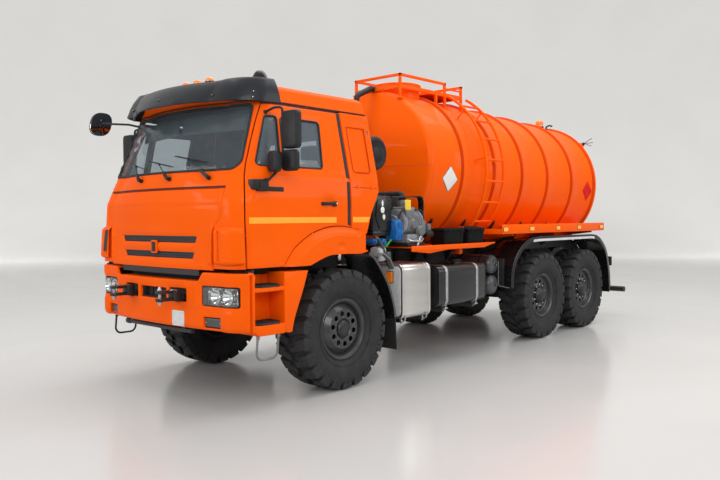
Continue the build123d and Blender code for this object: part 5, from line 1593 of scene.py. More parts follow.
def build_mirrors():
    for s, nm in ((1, "left"), (-1, "right")):
        g = Geo()
        tube(g, [(1.028, -0.866, 2.690), (1.160, -0.866, 2.718), (1.250, -0.850, 2.714), (1.250, -0.850, 2.190), (1.214, -1.010, 2.040)], 0.0115, 0.035, 14, 0, 6)
        rbox(g, 1.018, 1.052, -0.888, -0.846, 2.668, 2.706, 0.006, 3, 0)
        cyl(g, (1.250, -0.850, 2.47), (1.250, -0.850, 2.55), 0.020, 20, 0, 0.004)
        cyl(g, (1.250, -0.850, 2.20), (1.250, -0.850, 2.25), 0.020, 20, 0, 0.004)
        rbox(g, 1.246, 1.285, -0.864, -0.836, 2.485, 2.535, 0.006, 2, 0)
        # foot on the door: wedge with a sloped front
        prism(g, "y", [(1.170, 1.952), (1.234, 1.956), (1.234, 2.045), (1.222, 2.060), (1.170, 2.062)], -1.120, -1.000, 0.008, 3, 0)
        prism(g, "z", [(1.140, -1.165), (1.196, -1.150), (1.234, -1.125), (1.234, -1.10), (1.140, -1.10)], 1.968, 2.058, 0.006, 2, 0)
        cyl(g, (1.2145, -1.010, 2.020), (1.2145, -1.010, 2.072), 0.017, 18, 0, 0.004)
        mirror_shell(g, 1.262, 1.468, -0.882, -0.822, 2.335, 2.675, 0.040)
        mirror_shell(g, 1.258, 1.448, -0.884, -0.828, 2.135, 2.325, 0.045)
        mirror_shell(g, 1.190, 1.336, -0.992, -0.935, 2.125, 2.315, 0.048)
        rbox(g, 1.232, 1.262, -0.940, -0.846, 2.215, 2.243, 0.006, 2, 0)
        if s < 0:
            # front-view mirror on its arm
            tube(g, [(0.985, -0.925, 2.722), (1.10, -1.010, 2.755), (1.370, -1.180, 2.775)], 0.0115, 0.06, 12, 0, 6)
            rbox(g, 0.975, 1.012, -0.950, -0.908, 2.700, 2.745, 0.006, 3, 0)
            rings = []
            c = Vector((1.385, -1.185, 2.768))
            for k in range(9):
                a = math.pi / 2 * k / 8
                t = math.cos(a)
                ring = []
                for q in np.linspace(0, 2 * math.pi, 33)[:-1]:
                    cu, sv = math.cos(q), math.sin(q)
                    e = 0.78
                    u = 0.128 * math.copysign(abs(cu) ** e, cu) * (t ** 0.7 * 0.98 + 0.02)
                    v = 0.130 * math.copysign(abs(sv) ** e, sv) * (t ** 0.7 * 0.98 + 0.02)
                    ring.append((c.x + 0.048 * math.sin(a), c.y + u + 0.22 * v, c.z + v))
                rings.append(ring)
            loft(g, rings, 0)
            rings = [[(c.x - 0.004, c.y + (p[1] - c.y) * 0.93, c.z + (p[2] - c.z) * 0.93) for p in rings[0]],
                     [(c.x + 0.001, c.y + (p[1] - c.y) * 0.95, c.z + (p[2] - c.z) * 0.95) for p in rings[0]]]
            loft(g, rings, 1)
            g = g.mirrored()
        piece(nm + "_mirror_set", g, ["black_plastic", "mirror_face"], nm + "_door_body", [nm + "_mirrors"])


def cushion(x0, x1, y0, y1, z0, z1, puff, name, seams=(), n=14):
    # pillow grid: puffed faces, pinched seams
    g = Geo()
    rings = []
    b = bmesh.new()
    bmesh.ops.create_cube(b, size=2)
    bmesh.ops.subdivide_edges(b, edges=b.edges[:], cuts=n, use_grid_fill=True)
    sx, sy, sz = (x1 - x0) / 2, (y1 - y0) / 2, (z1 - z0) / 2
    mn = min(sx, sy, sz)
    for v in b.verts:
        p = v.co
        # superellipsoid with soft corners
        q = Vector((abs(p.x), abs(p.y), abs(p.z)))
        k = 7.0
        l = (q.x**k + q.y**k + q.z**k) ** (1 / k)
        u = p / l
        bulge = 1.0
        w = Vector((u.x * sx, u.y * sy, u.z * sz))
        for axis, other in (("x", ("y", "z")), ("y", ("x", "z")), ("z", ("x", "y"))):
            o1, o2 = (getattr(u, a) for a in other)
            f = max(0.0, (1 - o1 * o1)) * max(0.0, (1 - o2 * o2))
            setattr(w, axis, getattr(w, axis) + math.copysign(puff * f, getattr(u, axis)) * abs(getattr(u, axis)) ** 3)
        for ax, at_, dep in seams:
            c = getattr(u, ax)
            d = abs(c - at_)
            if d < 0.12:
                w *= 1 - dep * (1 - d / 0.12) ** 2
        v.co = Vector(((x0 + x1) / 2, (y0 + y1) / 2, (z0 + z1) / 2)) + w
    g.bm(b, 0)
    return g


def build_interior():
    for x, nm in ((0.62, "driver"), (-0.62, "passenger")):
        mat = "fabric"
        c1 = cushion(x - 0.235, x + 0.235, -0.415, 0.075, 1.610, 1.725, 0.014, nm, seams=(("x", 0.55, 0.05), ("x", -0.55, 0.05), ("y", 0.3, 0.02)))
        o = piece(nm + "_seat_cushion", c1, [mat], "cab", ["seats"] if nm == "driver" else ())
        c2 = cushion(x - 0.225, x + 0.225, 0.052, 0.150, 1.745, 2.285, 0.014, nm, seams=(("x", 0.55, 0.04), ("x", -0.55, 0.04), ("z", 0.0, 0.02)))
        o = piece(nm + "_seat_back", c2, [mat], "cab")
        c3 = cushion(x - 0.125, x + 0.125, 0.066, 0.134, 2.305, 2.470, 0.008, nm)
        o = piece(nm + "_head_rest", c3, [mat], "cab")
        g = Geo()
        rbox(g, x - 0.13, x + 0.13, -0.30, 0.00, 1.412, 1.600, 0.015, 2, 0)
        for d in (-0.05, 0.05):
            cyl(g, (x + d, 0.10, 2.27), (x + d, 0.10, 2.33), 0.007, 10, 1, 0.001)
        piece(nm + "_seat_base", g, ["dash_dark", "chrome"], "cab")
    c = cushion(-0.22, 0.22, -0.145, 0.145, 1.524, 1.632, 0.010, "mid", seams=(("x", 0.0, 0.03),))
    o = piece("middle_cushion", c, ["fabric"], "cab")
    g = Geo()
    # dashboard with a binnacle, wheel and column
    out = rpoly([(-1.160, 1.722), (-1.160, 2.050), (-1.060, 2.066), (-0.985, 2.052), (-0.850, 1.962), (-0.846, 1.790), (-0.90, 1.74)], 0.02, 4)
    prism(g, "x", out, -1.010, 1.010, 0.008, 2, 0)
    prism(g, "x", rpoly([(-1.03, 2.03), (-1.03, 2.092), (-0.99, 2.110), (-0.90, 2.060), (-0.87, 1.97)], 0.015, 4), 0.40, 0.84, 0.008, 2, 0)
    for k in range(4):
        cyl(g, (0.49 + 0.085 * k, -0.900, 2.015), (0.49 + 0.085 * k, -0.888, 2.008), 0.032, 24, 1, 0.002)
    for k in range(6):
        rbox(g, -0.36 + 0.07 * k, -0.31 + 0.07 * k, -0.852, -0.842, 1.86, 1.93, 0.003, 1, 1)
    tube(g, [(0.62, -0.93, 1.88), (0.62, -0.70, 2.004)], 0.028, 0, 14, 0)
    cc = Vector((0.62, -0.690, 2.010))
    d = Vector((0, 0.885, 0.466)).normalized()
    u, w = Vector((1, 0, 0)), d.cross(Vector((1, 0, 0)))
    ring = [cc + u * (0.225 * math.cos(a)) + w * (0.225 * math.sin(a)) for a in np.linspace(0, 2 * math.pi, 49)[:-1]]
    sweep_ring(g, ring, [(0.015 * math.cos(a), 0.015 * math.sin(a)) for a in np.linspace(0, 2 * math.pi, 11)[:-1]], 0, closed=True)
    for a in (0.2, math.pi - 0.2, -math.pi / 2):
        sweep_ring(g, [cc, cc + u * (0.22 * math.cos(a)) + w * (0.22 * math.sin(a))], [(0.006, 0.018), (-0.006, 0.018), (-0.006, -0.018), (0.006, -0.018)], 0, up=tuple(d))
    lathe(g, cc - d * 0.02, d, [(0, 0), (0, 0.06), (0.02, 0.062), (0.03, 0.05), (0.033, 0)], 28, 0)
    piece("dash", g, ["dash_dark", "black_gloss"], "cab", ["dashboard"])
    # floor, engine cover, headliner, sun shades, bulkhead
    g = Geo()
    rbox(g, -1.14, 1.14, -1.185, 0.30, 1.378, 1.408, 0.004, 1, 0)
    rbox(g, -0.33, 0.33, -0.90, 0.295, 1.406, 1.518, 0.03, 3, 0)
    rbox(g, -1.08, 1.08, -1.165, -1.150, 1.40, 1.90, 0.004, 1, 0)
    rbox(g, -0.70, 0.70, -1.27, -1.15, 1.99, 2.02, 0.004, 1, 0)
    # back trim
    prism(g, "x", [(0.285, 1.56), (0.495, 1.98), (0.495, 2.18), (0.480, 2.18), (0.478, 1.98), (0.27, 1.56)], -1.12, 1.12, 0.003, 1, 1)
    prism(g, "x", [(0.495, 2.62), (0.495, 2.77), (0.480, 2.77), (0.480, 2.62)], -1.05, 1.05, 0.003, 1, 1)
    for x0, x1 in ((-1.09, -0.57), (0.57, 1.09)):
        rbox(g, x0, x1, 0.480, 0.495, 2.17, 2.63, 0.004, 1, 1)
    piece("cab_floor_trim", g, ["dash_dark", "cab_grey"], "cab")
    g = Geo()
    rings = [inset_ring(1.041, -1.121, -1.011, -0.802, 0.37, 0.53, 2.775, 0.05), inset_ring(1.017, -1.086, -0.972, -0.772, 0.36, 0.515, 2.86, 0.06),
             inset_ring(0.915, -1.00, -0.90, -0.72, 0.32, 0.44, 2.925, 0.06)]
    loft(g, rings, 0)
    piece("headliner", g, ["headliner"], "cab")
    # sun shades hanging inside the screen top
    g = Geo()
    for x0, x1 in ((-0.92, -0.03), (0.03, 0.92)):
        def fs(A):
            P, Nn = FRONT(A)
            return P - Nn * (0.07 + 0.05 * ((2.745 - A[:, 1]) / 0.17))[:, None], Nn
        lp = rpoly([(x0, 2.575), (x1, 2.575), (x1, 2.735), (x0, 2.735)], 0.03, 4)
        skin(g, fs, [fx(a, b) for a, b in lp], mat=0, spacing=0.06, r=0.004, thick=0.010)
    piece("sun_shades", g, ["dash_dark"], "cab")


build_liners()
build_roof()
build_visor()
build_bumper()
build_lamps()
build_steps()
build_forks()
build_wipers()
build_mirrors()
build_interior()


# ------------------------------------------------------------------- wheels
# (distance out from the tyre's middle, radius) of the outer half, bead to tread edge
TY = [(0.132, 0.262), (0.140, 0.270), (0.143, 0.284), (0.140, 0.296), (0.150, 0.312), (0.166, 0.332), (0.181, 0.352), (0.196, 0.383), (0.206, 0.415),
      (0.211, 0.445), (0.212, 0.475), (0.210, 0.505), (0.205, 0.530), (0.199, 0.547), (0.190, 0.557), (0.178, 0.563), (0.150, 0.567), (0.100, 0.570), (0.050, 0.572), (0.0, 0.573)]


def tyre_geo(flip):
    g = Geo()
    prof = list(TY)
    # thin moulded rings on the sidewall
    out = []
    for d, r in prof:
        out.append((d, r))
    full = out + [(-d, r) for d, r in reversed(out[:-1])]
    lathe(g, (0, 0, 0), (1, 0, 0), full + [full[0]], 128, 0)
    for r0, dd in ((0.322, 0.1585), (0.372, 0.193), (0.520, 0.2075)):
        for sgn in (1, -1):
            pr = [(sgn * (dd + 0.0025 * math.sin(a) + (0.002 if r0 < 0.4 else 0.0)), r0 + 0.004 * math.cos(a)) for a in np.linspace(0, 2 * math.pi, 9)]
            lathe(g, (0, 0, 0), (1, 0, 0), pr, 96, 0)
    # chunky directional lugs: two alternating rows each side, bent bars down over the shoulder
    N = 22

    def lug(a0, side, long):
        rows = []
        if long:
            path = [(0.012, 0.0), (0.055, 0.030), (0.100, 0.052), (0.150, 0.072), (0.183, 0.080), (0.199, 0.084)]
        else:
            path = [(0.078, -0.018), (0.120, 0.004), (0.160, 0.018), (0.188, 0.024), (0.200, 0.026)]
        n = len(path)
        for k, (x, da) in enumerate(path):
            t = k / (n - 1)
            last = x >= 0.195
            # outer surface radius falls at the shoulder
            top = 0.604 - 0.004 * (x / 0.2) ** 2
            if x > 0.165:
                top -= (x - 0.165) * 0.32
            base = float(np.interp(x, [0, 0.10, 0.15, 0.178, 0.190, 0.199], [0.571, 0.569, 0.565, 0.560, 0.552, 0.543]))
            if last:
                top = 0.592
                base = 0.538
            w = (0.030 if long else 0.026) + 0.010 * t
            cx = x
            bev = 0.005
            xs = 0.014 if last else 0.0
            ang = a0 + da
            rows.append((cx, xs, base, top, w, bev, ang))
        rings = []
        for cx, xs, base, top, w, bev, ang in rows:
            ring = []
            for r, hw, dx in ((base, w + 0.004, xs * 0.9), (top - bev, w, xs * 0.35), (top, w - bev, 0.0), (top, -(w - bev), 0.0), (top - bev, -w, xs * 0.35), (base, -(w + 0.004), xs * 0.9)):
                da = hw / r
                aa = (ang + da) * flip
                ring.append((side * (cx + dx), r * math.sin(aa), r * math.cos(aa)))
            rings.append(ring)
        loft(g, rings, 1)
    for i in range(N):
        a = 2 * math.pi * i / N
        lug(a, 1, True)
        lug(a + math.pi / N, 1, False)
        lug(a + math.pi / N, -1, True)
        lug(a, -1, False)
    # shoulder blocks on the sidewall below every lug
    for i in range(2 * N):
        a = math.pi * i / N + (0.083 if i % 2 == 0 else 0.028)
        for side in (1, -1):
            off = 0.0 if side > 0 else math.pi / N * 1.0
            aa0 = (a + off)
            rings = []
            for x, r, hw in ((0.2075, 0.500 if i % 2 else 0.512, 0.014), (0.2095, 0.520, 0.020), (0.207, 0.545, 0.024), (0.196, 0.562, 0.024)):
                ring = []
                for dx, w in ((-0.010, hw), (0.004, hw * 0.8), (0.004, -hw * 0.8), (-0.010, -hw)):
                    q = (aa0 + w / r) * flip
                    ring.append((side * (x + dx), r * math.sin(q), r * math.cos(q)))
                rings.append(ring)
            loft(g, rings, 1)
    return g


def rim_geo(front):
    g = Geo()
    # barrel with bead flanges, inside and outside skins
    pr = [(0.156, 0.300), (0.160, 0.306), (0.156, 0.311), (0.148, 0.306), (0.140, 0.290), (0.132, 0.272), (0.120, 0.266), (0.04, 0.262), (-0.04, 0.262), (-0.120, 0.266),
          (-0.132, 0.272), (-0.140, 0.290), (-0.148, 0.306), (-0.156, 0.311), (-0.160, 0.306), (-0.154, 0.292), (-0.144, 0.268), (-0.120, 0.256), (0.10, 0.254),
          (0.118, 0.258), (0.132, 0.266), (0.142, 0.280), (0.150, 0.292), (0.156, 0.300)]
    lathe(g, (0, 0, 0), (1, 0, 0), pr, 96, 0)
    # lock ring at the outer bead
    pr = [(0.138 + 0.007 * math.cos(a), 0.283 + 0.007 * math.sin(a)) for a in np.linspace(0, 2 * math.pi, 11)]
    lathe(g, (0, 0, 0), (1, 0, 0), pr, 96, 0)
    d0 = 0.144 if front else 0.086
    # disc as a dished sheet with ten real holes
    nseg, hole_r, hole_c, H = 120, 0.0265, (0.152 if front else 0.192), 10
    if front:
        prof = [(0.256, d0 - 0.040), (0.226, d0 - 0.012), (0.206, d0 + 0.006), (0.199, d0 + 0.013), (0.108, d0 + 0.013), (0.104, d0 + 0.013), (0.096, d0 + 0.004), (0.090, d0 - 0.002), (0.080, d0 - 0.002)]
    else:
        prof = [(0.256, d0 + 0.030), (0.250, d0 + 0.012), (0.238, d0 + 0.004), (0.226, d0 + 0.008), (0.150, d0 + 0.008), (0.142, d0 + 0.008), (0.134, d0 + 0.004), (0.118, d0 + 0.002), (0.100, d0 + 0.002)]
    # outer and inner annuli by lathe, band between r=.228/.226 and .150 made with holes
    for sgn, off in ((1, 0.0), (-1, -0.010)):
        lathe(g, (0, 0, 0), (1, 0, 0), [(d + off, r) for r, d in prof[:4]], nseg, 0)
        lathe(g, (0, 0, 0), (1, 0, 0), [(d + off, r) for r, d in prof[4:]], nseg, 0)
        dd = prof[4][1] + off
        r_o, r_i = prof[3][0], prof[4][0]
        per = nseg // H
        for h in range(H):
            a_c = 2 * math.pi * (h + 0.5) / H
            # ring of the hole, matched to a box of the sector
            cx, cz = hole_c * math.cos(a_c), hole_c * math.sin(a_c)
            sector = []
            for i in range(per + 1):
                a = a_c - math.pi / H + 2 * math.pi / H * i / per
                sector.append((r_o * math.cos(a), r_o * math.sin(a)))
            a1 = a_c + math.pi / H
            for t in (0.75, 0.5, 0.25):
                rr = r_i + (r_o - r_i) * t
                sector.append((rr * math.cos(a1), rr * math.sin(a1)))
            for i in range(per, -1, -1):
                a = a_c - math.pi / H + 2 * math.pi / H * i / per
                sector.append((r_i * math.cos(a), r_i * math.sin(a)))
            a0 = a_c - math.pi / H
            for t in (0.25, 0.5, 0.75):
                rr = r_i + (r_o - r_i) * t
                sector.append((rr * math.cos(a0), rr * math.sin(a0)))
            hr = []
            for p in sector:
                v = (p[0] - cx, p[1] - cz)
                l = math.hypot(*v)
                hr.append((cx + v[0] / l * hole_r, cz + v[1] / l * hole_r))
            mid = []
            for p in sector:
                v = (p[0] - cx, p[1] - cz)
                l = math.hypot(*v)
                mid.append((cx + v[0] / l * (hole_r + 0.0045), cz + v[1] / l * (hole_r + 0.0045)))
            n = len(sector)
            vs = [(dd, p[0], p[1]) for p in sector] + [(dd, p[0], p[1]) for p in mid] + [(dd - 0.003 * sgn, p[0], p[1]) for p in hr]
            fs = []
            for i in range(n):
                j = (i + 1) % n
                for b in (0, n):
                    f = (b + i, b + j, b + n + j, b + n + i)
                    fs.append(f if sgn < 0 else f[::-1])
            g.add(vs, fs, 0)
            if sgn > 0:
                vs = [(dd - 0.003, p[0], p[1]) for p in hr] + [(dd - 0.007, p[0], p[1]) for p in hr]
                g.add(vs, [(i, n + i, n + (i + 1) % n, (i + 1) % n) for i in range(n)], 0)
    # nuts on their ring and the hub
    if front:
        bolt_r, nb, top = 0.1675, 10, d0 + 0.013
        lathe(g, (0, 0, 0), (1, 0, 0), [(d0 - 0.06, 0.086), (d0 + 0.014, 0.085), (d0 + 0.018, 0.082), (d0 + 0.021, 0.076), (d0 + 0.026, 0.072), (d0 + 0.031, 0.064), (d0 + 0.033, 0.052), (d0 + 0.033, 0.0)], 64, 1)
        for i in range(8):
            a = 2 * math.pi * i / 8
            c = Vector((d0 + 0.030, 0.054 * math.cos(a), 0.054 * math.sin(a)))
            cyl(g, c, c + Vector((0.0070, 0, 0)), 0.0060, 6, 1, 0.001)
        for i in range(10):
            a = 2 * math.pi * i / 10
            c = Vector((d0 + 0.012, 0.1800 * math.cos(a), 0.1800 * math.sin(a)))
            cyl(g, c, c + Vector((0.006, 0, 0)), 0.0055, 6, 1, 0.001)
    else:
        lathe(g, (0, 0, 0), (1, 0, 0), [(d0 - 0.02, 0.120), (d0 + 0.028, 0.118), (d0 + 0.038, 0.113), (d0 + 0.044, 0.106), (d0 + 0.060, 0.098), (d0 + 0.076, 0.080), (d0 + 0.086, 0.050), (d0 + 0.090, 0.0)], 64, 1)
        for i in range(10):
            a = 2 * math.pi * i / 10
            c = Vector((d0 + 0.006, 0.1500 * math.cos(a), 0.1500 * math.sin(a)))
            cyl(g, c, c + Vector((0.024, 0, 0)), 0.0135, 6, 2, 0.002)
            cyl(g, c + Vector((0.022, 0, 0)), c + Vector((0.032, 0, 0)), 0.007, 12, 2, 0.002)
        for i in range(8):
            a = 2 * math.pi * i / 8
            c = Vector((0.1195, 0.064 * math.cos(a), 0.064 * math.sin(a)))
            cyl(g, c, c + Vector((0.0115, 0, 0)), 0.0075, 6, 1, 0.001)
    # valve stem
    if front:
        tube(g, [(0.100, 0.240, 0.02), (0.125, 0.236, 0.02), (0.142, 0.228, 0.02)], 0.0045, 0.01, 8, 2)
    # brake drum seen through the holes
    lathe(g, (0, 0, 0), (1, 0, 0), [(-0.125, 0.0), (-0.125, 0.205), (-0.118, 0.214), (d0 - 0.060, 0.214), (d0 - 0.054, 0.208), (d0 - 0.054, 0.0)], 72, 3)
    return g


TY_L = tyre_geo(1)
RIMF, RIMR = rim_geo(True), rim_geo(False)
TILT = {"front": 0.12, "middle": 0.35, "rear": 0.05}
for pos, yy in (("front", 0.0), ("middle", 4.10), ("rear", 5.42)):
    for s, nm in ((1, "left"), (-1, "right")):
        c = Vector((s * 1.025, yy, 0.605))
        spin = Matrix.Rotation(TILT[pos] + (0.2 if s < 0 else 0.0), 4, "X")
        w = pos + "_" + nm
        g = (TY_L if s > 0 else TY_L.mirrored()).moved(Matrix.Translation(c) @ spin)
        piece(w + "_tyre_tread", g, ["tyre", "tread"], w + "_wheel", [w + "_tyre"], angle=32, recalc=True)
        g = RIMF if pos == "front" else RIMR
        if s < 0:
            g = g.mirrored()
        g = g.moved(Matrix.Translation(c) @ spin)
        piece(w + "_rim_disc", g, ["rim_dark", "steel_black", "chrome" if pos != "front" else "steel_black", "under_black"], w + "_wheel", [w + "_rim"], angle=35, recalc=True)


# --------------------------------------------------------------------- tank
TAX = Vector((0, 1, -0.028)).normalized()
TORG = Vector((0, 2.0, 2.340))


def tz(y):
    return 2.340 - 0.028 * (y - 2.0)


def tpt(y, deg, r):
    a = math.radians(deg)
    return Vector((r * math.cos(a), y, tz(y) + r * math.sin(a)))


def tank_surf(A):
    y, s = A[:, 0], A[:, 1]
    R = 0.985
    P = np.stack([R * np.cos(s / R), y, 2.340 - 0.028 * (y - 2.0) + R * np.sin(s / R)], 1)
    return P, np.stack([np.cos(s / R), 0 * y, np.sin(s / R)], 1)


def head_profile(y_edge, sgn):
    R, k = 0.985, 0.072
    pts = []
    rd = (R - k + k * math.cos(math.radians(70))) / math.sin(math.radians(20))
    depth = k * math.sin(math.radians(70)) + rd * (1 - math.cos(math.radians(20)))
    for i in range(15):
        a = math.radians(20) * i / 14
        pts.append((-depth + rd * (1 - math.cos(a)), rd * math.sin(a)))
    for i in range(1, 11):
        a = math.radians(70) * (1 - i / 10)
        pts.append((-k * math.sin(a), R - k + k * math.cos(a)))
    h = y_edge - 2.0
    return [(h - sgn * -d if sgn < 0 else h + d, r) if sgn > 0 else (h - d, r) for d, r in pts]


def build_tank():
    g = Geo()
    front = head_profile(1.790, 1)
    rear = head_profile(6.244, -1)
    prof = list(front)
    for y in (2.410, 3.150, 3.880, 4.615, 5.400, 6.200):
        h = y - 2.0
        if y > 6.1:
            prof += [(h - 0.050, 0.985), (h - 0.040, 0.990), (h - 0.030, 1.012), (h - 0.024, 1.0165), (h - 0.016, 1.018), (h + 0.016, 1.018), (h + 0.024, 1.0165), (h + 0.030, 1.012), (h + 0.038, 0.992), (h + 0.044, 0.985)]
        else:
            prof += [(h - 0.30, 0.985), (h - 0.050, 0.985), (h - 0.042, 0.989), (h - 0.030, 1.012), (h - 0.024, 1.0165), (h - 0.016, 1.018), (h, 1.018), (h + 0.016, 1.018), (h + 0.024, 1.0165), (h + 0.030, 1.012), (h + 0.042, 0.989), (h + 0.050, 0.985), (h + 0.30, 0.985)]
    prof += list(reversed(rear))[0 if rear[-1][0] > prof[-1][0] + 1e-4 else 1:]
    lathe(g, TORG, TAX, prof, 256, 0)
    # darker lead-in of every rib, in rib_shade: painted shade on the rib's front slope
    for y in (2.410, 3.150, 3.880, 4.615, 5.400, 6.200):
        h = y - 2.0
        ring = [(h - 0.0500, 0.9835), (h - 0.0440, 0.9900), (h - 0.0315, 1.0135), (h - 0.0255, 1.0186), (h - 0.0225, 1.0165), (h - 0.0400, 0.9835), (h - 0.0500, 0.9835)]
        lathe(g, TORG, TAX, ring, 256, 2)
    # raised weld beads at the front head joint, along the shell and across the front head
    # the front head-joint bead and the beads across the front head use the darker orange copy: painted shade
    for y in (1.792, 6.262):
        if y < 2:
            pr = [(y - 2.0 + 0.0035 * math.cos(a), 0.985 + 0.0035 * math.sin(a)) for a in np.linspace(0, 2 * math.pi, 7)]
            lathe(g, TORG, TAX, pr, 256, 1)
    for s in (1, -1):
        pts = []
        for h, r in front[2:-4]:
            c = TORG + TAX * h
            pts.append(c + Vector((s * r, 0, 0)) - TAX * 0.0005)
        sweep_ring(g, pts, [(0.0028 * math.cos(a), 0.0028 * math.sin(a)) for a in np.linspace(0, 2 * math.pi, 7)[:-1]], 1)
    for (y0, y1), deg in (((1.80, 2.36), 118), ((2.46, 3.10), 100), ((3.20, 3.83), 118), ((3.93, 4.565), 100), ((4.665, 5.35), 118), ((5.45, 6.15), 100)):
        for s in (1, -1):
            pts = [tpt(y, deg, 0.985) for y in np.linspace(y0, y1, 6)]
            if s < 0:
                pts = [tpt(y, -50, 0.985) for y in np.linspace(y0, y1, 6)]
            sweep_ring(g, pts, [(0.003 * math.cos(a), 0.003 * math.sin(a)) for a in np.linspace(0, 2 * math.pi, 7)[:-1]], 0)
    # hatch neck with its flange and hinge ears
    lathe(g, (0.120, 2.150, 3.16), (0, 0, 1), [(0, 0.300), (0.205, 0.300), (0.210, 0.304), (0.212, 0.322), (0.216, 0.328), (0.234, 0.328), (0.238, 0.324), (0.240, 0.318), (0.240, 0.270), (0.0, 0.268)], 96, 0)
    for a in range(8):
        q = math.radians(22.5 + 45 * a)
        c = Vector((0.120 + 0.310 * math.cos(q), 2.150 + 0.310 * math.sin(q), 3.36))
        cyl(g, c, c + Vector((0, 0, 0.030)), 0.010, 12, 0, 0.002)
    for x0, x1 in ((0.034, 0.052), (0.188, 0.206)):
        prism(g, "x", rpoly([(2.434, 3.295), (2.522, 3.295), (2.522, 3.400), (2.500, 3.430), (2.462, 3.430), (2.434, 3.37)], 0.012, 3), x0, x1, 0.002, 1, 0)
    piece("tank_shell", g, ["orange", "orange_shaded_copy", "rib_shade"], "chassis", ["tank"], angle=28)
    # hatch lid: dished, with a rim and a cross bar
    g = Geo()
    prof = [(3.401, 0.0), (3.401, 0.312), (3.403, 0.319), (3.420, 0.320), (3.425, 0.316), (3.427, 0.306), (3.431, 0.300), (3.446, 0.22), (3.452, 0.15), (3.454, 0.0)]
    lathe(g, (0.120, 2.150, 0), (0, 0, 1), prof, 96, 0)
    rbox(g, 0.062, 0.178, 2.43, 2.512, 3.402, 3.424, 0.004, 2, 0)
    tube(g, [(0.052, 2.475, 3.412), (0.188, 2.475, 3.412)], 0.008, 0, 14, 1)
    piece("hatch_cover", g, ["orange", "galv"], "manhole_lid_body", ["manhole_lid"], recalc=True)
    # blank placards
    for nm, y, z, m0, m1 in (("white_diamond", 2.138, 2.186, "steel_grey", "white"), ("red_diamond", 5.967, 2.128, "red", "red")):
        s0 = math.asin((z - tz(y)) / 0.985) * 0.985
        g = Geo()
        for half, mat, off in ((0.166, 0, 0.0025), (0.154, 1, 0.0045)):
            lp = rpoly([(y - half, s0), (y, s0 - half), (y + half, s0), (y, s0 + half)], 0.012, 4)
            skin(g, tank_surf, [tuple(p) for p in resample(lp, 0.03)], mat=mat, back=mat, spacing=0.035, r=0.0008, thick=0.003, disp=lambda A, off=off: np.full(len(A), off))
        piece(nm, g, [m0, m1], "chassis")


def build_ladder():
    g = Geo()
    zl = tz(2.9125)

    def P(deg, r, y):
        a = math.radians(deg)
        return Vector((r * math.cos(a), y, zl + r * math.sin(a)))
    for y in (2.707, 3.118):
        path = [P(a, 1.140, y) for a in np.linspace(-38, 61, 56)]
        ring = [(0.0195 * math.cos(a), 0.0195 * math.sin(a)) for a in np.linspace(0, 2 * math.pi, 17)[:-1]]
        sweep_ring(g, path, ring, 0, caps=True, up=(0, 1, 0))
        for a in (8, 45):
            near = 0.985 if y < 3.0 else 1.012
            d = P(a, 1.0, y) - P(a, 0.0, y)
            tube(g, [P(a, near - 0.004, y), P(a, 1.138, y)], 0.0095, 0, 12, 0)
            b = P(a, near + 0.002, y)
            # small foot plate on the shell
            cyl(g, P(a, near - 0.004, y), P(a, near + 0.006, y), 0.030, 20, 0, 0.002)
    for a in (-35, -21, -7, 7, 21, 35, 49):
        tube(g, [P(a, 1.140, 2.705), P(a, 1.140, 3.120)], 0.0140, 0, 14, 0)
        for y in (2.722, 3.103):
            pr = [(-0.004, 0.0140), (-0.002, 0.0175), (0.002, 0.0175), (0.004, 0.0140)]
            lathe(g, P(a, 1.140, y), (0, 1, 0), pr, 14, 0)
    piece("side_ladder", g, ["orange"], "chassis", ["ladder"], angle=50)


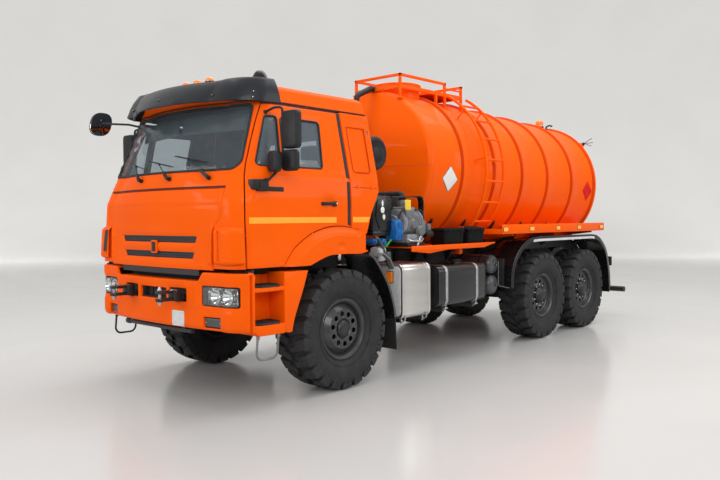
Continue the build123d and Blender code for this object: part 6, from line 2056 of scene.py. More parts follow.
def build_platform():
    g = Geo()
    X0, X1, Y0, Y1, ZF, ZT = -0.250, 0.500, 1.755, 3.095, 3.350, 3.500
    # floor frame of folded edge strips and a plate with pressed ribs round the hatch
    e = 0.032
    for a in ((X1 - e, X1, Y0, Y1), (X0, X0 + e, Y0, Y1), (X0, X1, Y0, Y0 + e), (X0, X1, Y1 - e, Y1)):
        rbox(g, *a, ZF - 0.034, ZF + 0.016, 0.003, 2, 0)
    rbox(g, X0 + 0.02, X1 - 0.02, 2.550, Y1 - 0.02, ZF + 0.004, ZF + 0.013, 0.002, 1, 0)
    for k in range(11):
        y = 2.585 + k * 0.046
        for j in range(9):
            x = X0 + 0.06 + j * 0.079 + (0.0395 if k % 2 else 0.0)
            if x + 0.03 < X1 - 0.03:
                prism(g, "z", rpoly([(x, y), (x + 0.013, y - 0.004), (x + 0.026, y), (x + 0.013, y + 0.004)], 0.002, 1), ZF + 0.012, ZF + 0.0158, 0.0008, 1, 0)
    rbox(g, X0 + 0.02, X0 + 0.20 - 0.25 + 0.0, Y0 + 0.02, 2.55, ZF + 0.004, ZF + 0.013, 0.002, 1, 0) if False else None
    rbox(g, 0.465, X1 - 0.01, Y0 + 0.02, 2.56, ZF + 0.004, ZF + 0.013, 0.002, 1, 0)
    rbox(g, X0 + 0.01, -0.225, Y0 + 0.02, 2.56, ZF + 0.004, ZF + 0.013, 0.002, 1, 0)
    posts = ((X1 - 0.010, Y0 + 0.012, ZT), (X1 - 0.010, 2.508, ZF), (X1 - 0.010, 2.703, ZT), (X1 - 0.010, Y1 - 0.012, ZT),
             (X0 + 0.010, Y0 + 0.012, ZT), (X0 + 0.010, 2.508, ZF), (X0 + 0.010, Y1 - 0.012, ZT))
    for x, y, top in posts:
        zb = tz(y) + math.sqrt(0.985**2 - x * x) - 0.006
        rbox(g, x - 0.016, x + 0.016, y - 0.016, y + 0.016, zb, top, 0.0035, 3, 0)
        rbox(g, x - 0.032, x + 0.032, y - 0.032, y + 0.032, zb - 0.012, zb + 0.010, 0.002, 1, 0)
    for a, b in ((0, 2), (0, 4), (4, 6), (3, 6)):
        pa, pb = posts[a], posts[b]
        rbox(g, min(pa[0], pb[0]) - 0.016, max(pa[0], pb[0]) + 0.016, min(pa[1], pb[1]) - 0.016, max(pa[1], pb[1]) + 0.016, ZT - 0.032, ZT, 0.0035, 3, 0)
    # lower rail by the ladder head
    rbox(g, X1 - 0.0215, X1 + 0.0015, 2.705, 3.085, ZT - 0.085, ZT - 0.065, 0.003, 2, 0)
    piece("hatch_platform", g, ["orange"], "chassis", ["platform"], angle=35)


def build_tank_fittings():
    g = Geo()
    # beacon with its foot, on the tank top
    zt = tz(6.20) + 0.985
    cyl(g, (0, 6.20, zt - 0.01), (0, 6.20, zt + 0.030), 0.030, 24, 0, 0.003)
    lathe(g, (0, 6.20, zt + 0.03), (0, 0, 1), [(0, 0.0), (0, 0.070), (0.008, 0.074), (0.030, 0.074), (0.038, 0.070), (0.040, 0.0)], 40, 1)
    lathe(g, (0, 6.20, zt + 0.068), (0, 0, 1), [(0, 0.066), (0.045, 0.064), (0.080, 0.060), (0.100, 0.050), (0.112, 0.032), (0.117, 0.0)], 40, 2)
    for k in range(10):
        lathe(g, (0, 6.20, zt + 0.074 + k * 0.0075), (0, 0, 1), [(-0.002, 0.0645), (0.0, 0.0668), (0.002, 0.0645)], 40, 2)
    # lifting hook beside it
    tube(g, [(0.16, 6.14, zt - 0.03), (0.16, 6.14, zt + 0.045), (0.20, 6.18, zt + 0.07), (0.23, 6.22, zt + 0.055)], 0.0135, 0.025, 12, 1)
    tube(g, [(-0.16, 6.14, zt - 0.03), (-0.16, 6.14, zt + 0.040), (-0.12, 6.17, zt + 0.060)], 0.0135, 0.022, 12, 1)
    # level gauge head with thin feelers at the rear shoulder
    c = tpt(6.34, 44, 0.985)
    n = (c - Vector((0, 6.34, tz(6.34)))).normalized()
    cyl(g, c - n * 0.03, c + n * 0.030, 0.034, 24, 0, 0.003)
    cyl(g, c + n * 0.026, c + n * 0.062, 0.024, 20, 1, 0.004)
    rbox(g, c.x - 0.050, c.x + 0.010, 6.23, 6.33, c.z + 0.005, c.z + 0.045, 0.006, 2, 0)
    for dy, dz in ((0.22, 0.10), (0.26, 0.03), (0.20, -0.03)):
        q = c + n * 0.055
        tube(g, [q, q + Vector((0.04, dy, dz))], 0.0050, 0, 8, 1)
    piece("tank_fittings", g, ["orange", "black_plastic", "amber_lamp", "chrome"], "chassis")
    # trays
    g = Geo()
    q = Geo()
    rbox(q, 1.228, 1.240, 2.926, 6.027, 1.492, 1.615, 0.0035, 2, 0)
    rbox(q, 1.190, 1.238, 2.926, 6.027, 1.6065, 1.6145, 0.003, 2, 0)
    rbox(q, 0.742, 1.230, 2.928, 6.025, 1.490, 1.4975, 0.002, 1, 0)
    rbox(q, 0.742, 1.230, 2.926, 2.938, 1.494, 1.560, 0.003, 2, 0)
    rbox(q, 0.742, 1.230, 6.015, 6.027, 1.494, 1.560, 0.003, 2, 0)
    rbox(q, 0.762, 0.850, 2.600, 2.930, 1.492, 1.594, 0.006, 2, 0)
    rbox(q, 0.850, 0.858, 2.62, 2.92, 1.575, 1.600, 0.002, 1, 2)
    for y in (3.3, 4.5, 5.7):
        prism(q, "y", [(0.441, 1.440), (0.441, 1.382), (1.18, 1.472), (1.18, 1.489), (0.441, 1.489)], y - 0.006, y + 0.006, 0.0015, 1, 0)
        prism(q, "y", [(0.441, 1.384), (0.441, 1.376), (1.18, 1.466), (1.18, 1.474)], y - 0.030, y + 0.030, 0.0015, 1, 0)
    # reflectors in the glowing amber material: painted light
    for y in (3.007, 3.694, 4.453, 5.132, 5.917):
        rbox(q, 1.2395, 1.2445, y - 0.060, y + 0.060, 1.519, 1.583, 0.003, 2, 1)
        rbox(q, 1.2395, 1.2465, y - 0.054, y + 0.054, 1.524, 1.578, 0.004, 2, 3)
    g.merge(q)
    g.merge(q.mirrored())
    piece("tray_boards", g, ["orange", "black_plastic", "under_black", "amber_reflector_glow"], "chassis", ["side_trays"], angle=35)


build_tank()
build_ladder()
build_platform()
build_tank_fittings()


# --------------------------------------------------------- side equipment
def build_boxes():
    # alloy locker
    g = Geo()
    out = rpoly([(0.704, 0.604), (1.218, 0.604), (1.218, 1.201), (0.704, 1.201)], 0.070, 8)
    prism(g, "y", out, 0.894, 1.391, 0.004, 2, 0)
    for y0, y1 in ((0.890, 0.926), (1.359, 1.395), (0.955, 0.962), (1.323, 1.330)):
        o2 = rpoly([(0.700, 0.600), (1.222, 0.600), (1.222, 1.205), (0.700, 1.205)], 0.073, 8) if y1 - y0 > 0.02 else rpoly([(0.702, 0.602), (1.220, 0.602), (1.220, 1.203), (0.702, 1.203)], 0.071, 8)
        prism(g, "y", o2, y0, y1, 0.0025, 2, 0)
    prism(g, "y", rpoly([(0.730, 0.630), (1.196, 0.630), (1.196, 1.178), (0.730, 1.178)], 0.055, 8), 0.884, 0.893, 0.003, 2, 1)
    for y in (0.95, 1.335):
        tube(g, [(1.212, y, 0.640), (1.205, y, 0.585), (1.150, y, 0.560)], 0.008, 0.02, 10, 2)
        cyl(g, (1.150, y, 0.545), (1.150, y, 0.600), 0.010, 12, 2, 0.002)
    rbox(g, 0.62, 1.14, 0.93, 0.98, 0.555, 0.602, 0.006, 2, 3)
    rbox(g, 0.62, 1.14, 1.31, 1.36, 0.555, 0.602, 0.006, 2, 3)
    piece("alloy_locker", g, ["silver", "plate", "galv", "steel_black"], "chassis", ["battery_box"], angle=35)
    g = Geo()
    rbox(g, 0.988, 1.082, 0.872, 0.886, 1.022, 1.152, 0.006, 2, 0)
    rbox(g, 0.993, 1.077, 0.862, 0.876, 1.028, 1.146, 0.010, 3, 1)
    for k in range(7):
        rbox(g, 1.000, 1.070, 0.8605, 0.864, 1.038 + k * 0.0155, 1.044 + k * 0.0155, 0.001, 1, 1)
    g = g.moved(Matrix.Translation((0.020, 0, -0.028)))
    piece("side_lamp", g, ["black_plastic", "amber_lamp"], "chassis")
    # fuel tanks
    g = Geo()
    q = Geo()
    out = rpoly([(0.690, 0.672), (1.218, 0.672), (1.218, 1.146), (0.690, 1.146)], 0.075, 9)
    prism(q, "y", out, 1.574, 2.546, 0.010, 4, 0)
    o2 = rpoly([(0.689, 0.671), (1.220, 0.671), (1.220, 1.148), (0.689, 1.148)], 0.076, 9)
    for y in (1.566, 2.540):
        prism(q, "y", o2, y, y + 0.014, 0.005, 2, 0)
    # pressed ends
    for y0, y1 in ((1.560, 1.570), (2.550, 2.560)):
        prism(q, "y", rpoly([(0.735, 0.715), (1.172, 0.715), (1.172, 1.103), (0.735, 1.103)], 0.05, 6), y0, y1, 0.004, 2, 0)
    for y in (1.720, 2.360):
        o3 = rpoly([(0.686, 0.668), (1.2225, 0.668), (1.2225, 1.1505), (0.686, 1.1505)], 0.078, 9)
        prism(q, "y", o3, y - 0.023, y + 0.023, 0.0015, 2, 1)
        tube(q, [(1.205, y, 0.700), (1.195, y, 0.640), (1.13, y, 0.612)], 0.008, 0.02, 10, 1)
        cyl(q, (1.20, y - 0.03, 0.645), (1.20, y + 0.03, 0.645), 0.011, 14, 1, 0.002)
        rbox(q, 0.45, 1.16, y - 0.03, y + 0.03, 0.600, 0.668, 0.008, 2, 2)
        rbox(q, 0.446, 0.50, y - 0.03, y + 0.03, 0.62, 1.08, 0.006, 2, 2)
    cyl(q, (1.045, 2.150, 1.136), (1.045, 2.150, 1.168), 0.056, 32, 2, 0.005)
    lathe(q, (1.045, 2.150, 1.166), (0, 0, 1), [(0, 0.0), (0, 0.060), (0.004, 0.064), (0.026, 0.064), (0.034, 0.056), (0.036, 0.0)], 40, 3)
    for k in range(12):
        a = 2 * math.pi * k / 12
        cyl(q, (1.045 + 0.064 * math.cos(a), 2.15 + 0.064 * math.sin(a), 1.171), (1.045 + 0.064 * math.cos(a), 2.15 + 0.064 * math.sin(a), 1.192), 0.0045, 8, 3)
    g.merge(q)
    g.merge(q.mirrored())
    piece("fuel_tank_pair", g, ["tank_black", "galv", "steel_black", "black_plastic"], "chassis", ["fuel_tanks"], angle=35)
    # air tanks across the frame
    g = Geo()
    q = Geo()
    for z in (1.092, 0.824):
        prof = [(0.500, 0.0), (0.500, 0.05), (0.512, 0.095), (0.535, 0.120), (0.560, 0.1265)]
        prof += [(0.600, 0.127), (1.020, 0.127), (1.024, 0.1285), (1.030, 0.1285), (1.034, 0.127), (1.040, 0.1262), (1.056, 0.120), (1.072, 0.104), (1.084, 0.078), (1.0895, 0.045), (1.091, 0.0)]
        lathe(q, (0, 2.945, z), (1, 0, 0), prof, 56, 0)
        cyl(q, (1.088, 2.955, z - 0.005), (1.102, 2.955, z - 0.005), 0.013, 16, 1, 0.002)
        cyl(q, (1.100, 2.955, z - 0.005), (1.110, 2.955, z - 0.005), 0.008, 6, 2, 0.001)
        for x in (0.62, 0.92):
            lathe(q, (x, 2.945, z), (1, 0, 0), [(-0.015, 0.1275), (-0.013, 0.130), (0.013, 0.130), (0.015, 0.1275)], 56, 1)
    rbox(q, 0.446, 0.52, 2.90, 2.99, 0.80, 1.16, 0.006, 2, 1)
    tube(q, [(1.086, 2.91, 1.13), (1.11, 2.89, 1.15), (1.09, 2.83, 1.19), (0.94, 2.80, 1.20), (0.60, 2.80, 1.20)], 0.0055, 0.03, 8, 1)
    q = q.moved(Matrix.Translation((0, 0.035, 0)))
    g.merge(q)
    g.merge(q.mirrored())
    piece("air_tanks", g, ["slate", "black_plastic", "galv"], "chassis", ["air_reservoirs"], angle=35)


def build_mudguards():
    g = Geo()
    q = Geo()
    # front: rear part of the arch with a hanging flap
    path = [Vector((1.0125, y, z)) for y, z in smooth_open([(0.345, 1.346), (0.415, 1.305), (0.520, 1.190), (0.650, 1.000), (0.735, 0.790), (0.762, 0.640)], 5)]
    hw = 0.2095
    ring = [(-hw, -0.008), (hw - 0.01, -0.008), (hw, -0.008), (hw + 0.003, -0.004), (hw + 0.003, 0.012), (hw, 0.015), (hw - 0.018, 0.015), (hw - 0.022, 0.006), (-hw, 0.006)]
    sweep_ring(q, path, ring, 0, caps=True, up=(1, 0, 0))
    lp = [Vector((1.2125, p.y, p.z)) for p in path]
    sweep_ring(q, lp, [(-0.013, -0.012), (0.0145, -0.012), (0.0145, 0.012), (-0.013, 0.012)], 1, caps=True, up=(1, 0, 0))
    flap = [(0.758, 0.672), (0.762, 0.60), (0.780, 0.292), (0.7905, 0.292), (0.776, 0.60), (0.770, 0.674)]
    prism(q, "x", flap, 0.802, 1.223, 0.003, 2, 2)
    rbox(q, 0.815, 1.21, 0.752, 0.780, 0.628, 0.668, 0.003, 2, 0)
    for x in (0.85, 0.95, 1.05, 1.17):
        cyl(q, (x, 0.744, 0.648), (x, 0.756, 0.648), 0.010, 6, 3, 0.002)
    # grey stay down to the locker
    sweep_ring(q, fillet_path([Vector((1.160, 0.540, 1.30)), Vector((1.170, 0.610, 1.345)), Vector((1.190, 0.705, 1.27)), Vector((1.196, 0.760, 1.165))], 0.05, 5),
               [(-0.030, -0.006), (0.020, -0.006), (0.022, 0.0), (0.020, 0.010), (-0.030, 0.010)], 4, caps=True, up=(1, 0, 0))
    # rear pair
    pts = ((3.203, 0.772), (3.200, 0.930), (3.291, 1.124), (3.459, 1.277), (3.781, 1.387), (5.659, 1.387), (5.926, 1.314), (6.133, 1.133), (6.232, 0.854), (6.274, 0.482))
    arc1 = smooth_open([(3.203, 0.772), (3.206, 0.930), (3.291, 1.124), (3.459, 1.277), (3.66, 1.366), (3.88, 1.387)], 5)
    arc2 = smooth_open([(5.56, 1.387), (5.76, 1.368), (5.94, 1.292), (6.110, 1.133), (6.215, 0.854), (6.266, 0.482)], 5)
    path = [Vector((1.0175, y, z)) for y, z in list(arc1) + [(4.3, 1.387), (4.7, 1.387), (5.1, 1.387)] + list(arc2)]
    hw = 0.2145
    ring = [(-hw, -0.007), (hw - 0.01, -0.007), (hw, -0.007), (hw + 0.003, -0.003), (hw + 0.003, 0.012), (hw - 0.002, 0.014), (hw - 0.020, 0.014), (hw - 0.024, 0.007), (-hw, 0.007)]
    sweep_ring(q, path, ring, 0, caps=True, up=(1, 0, 0))
    # flexible lip hanging from the outer edge
    lp = [Vector((1.224, p.y, p.z)) for p in path if p.z > 0.50]
    n = len(lp)
    sweep_ring(q, lp, [(-0.004, -0.052), (0.010, -0.052), (0.0135, -0.046), (0.0135, 0.012), (0.010, 0.016), (0.0, 0.016)], 0, caps=True, up=(1, 0, 0))
    # light grey band on the glossy lip, along its flat top run only: painted highlight of the overhead light
    mid = [p + Vector((0, 0, 0)) for p in lp if 3.74 < p.y < 5.70 and p.z > 1.30]
    sweep_ring(q, mid, [(0.0105, -0.020), (0.0160, -0.020), (0.0160, 0.014), (0.0105, 0.014)], 5, caps=True, up=(1, 0, 0))
    # inner liner wall between the guard and the rails
    lin = [(y, z) for y, z in ((3.215, 0.90), (3.30, 1.118), (3.465, 1.268), (3.785, 1.376), (5.655, 1.376), (5.918, 1.304), (6.120, 1.128), (6.20, 0.90), (6.02, 0.90), (5.93, 0.98), (5.42, 1.24), (4.10, 1.24), (3.50, 1.00), (3.44, 0.90))]
    prism(q, "x", lin, 0.800, 0.806, 0.001, 1, 3)
    for y in (3.62, 4.76, 5.80):
        tube(q, [(0.445, y, 1.20), (0.72, y, 1.26), (0.92, y, 1.372 if y < 5.7 else 1.34)], 0.020, 0.06, 14, 3)
    rbox(q, 0.81, 1.22, 6.268, 6.290, 0.49, 0.70, 0.004, 2, 2)
    # inner panel seen ahead of the middle wheel
    rbox(q, 0.70, 1.12, 3.150, 3.175, 0.80, 1.16, 0.006, 2, 2)
    tube(q, [(1.06, 3.118, 1.13), (1.06, 3.118, 0.80), (1.20, 3.17, 0.775)], 0.007, 0.03, 8, 4)
    g.merge(q)
    g.merge(q.mirrored())
    piece("mudguard_set", g, ["black_gloss", "slate", "rubber", "steel_black", "grey_paint", "plate"], "chassis", ["mudguards"], angle=40)


def build_shelf():
    g = Geo()
    rbox(g, 0.640, 1.142, 1.150, 2.890, 1.368, 1.380, 0.002, 1, 0)
    prism(g, "x", [(1.150, 1.332), (2.640, 1.332), (2.900, 1.384), (2.900, 1.392), (1.150, 1.392)], 1.137, 1.150, 0.003, 2, 0)
    prism(g, "x", [(1.150, 1.332), (1.50, 1.300), (1.90, 1.332)], 1.130, 1.138, 0.002, 1, 0)
    for y in (1.70, 2.33):
        rbox(g, 0.441, 0.700, y, y + 0.06, 1.310, 1.368, 0.004, 2, 2)
        rbox(g, 0.441, 0.470, y - 0.01, y + 0.07, 1.180, 1.368, 0.004, 2, 2)
    rbox(g, 0.96, 1.03, 2.255, 2.325, 1.262, 1.370, 0.006, 2, 0)
    rbox(g, 0.90, 1.02, 2.265, 2.315, 1.255, 1.285, 0.004, 1, 0)
    for y0, y1 in ((1.803, 2.214), (2.301, 2.670)):
        # tapered plastic bin, open on top, with upright ribs
        rings = []
        for t, z in ((0.012, 1.380), (0.008, 1.386), (0.0, 1.545), (0.0, 1.552)):
            lp = rpoly([(0.905 + t, y0 + t), (1.132 - t, y0 + t), (1.132 - t, y1 - t), (0.905 + t, y1 - t)], 0.022, 5)
            rings.append([(x, y, z) for x, y in lp])
        for t, z in ((0.010, 1.552), (0.018, 1.392)):
            lp = rpoly([(0.905 + t, y0 + t), (1.132 - t, y0 + t), (1.132 - t, y1 - t), (0.905 + t, y1 - t)], 0.016, 5)
            rings.append([(x, y, z) for x, y in lp])
        loft(g, rings, 1, caps=True)
        n = 3
        for k in range(n):
            y = y0 + (y1 - y0) * (k + 0.5) / n
            prism(g, "y", [(1.122, 1.386), (1.1365, 1.545), (1.130, 1.545), (1.118, 1.386)], y - 0.014, y + 0.014, 0.002, 1, 1)
        rbox(g, 0.905, 1.1365, y0 - 0.003, y0 + 0.004, 1.534, 1.5505, 0.002, 1, 1)
        rbox(g, 1.129, 1.1375, y0, y1, 1.534, 1.5505, 0.003, 2, 1)
    piece("tool_shelf", g, ["orange", "slate_dark", "under_black"], "chassis", ["toolboxes"], angle=35)
    for nm, y0, y1 in (("front_toolbox", 1.795, 2.222), ("rear_toolbox", 2.293, 2.678)):
        g = Geo()
        rings = []
        for t, z in ((0.004, 1.5535), (0.0, 1.556), (0.0, 1.569), (0.003, 1.575), (0.012, 1.580), (0.020, 1.5815)):
            lp = rpoly([(0.898 + t, y0 + t), (1.140 - t, y0 + t), (1.140 - t, y1 - t), (0.898 + t, y1 - t)], 0.026, 6)
            rings.append([(x, y, z) for x, y in lp])
        loft(g, rings, 0, caps=True)
        ym = (y0 + y1) / 2
        rbox(g, 0.93, 1.105, y0 + 0.05, ym - 0.02, 1.580, 1.586, 0.004, 2, 0)
        rbox(g, 0.93, 1.105, ym + 0.02, y1 - 0.05, 1.580, 1.586, 0.004, 2, 0)
        for y in (y0 + 0.09, y1 - 0.09):
            rbox(g, 1.136, 1.144, y - 0.026, y + 0.026, 1.535, 1.575, 0.003, 2, 0)
        piece(nm + "_cover", g, ["slate_dark"], nm + "_lid_body", [nm + "_lid"], angle=35)


def build_pump():
    g = Geo()
    # base frame and belt guard
    rbox(g, 0.762, 1.088, 1.162, 1.478, 1.384, 1.420, 0.006, 2, 2)
    rbox(g, 0.785, 1.070, 1.175, 1.465, 1.418, 1.528, 0.020, 3, 0)
    # casing with end covers, bolts and fins
    prof = [(1.120, 0.0), (1.120, 0.120), (1.124, 0.134), (1.134, 0.146), (1.150, 0.148), (1.156, 0.150), (1.170, 0.150), (1.174, 0.138), (1.186, 0.134)]
    for k in range(9):
        y = 1.195 + k * 0.026
        prof += [(y, 0.134), (y + 0.003, 0.147), (y + 0.009, 0.147), (y + 0.012, 0.134)]
    prof += [(1.434, 0.134), (1.438, 0.150), (1.456, 0.150), (1.464, 0.144), (1.480, 0.120), (1.486, 0.10), (1.498, 0.06), (1.50, 0.0)]
    lathe(g, (0.930, 0, 1.660), (0, 1, 0), prof, 56, 0)
    for k in range(10):
        a = 2 * math.pi * (k + 0.5) / 10
        c = Vector((0.930 + 0.130 * math.cos(a), 1.118, 1.660 + 0.130 * math.sin(a)))
        cyl(g, c, c + Vector((0, 0.02, 0)), 0.009, 6, 5, 0.001)
    # front drum with face ring, hub
    lathe(g, (0.930, 0, 1.640), (0, 1, 0), [(1.040, 0.0), (1.040, 0.030), (1.046, 0.040), (1.052, 0.085), (1.050, 0.098), (1.056, 0.105), (1.075, 0.105), (1.08, 0.096), (1.122, 0.094)], 48, 0)
    for k in range(6):
        a = 2 * math.pi * k / 6
        c = Vector((0.930 + 0.068 * math.cos(a), 1.046, 1.640 + 0.068 * math.sin(a)))
        cyl(g, c + Vector((0, -0.004, 0)), c + Vector((0, 0.010, 0)), 0.008, 6, 5, 0.001)
    # blue drive body ahead of it
    rings = []
    for t, y in ((0.030, 0.968), (0.010, 0.976), (0.0, 0.992), (0.0, 1.060), (0.008, 1.072)):
        lp = rpoly([(0.905 + t, 1.462 + t), (1.078 - t, 1.462 + t), (1.090 - t, 1.560), (1.060 - t, 1.690 - t), (0.925 + t, 1.690 - t), (0.900 + t, 1.58)], 0.030, 5)
        rings.append([(x, y, z) for x, z in lp])
    loft(g, rings, 1, caps=True)
    lathe(g, (0.985, 0, 1.600), (0, 1, 0), [(0.962, 0.0), (0.962, 0.040), (0.966, 0.052), (0.975, 0.060), (0.99, 0.062)], 36, 1)
    for k in range(3):
        rbox(g, 1.076, 1.092, 0.990 + k * 0.026, 1.002 + k * 0.026, 1.48, 1.66, 0.004, 2, 1)
    # side outlet with a flange and a bevelled cap
    lathe(g, (0, 1.400, 1.560), (1, 0, 0), [(0.98, 0.045), (1.045, 0.046), (1.050, 0.062), (1.060, 0.066), (1.072, 0.066), (1.078, 0.060), (1.100, 0.056), (1.108, 0.048), (1.110, 0.0)], 36, 3)
    lathe(g, (0, 1.290, 1.640), (1, 0, 0), [(1.02, 0.062), (1.070, 0.060), (1.078, 0.050), (1.088, 0.046), (1.092, 0.0)], 36, 3)
    # top outlet, elbow flange, clamp ring
    lathe(g, (0.885, 1.300, 0), (0, 0, 1), [(1.760, 0.058), (1.792, 0.052), (1.800, 0.042), (1.868, 0.042), (1.872, 0.060), (1.886, 0.062), (1.897, 0.060), (1.8975, 0.0)], 36, 0)
    for k in range(4):
        a = math.pi / 4 + math.pi / 2 * k
        c = Vector((0.885 + 0.050 * math.cos(a), 1.300 + 0.050 * math.sin(a), 1.862))
        cyl(g, c, c + Vector((0, 0, 0.040)), 0.0065, 6, 5, 0.001)
    # stepped housing behind, small manifold blocks and pipes
    rbox(g, 0.82, 1.00, 1.20, 1.40, 1.775, 1.835, 0.015, 3, 0)
    rbox(g, 0.99, 1.075, 1.150, 1.235, 1.700, 1.800, 0.012, 3, 3)
    rbox(g, 1.012, 1.020, 1.196, 1.300, 1.800, 1.915, 0.003, 1, 4)
    rbox(g, 1.00, 1.06, 1.46, 1.53, 1.52, 1.68, 0.010, 2, 3)
    cyl(g, (1.03, 1.50, 1.66), (1.03, 1.50, 1.74), 0.024, 20, 2, 0.004)
    cyl(g, (1.04, 1.53, 1.52), (1.04, 1.66, 1.52), 0.040, 28, 2, 0.006)
    cyl(g, (1.04, 1.60, 1.56), (1.04, 1.60, 1.64), 0.030, 24, 3, 0.005)
    tube(g, [(1.05, 1.18, 1.47), (1.10, 1.20, 1.45), (1.11, 1.38, 1.44), (1.07, 1.46, 1.47)], 0.010, 0.03, 10, 5)
    tube(g, [(1.06, 1.02, 1.70), (1.07, 1.06, 1.78), (1.04, 1.16, 1.82), (0.99, 1.20, 1.80)], 0.011, 0.04, 10, 2)
    tube(g, [(1.03, 1.50, 1.74), (1.03, 1.50, 1.79), (0.98, 1.44, 1.80), (0.92, 1.34, 1.82)], 0.012, 0.04, 10, 2)
    # dark board behind the set
    rbox(g, 0.745, 0.757, 1.060, 1.545, 1.420, 1.962, 0.004, 2, 2)
    # bright bracket and lever below
    prism(g, "x", [(1.300, 1.395), (1.330, 1.395), (1.400, 1.500), (1.372, 1.512)], 1.098, 1.104, 0.001, 1, 6)
    cyl(g, (1.06, 1.352, 1.455), (1.11, 1.352, 1.455), 0.013, 14, 6, 0.002)
    piece("pump_set", g, ["casting", "blue", "black_plastic", "grey_paint", "yellow", "galv", "chrome"], "chassis", ["vacuum_pump"], angle=35)
    # black housing with its curved guard plate
    g = Geo()
    prof = rpoly([(0.645, 1.564), (0.978, 1.564), (0.978, 1.956), (0.645, 1.956)], 0.035, 5)
    prism(g, "x", prof, 0.530, 1.000, 0.012, 3, 0)
    prism(g, "x", rpoly([(0.655, 1.574), (0.968, 1.574), (0.968, 1.946), (0.655, 1.946)], 0.03, 4), 0.998, 1.007, 0.003, 2, 0)
    guard = rpoly([(0.700, 1.935), (1.530, 1.935), (1.560, 1.905), (1.560, 1.668), (1.548, 1.668), (1.548, 1.895), (1.522, 1.923), (0.700, 1.923)], 0.004, 2)
    prism(g, "x", [(0.975, 1.951), (1.500, 1.967), (1.545, 1.950), (1.561, 1.905), (1.561, 1.668), (1.546, 1.668), (1.546, 1.900), (1.532, 1.935), (1.495, 1.951), (0.975, 1.936)], 0.932, 1.008, 0.003, 2, 0)
    for p0, p1 in (((1.012, 0.66, 1.70), (1.012, 0.96, 1.70)),):
        rbox(g, 1.006, 1.010, 0.66, 0.965, 1.745, 1.752, 0.001, 1, 0)
    # three blank ovals and a hoop on its outer face
    for y, z, w, h in ((0.815, 1.872, 0.014, 0.034), (0.815, 1.800, 0.032, 0.036), (0.838, 1.724, 0.022, 0.034)):
        rings = [[(x, y + w * k * math.cos(a), z + h * k * math.sin(a)) for a in np.linspace(0, 2 * math.pi, 25)[:-1]] for x, k in ((1.004, 1.0), (1.0085, 1.0), (1.0095, 0.93))]
        loft(g, rings, 2, caps=True)
    tube(g, [(1.012, 0.76, 1.60), (1.012, 0.70, 1.72), (1.012, 0.72, 1.90), (1.012, 0.86, 1.948)], 0.0085, 0.09, 10, 0, 6)
    # legs, shelf and lower reservoirs
    rbox(g, 0.560, 0.660, 0.700, 0.900, 1.101, 1.565, 0.006, 1, 0)
    rbox(g, 0.360, 0.660, 0.700, 0.900, 1.101, 1.180, 0.006, 1, 0)
    rbox(g, 0.560, 1.000, 0.66, 0.96, 1.520, 1.566, 0.006, 2, 0)
    tube(g, [(0.96, 1.01, 1.56), (0.99, 0.99, 1.48), (0.97, 0.92, 1.40), (0.90, 0.86, 1.36)], 0.012, 0.04, 10, 3)
    tube(g, [(0.93, 0.93, 1.56), (0.98, 0.93, 1.52), (1.0, 0.88, 1.46), (0.98, 0.80, 1.40)], 0.010, 0.04, 10, 4)
    for y, z, r, m in ((0.705, 1.455, 0.036, 5), (0.86, 1.445, 0.040, 6)):
        lathe(g, (0, y, z), (1, 0, 0), [(0.86, 0.0), (0.86, r * 0.9), (0.872, r), (0.985, r), (0.993, r * 0.9), (0.996, r * 0.45), (1.008, r * 0.42), (1.010, 0.0)], 28, m)
    # translucent header bottle with its neck and bracket
    rings = []
    for t, z in ((0.02, 1.240), (0.004, 1.252), (0.0, 1.27), (0.0, 1.372), (0.012, 1.392), (0.040, 1.400)):
        lp = rpoly([(0.965 + t, 0.635 + t), (1.105 - t, 0.635 + t), (1.105 - t, 0.775 - t), (0.965 + t, 0.775 - t)], 0.03, 5)
        rings.append([(x, y, zz) for x, y in lp for zz in (z,)])
    loft(g, rings, 7, caps=True)
    cyl(g, (1.035, 0.705, 1.395), (1.035, 0.705, 1.430), 0.024, 20, 0, 0.004)
    tube(g, [(1.085, 0.590, 1.500), (1.090, 0.640, 1.492), (1.098, 0.715, 1.38), (1.105, 0.775, 1.24), (1.105, 0.82, 1.16)], 0.017, 0.06, 12, 8, 6)
    rbox(g, 0.99, 1.06, 0.83, 0.90, 1.24, 1.34, 0.012, 2, 8)
    cyl(g, (1.05, 0.865, 1.235), (1.075, 0.865, 1.235), 0.022, 20, 2, 0.004)
    piece("hydraulic_box", g, ["black_gloss", "slate_dark", "white", "green", "rubber", "blue", "blue", "milky", "slate"], "chassis", ["oil_tank"], angle=35)


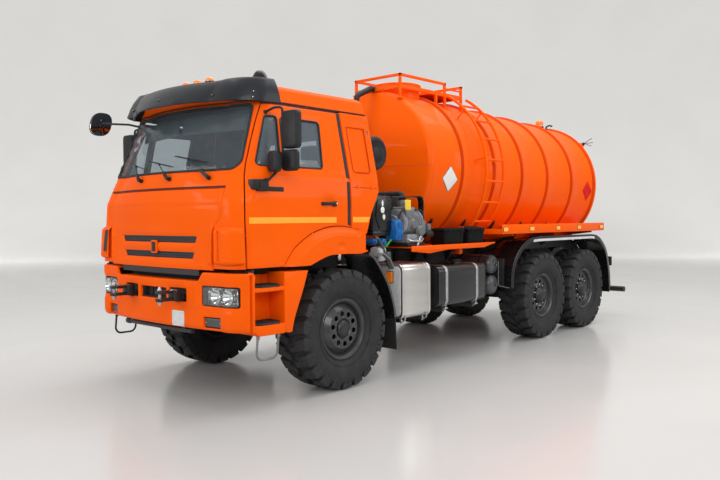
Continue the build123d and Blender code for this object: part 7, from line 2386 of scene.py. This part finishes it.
def build_air():
    g = Geo()
    prof = [(0.330, 0.0), (0.330, 0.12), (0.336, 0.170), (0.350, 0.186), (0.372, 0.190), (0.520, 0.190), (0.524, 0.186), (0.540, 0.186), (0.544, 0.190),
            (0.770, 0.190), (0.774, 0.1865), (0.782, 0.1865), (0.786, 0.190), (0.864, 0.190), (0.884, 0.184), (0.896, 0.168), (0.899, 0.145), (0.893, 0.135), (0.893, 0.070), (0.899, 0.060), (0.905, 0.045), (0.905, 0.0)]
    lathe(g, (0, 0.850, 2.430), (1, 0, 0), prof, 72, 0)
    for k in range(24):
        a = 2 * math.pi * k / 24
        c0 = Vector((0.894, 0.850 + 0.072 * math.cos(a), 2.430 + 0.072 * math.sin(a)))
        c1 = Vector((0.894, 0.850 + 0.132 * math.cos(a), 2.430 + 0.132 * math.sin(a)))
        tube(g, [c0, c1], 0.004, 0, 6, 0)
    lathe(g, (0.450, 0.850, 0), (0, 0, 1), [(1.962, 0.0), (1.962, 0.052), (1.974, 0.052), (1.976, 0.045), (2.250, 0.045), (2.252, 0.050), (2.30, 0.050)], 32, 0)
    piece("intake_drum", g, ["black_plastic"], "chassis", ["air_cleaner"], angle=35)
    g = Geo()
    VAC = [(0.060, 1.900, 3.350), (0.060, 1.700, 3.350), (0.060, 1.440, 3.230), (0.060, 1.430, 1.988), (0.885, 1.300, 1.988), (0.885, 1.300, 1.899)]
    tube(g, [Vector(p) for p in VAC], 0.0355, 0.084, 28, 0, 10)
    for c, d in (((0.885, 1.300, 1.905), (0, 0, 1)), ((0.060, 1.436, 2.60), (0, 0.01, 1)), ((0.060, 1.439, 2.95), (0, 0.01, 1))):
        lathe(g, c, d, [(-0.006, 0.036), (-0.005, 0.044), (0.008, 0.045), (0.010, 0.036)], 32, 1)
    piece("suction_pipe", g, ["rubber", "galv"], "chassis", ["vacuum_pipe"], angle=40)


def build_rear():
    g = Geo()
    q = Geo()
    rbox(q, 0.764, 1.018, 6.824, 6.872, 0.872, 1.028, 0.012, 3, 0)
    for x0, x1, m in ((0.774, 0.850, 2), (0.854, 0.930, 1), (0.934, 1.008, 3)):
        rbox(q, x0, x1, 6.868, 6.884, 0.884, 1.016, 0.006, 2, m)
        for k in range(6):
            rbox(q, x0 + 0.006, x1 - 0.006, 6.882, 6.885, 0.896 + k * 0.020, 0.904 + k * 0.020, 0.001, 1, m)
    rbox(q, 0.84, 0.93, 6.824, 6.85, 1.02, 1.050, 0.004, 2, 0)
    rbox(q, 0.44, 0.80, 6.826, 6.848, 0.91, 0.97, 0.004, 2, 0)
    g.merge(q)
    g.merge(q.mirrored())
    piece("rear_lamp_pair", g, ["black_plastic", "red", "amber_lamp", "white"], "chassis", ["rear_lights"], angle=35)


build_boxes()
build_mudguards()
build_shelf()
build_pump()
build_air()
build_rear()


# ------------------------------------------------------------- stage and light
def stage():
    # floor and a far curved wall, one pale seamless sheet
    vs, fs = [], []
    prof = [(-16.0, 0.0), (-8, 0.0), (0, 0.0), (8, 0.0), (14.0, 0.0), (20.0, 0.0)]
    R = 9.0
    for i in range(1, 17):
        a = math.pi / 2 * i / 16
        prof.append((20.0 + R * math.sin(a), R * (1 - math.cos(a))))
    prof.append((29.0, 26.0))
    vx = Vector((math.cos(math.radians(42.246)), math.sin(math.radians(42.246)), 0))
    vy = Vector((-math.sin(math.radians(42.246)), math.cos(math.radians(42.246)), 0))
    n = 9
    for i in range(n):
        s = -44 + 88 * i / (n - 1)
        for d, h in prof:
            p = vx * s + vy * d
            vs.append((p.x, p.y + YS, h))
    m = len(prof)
    for i in range(n - 1):
        for k in range(m - 1):
            fs.append((i * m + k, (i + 1) * m + k, (i + 1) * m + k + 1, i * m + k + 1))
    me = bpy.data.meshes.new("floor")
    me.from_pydata([(x, y - YS, z) for x, y, z in vs], [], fs)
    me.materials.append(MAT["floor"])
    me.polygons.foreach_set("use_smooth", [True] * len(fs))
    me.update()
    ob = bpy.data.objects.new("floor", me)
    bpy.context.scene.collection.objects.link(ob)


def area(name, loc, target, size, size_y, power, color=(1, 1, 1)):
    li = bpy.data.lights.new(name, "AREA")
    li.shape = "RECTANGLE"
    li.size, li.size_y = size, size_y
    li.energy = power
    li.color = color
    ob = bpy.data.objects.new(name, li)
    bpy.context.scene.collection.objects.link(ob)
    loc = Vector(loc)
    ob.location = loc
    d = Vector(target) - loc
    ob.rotation_euler = d.to_track_quat("-Z", "Y").to_euler()
    return ob


stage()
area("top_light", (0.5, 0.5, 9.5), (0.0, 0.0, 0.0), 9.0, 13.0, 880)
area("key_light", (10.5, -9.0, 6.5), (0.0, -0.5, 1.6), 7.0, 5.0, 560)
area("front_light", (-3.5, -12.5, 4.5), (0.0, -3.0, 1.6), 6.0, 4.0, 330)
area("side_light", (12.5, 5.5, 5.5), (0.0, 1.5, 1.6), 8.0, 4.5, 330)

world = bpy.data.worlds.new("studio")
bpy.context.scene.world = world
world.use_nodes = True
wn, wl = world.node_tree.nodes, world.node_tree.links
for n in list(wn):
    wn.remove(n)
wo = wn.new("ShaderNodeOutputWorld")
bg = wn.new("ShaderNodeBackground")
tc = wn.new("ShaderNodeTexCoord")
sp = wn.new("ShaderNodeSeparateXYZ")
wr = wn.new("ShaderNodeValToRGB")
wl.new(tc.outputs["Generated"], sp.inputs[0])
mr = wn.new("ShaderNodeMapRange")
mr.inputs["From Min"].default_value = -0.2
mr.inputs["From Max"].default_value = 1.0
wl.new(sp.outputs["Z"], mr.inputs["Value"])
wl.new(mr.outputs[0], wr.inputs[0])
wr.color_ramp.elements[0].color = (0.42, 0.41, 0.40, 1)
wr.color_ramp.elements[1].color = (1.0, 1.0, 0.99, 1)
e = wr.color_ramp.elements.new(0.3)
e.color = (0.62, 0.61, 0.59, 1)
wl.new(wr.outputs[0], bg.inputs[0])
bg.inputs[1].default_value = 0.75
wl.new(bg.outputs[0], wo.inputs[0])

cam_data = bpy.data.cameras.new("camera")
cam_data.lens = 36.11
cam_data.sensor_width = 36.0
cam_data.sensor_fit = "HORIZONTAL"
cam_data.clip_end = 200.0
cam = bpy.data.objects.new("camera", cam_data)
bpy.context.scene.collection.objects.link(cam)
ya, pe, ro = math.radians(42.246), math.radians(-1.724), math.radians(-0.371)
d = Vector((-math.sin(ya) * math.cos(pe), math.cos(ya) * math.cos(pe), math.sin(pe)))
right0 = Vector((math.cos(ya), math.sin(ya), 0))
up0 = right0.cross(d)
Rv = right0 * math.cos(ro) + up0 * math.sin(ro)
Uv = -right0 * math.sin(ro) + up0 * math.cos(ro)
M = Matrix((Rv, Uv, -d)).transposed().to_4x4()
M.translation = Vector((6.1464, -5.2149 - YS, 1.7091))
cam.matrix_world = M
bpy.context.scene.camera = cam
bpy.context.scene.view_settings.view_transform = "Standard"
bpy.context.scene.view_settings.look = "None"
bpy.context.scene.view_settings.exposure = 0.0

for node, mname in KEEP.items():
    ob = NODES[node] if isinstance(NODES, dict) and not isinstance(NODES[node], (dict, str)) else bpy.data.objects[node]
    for sl in ob.material_slots:
        sl.material = MAT[mname]
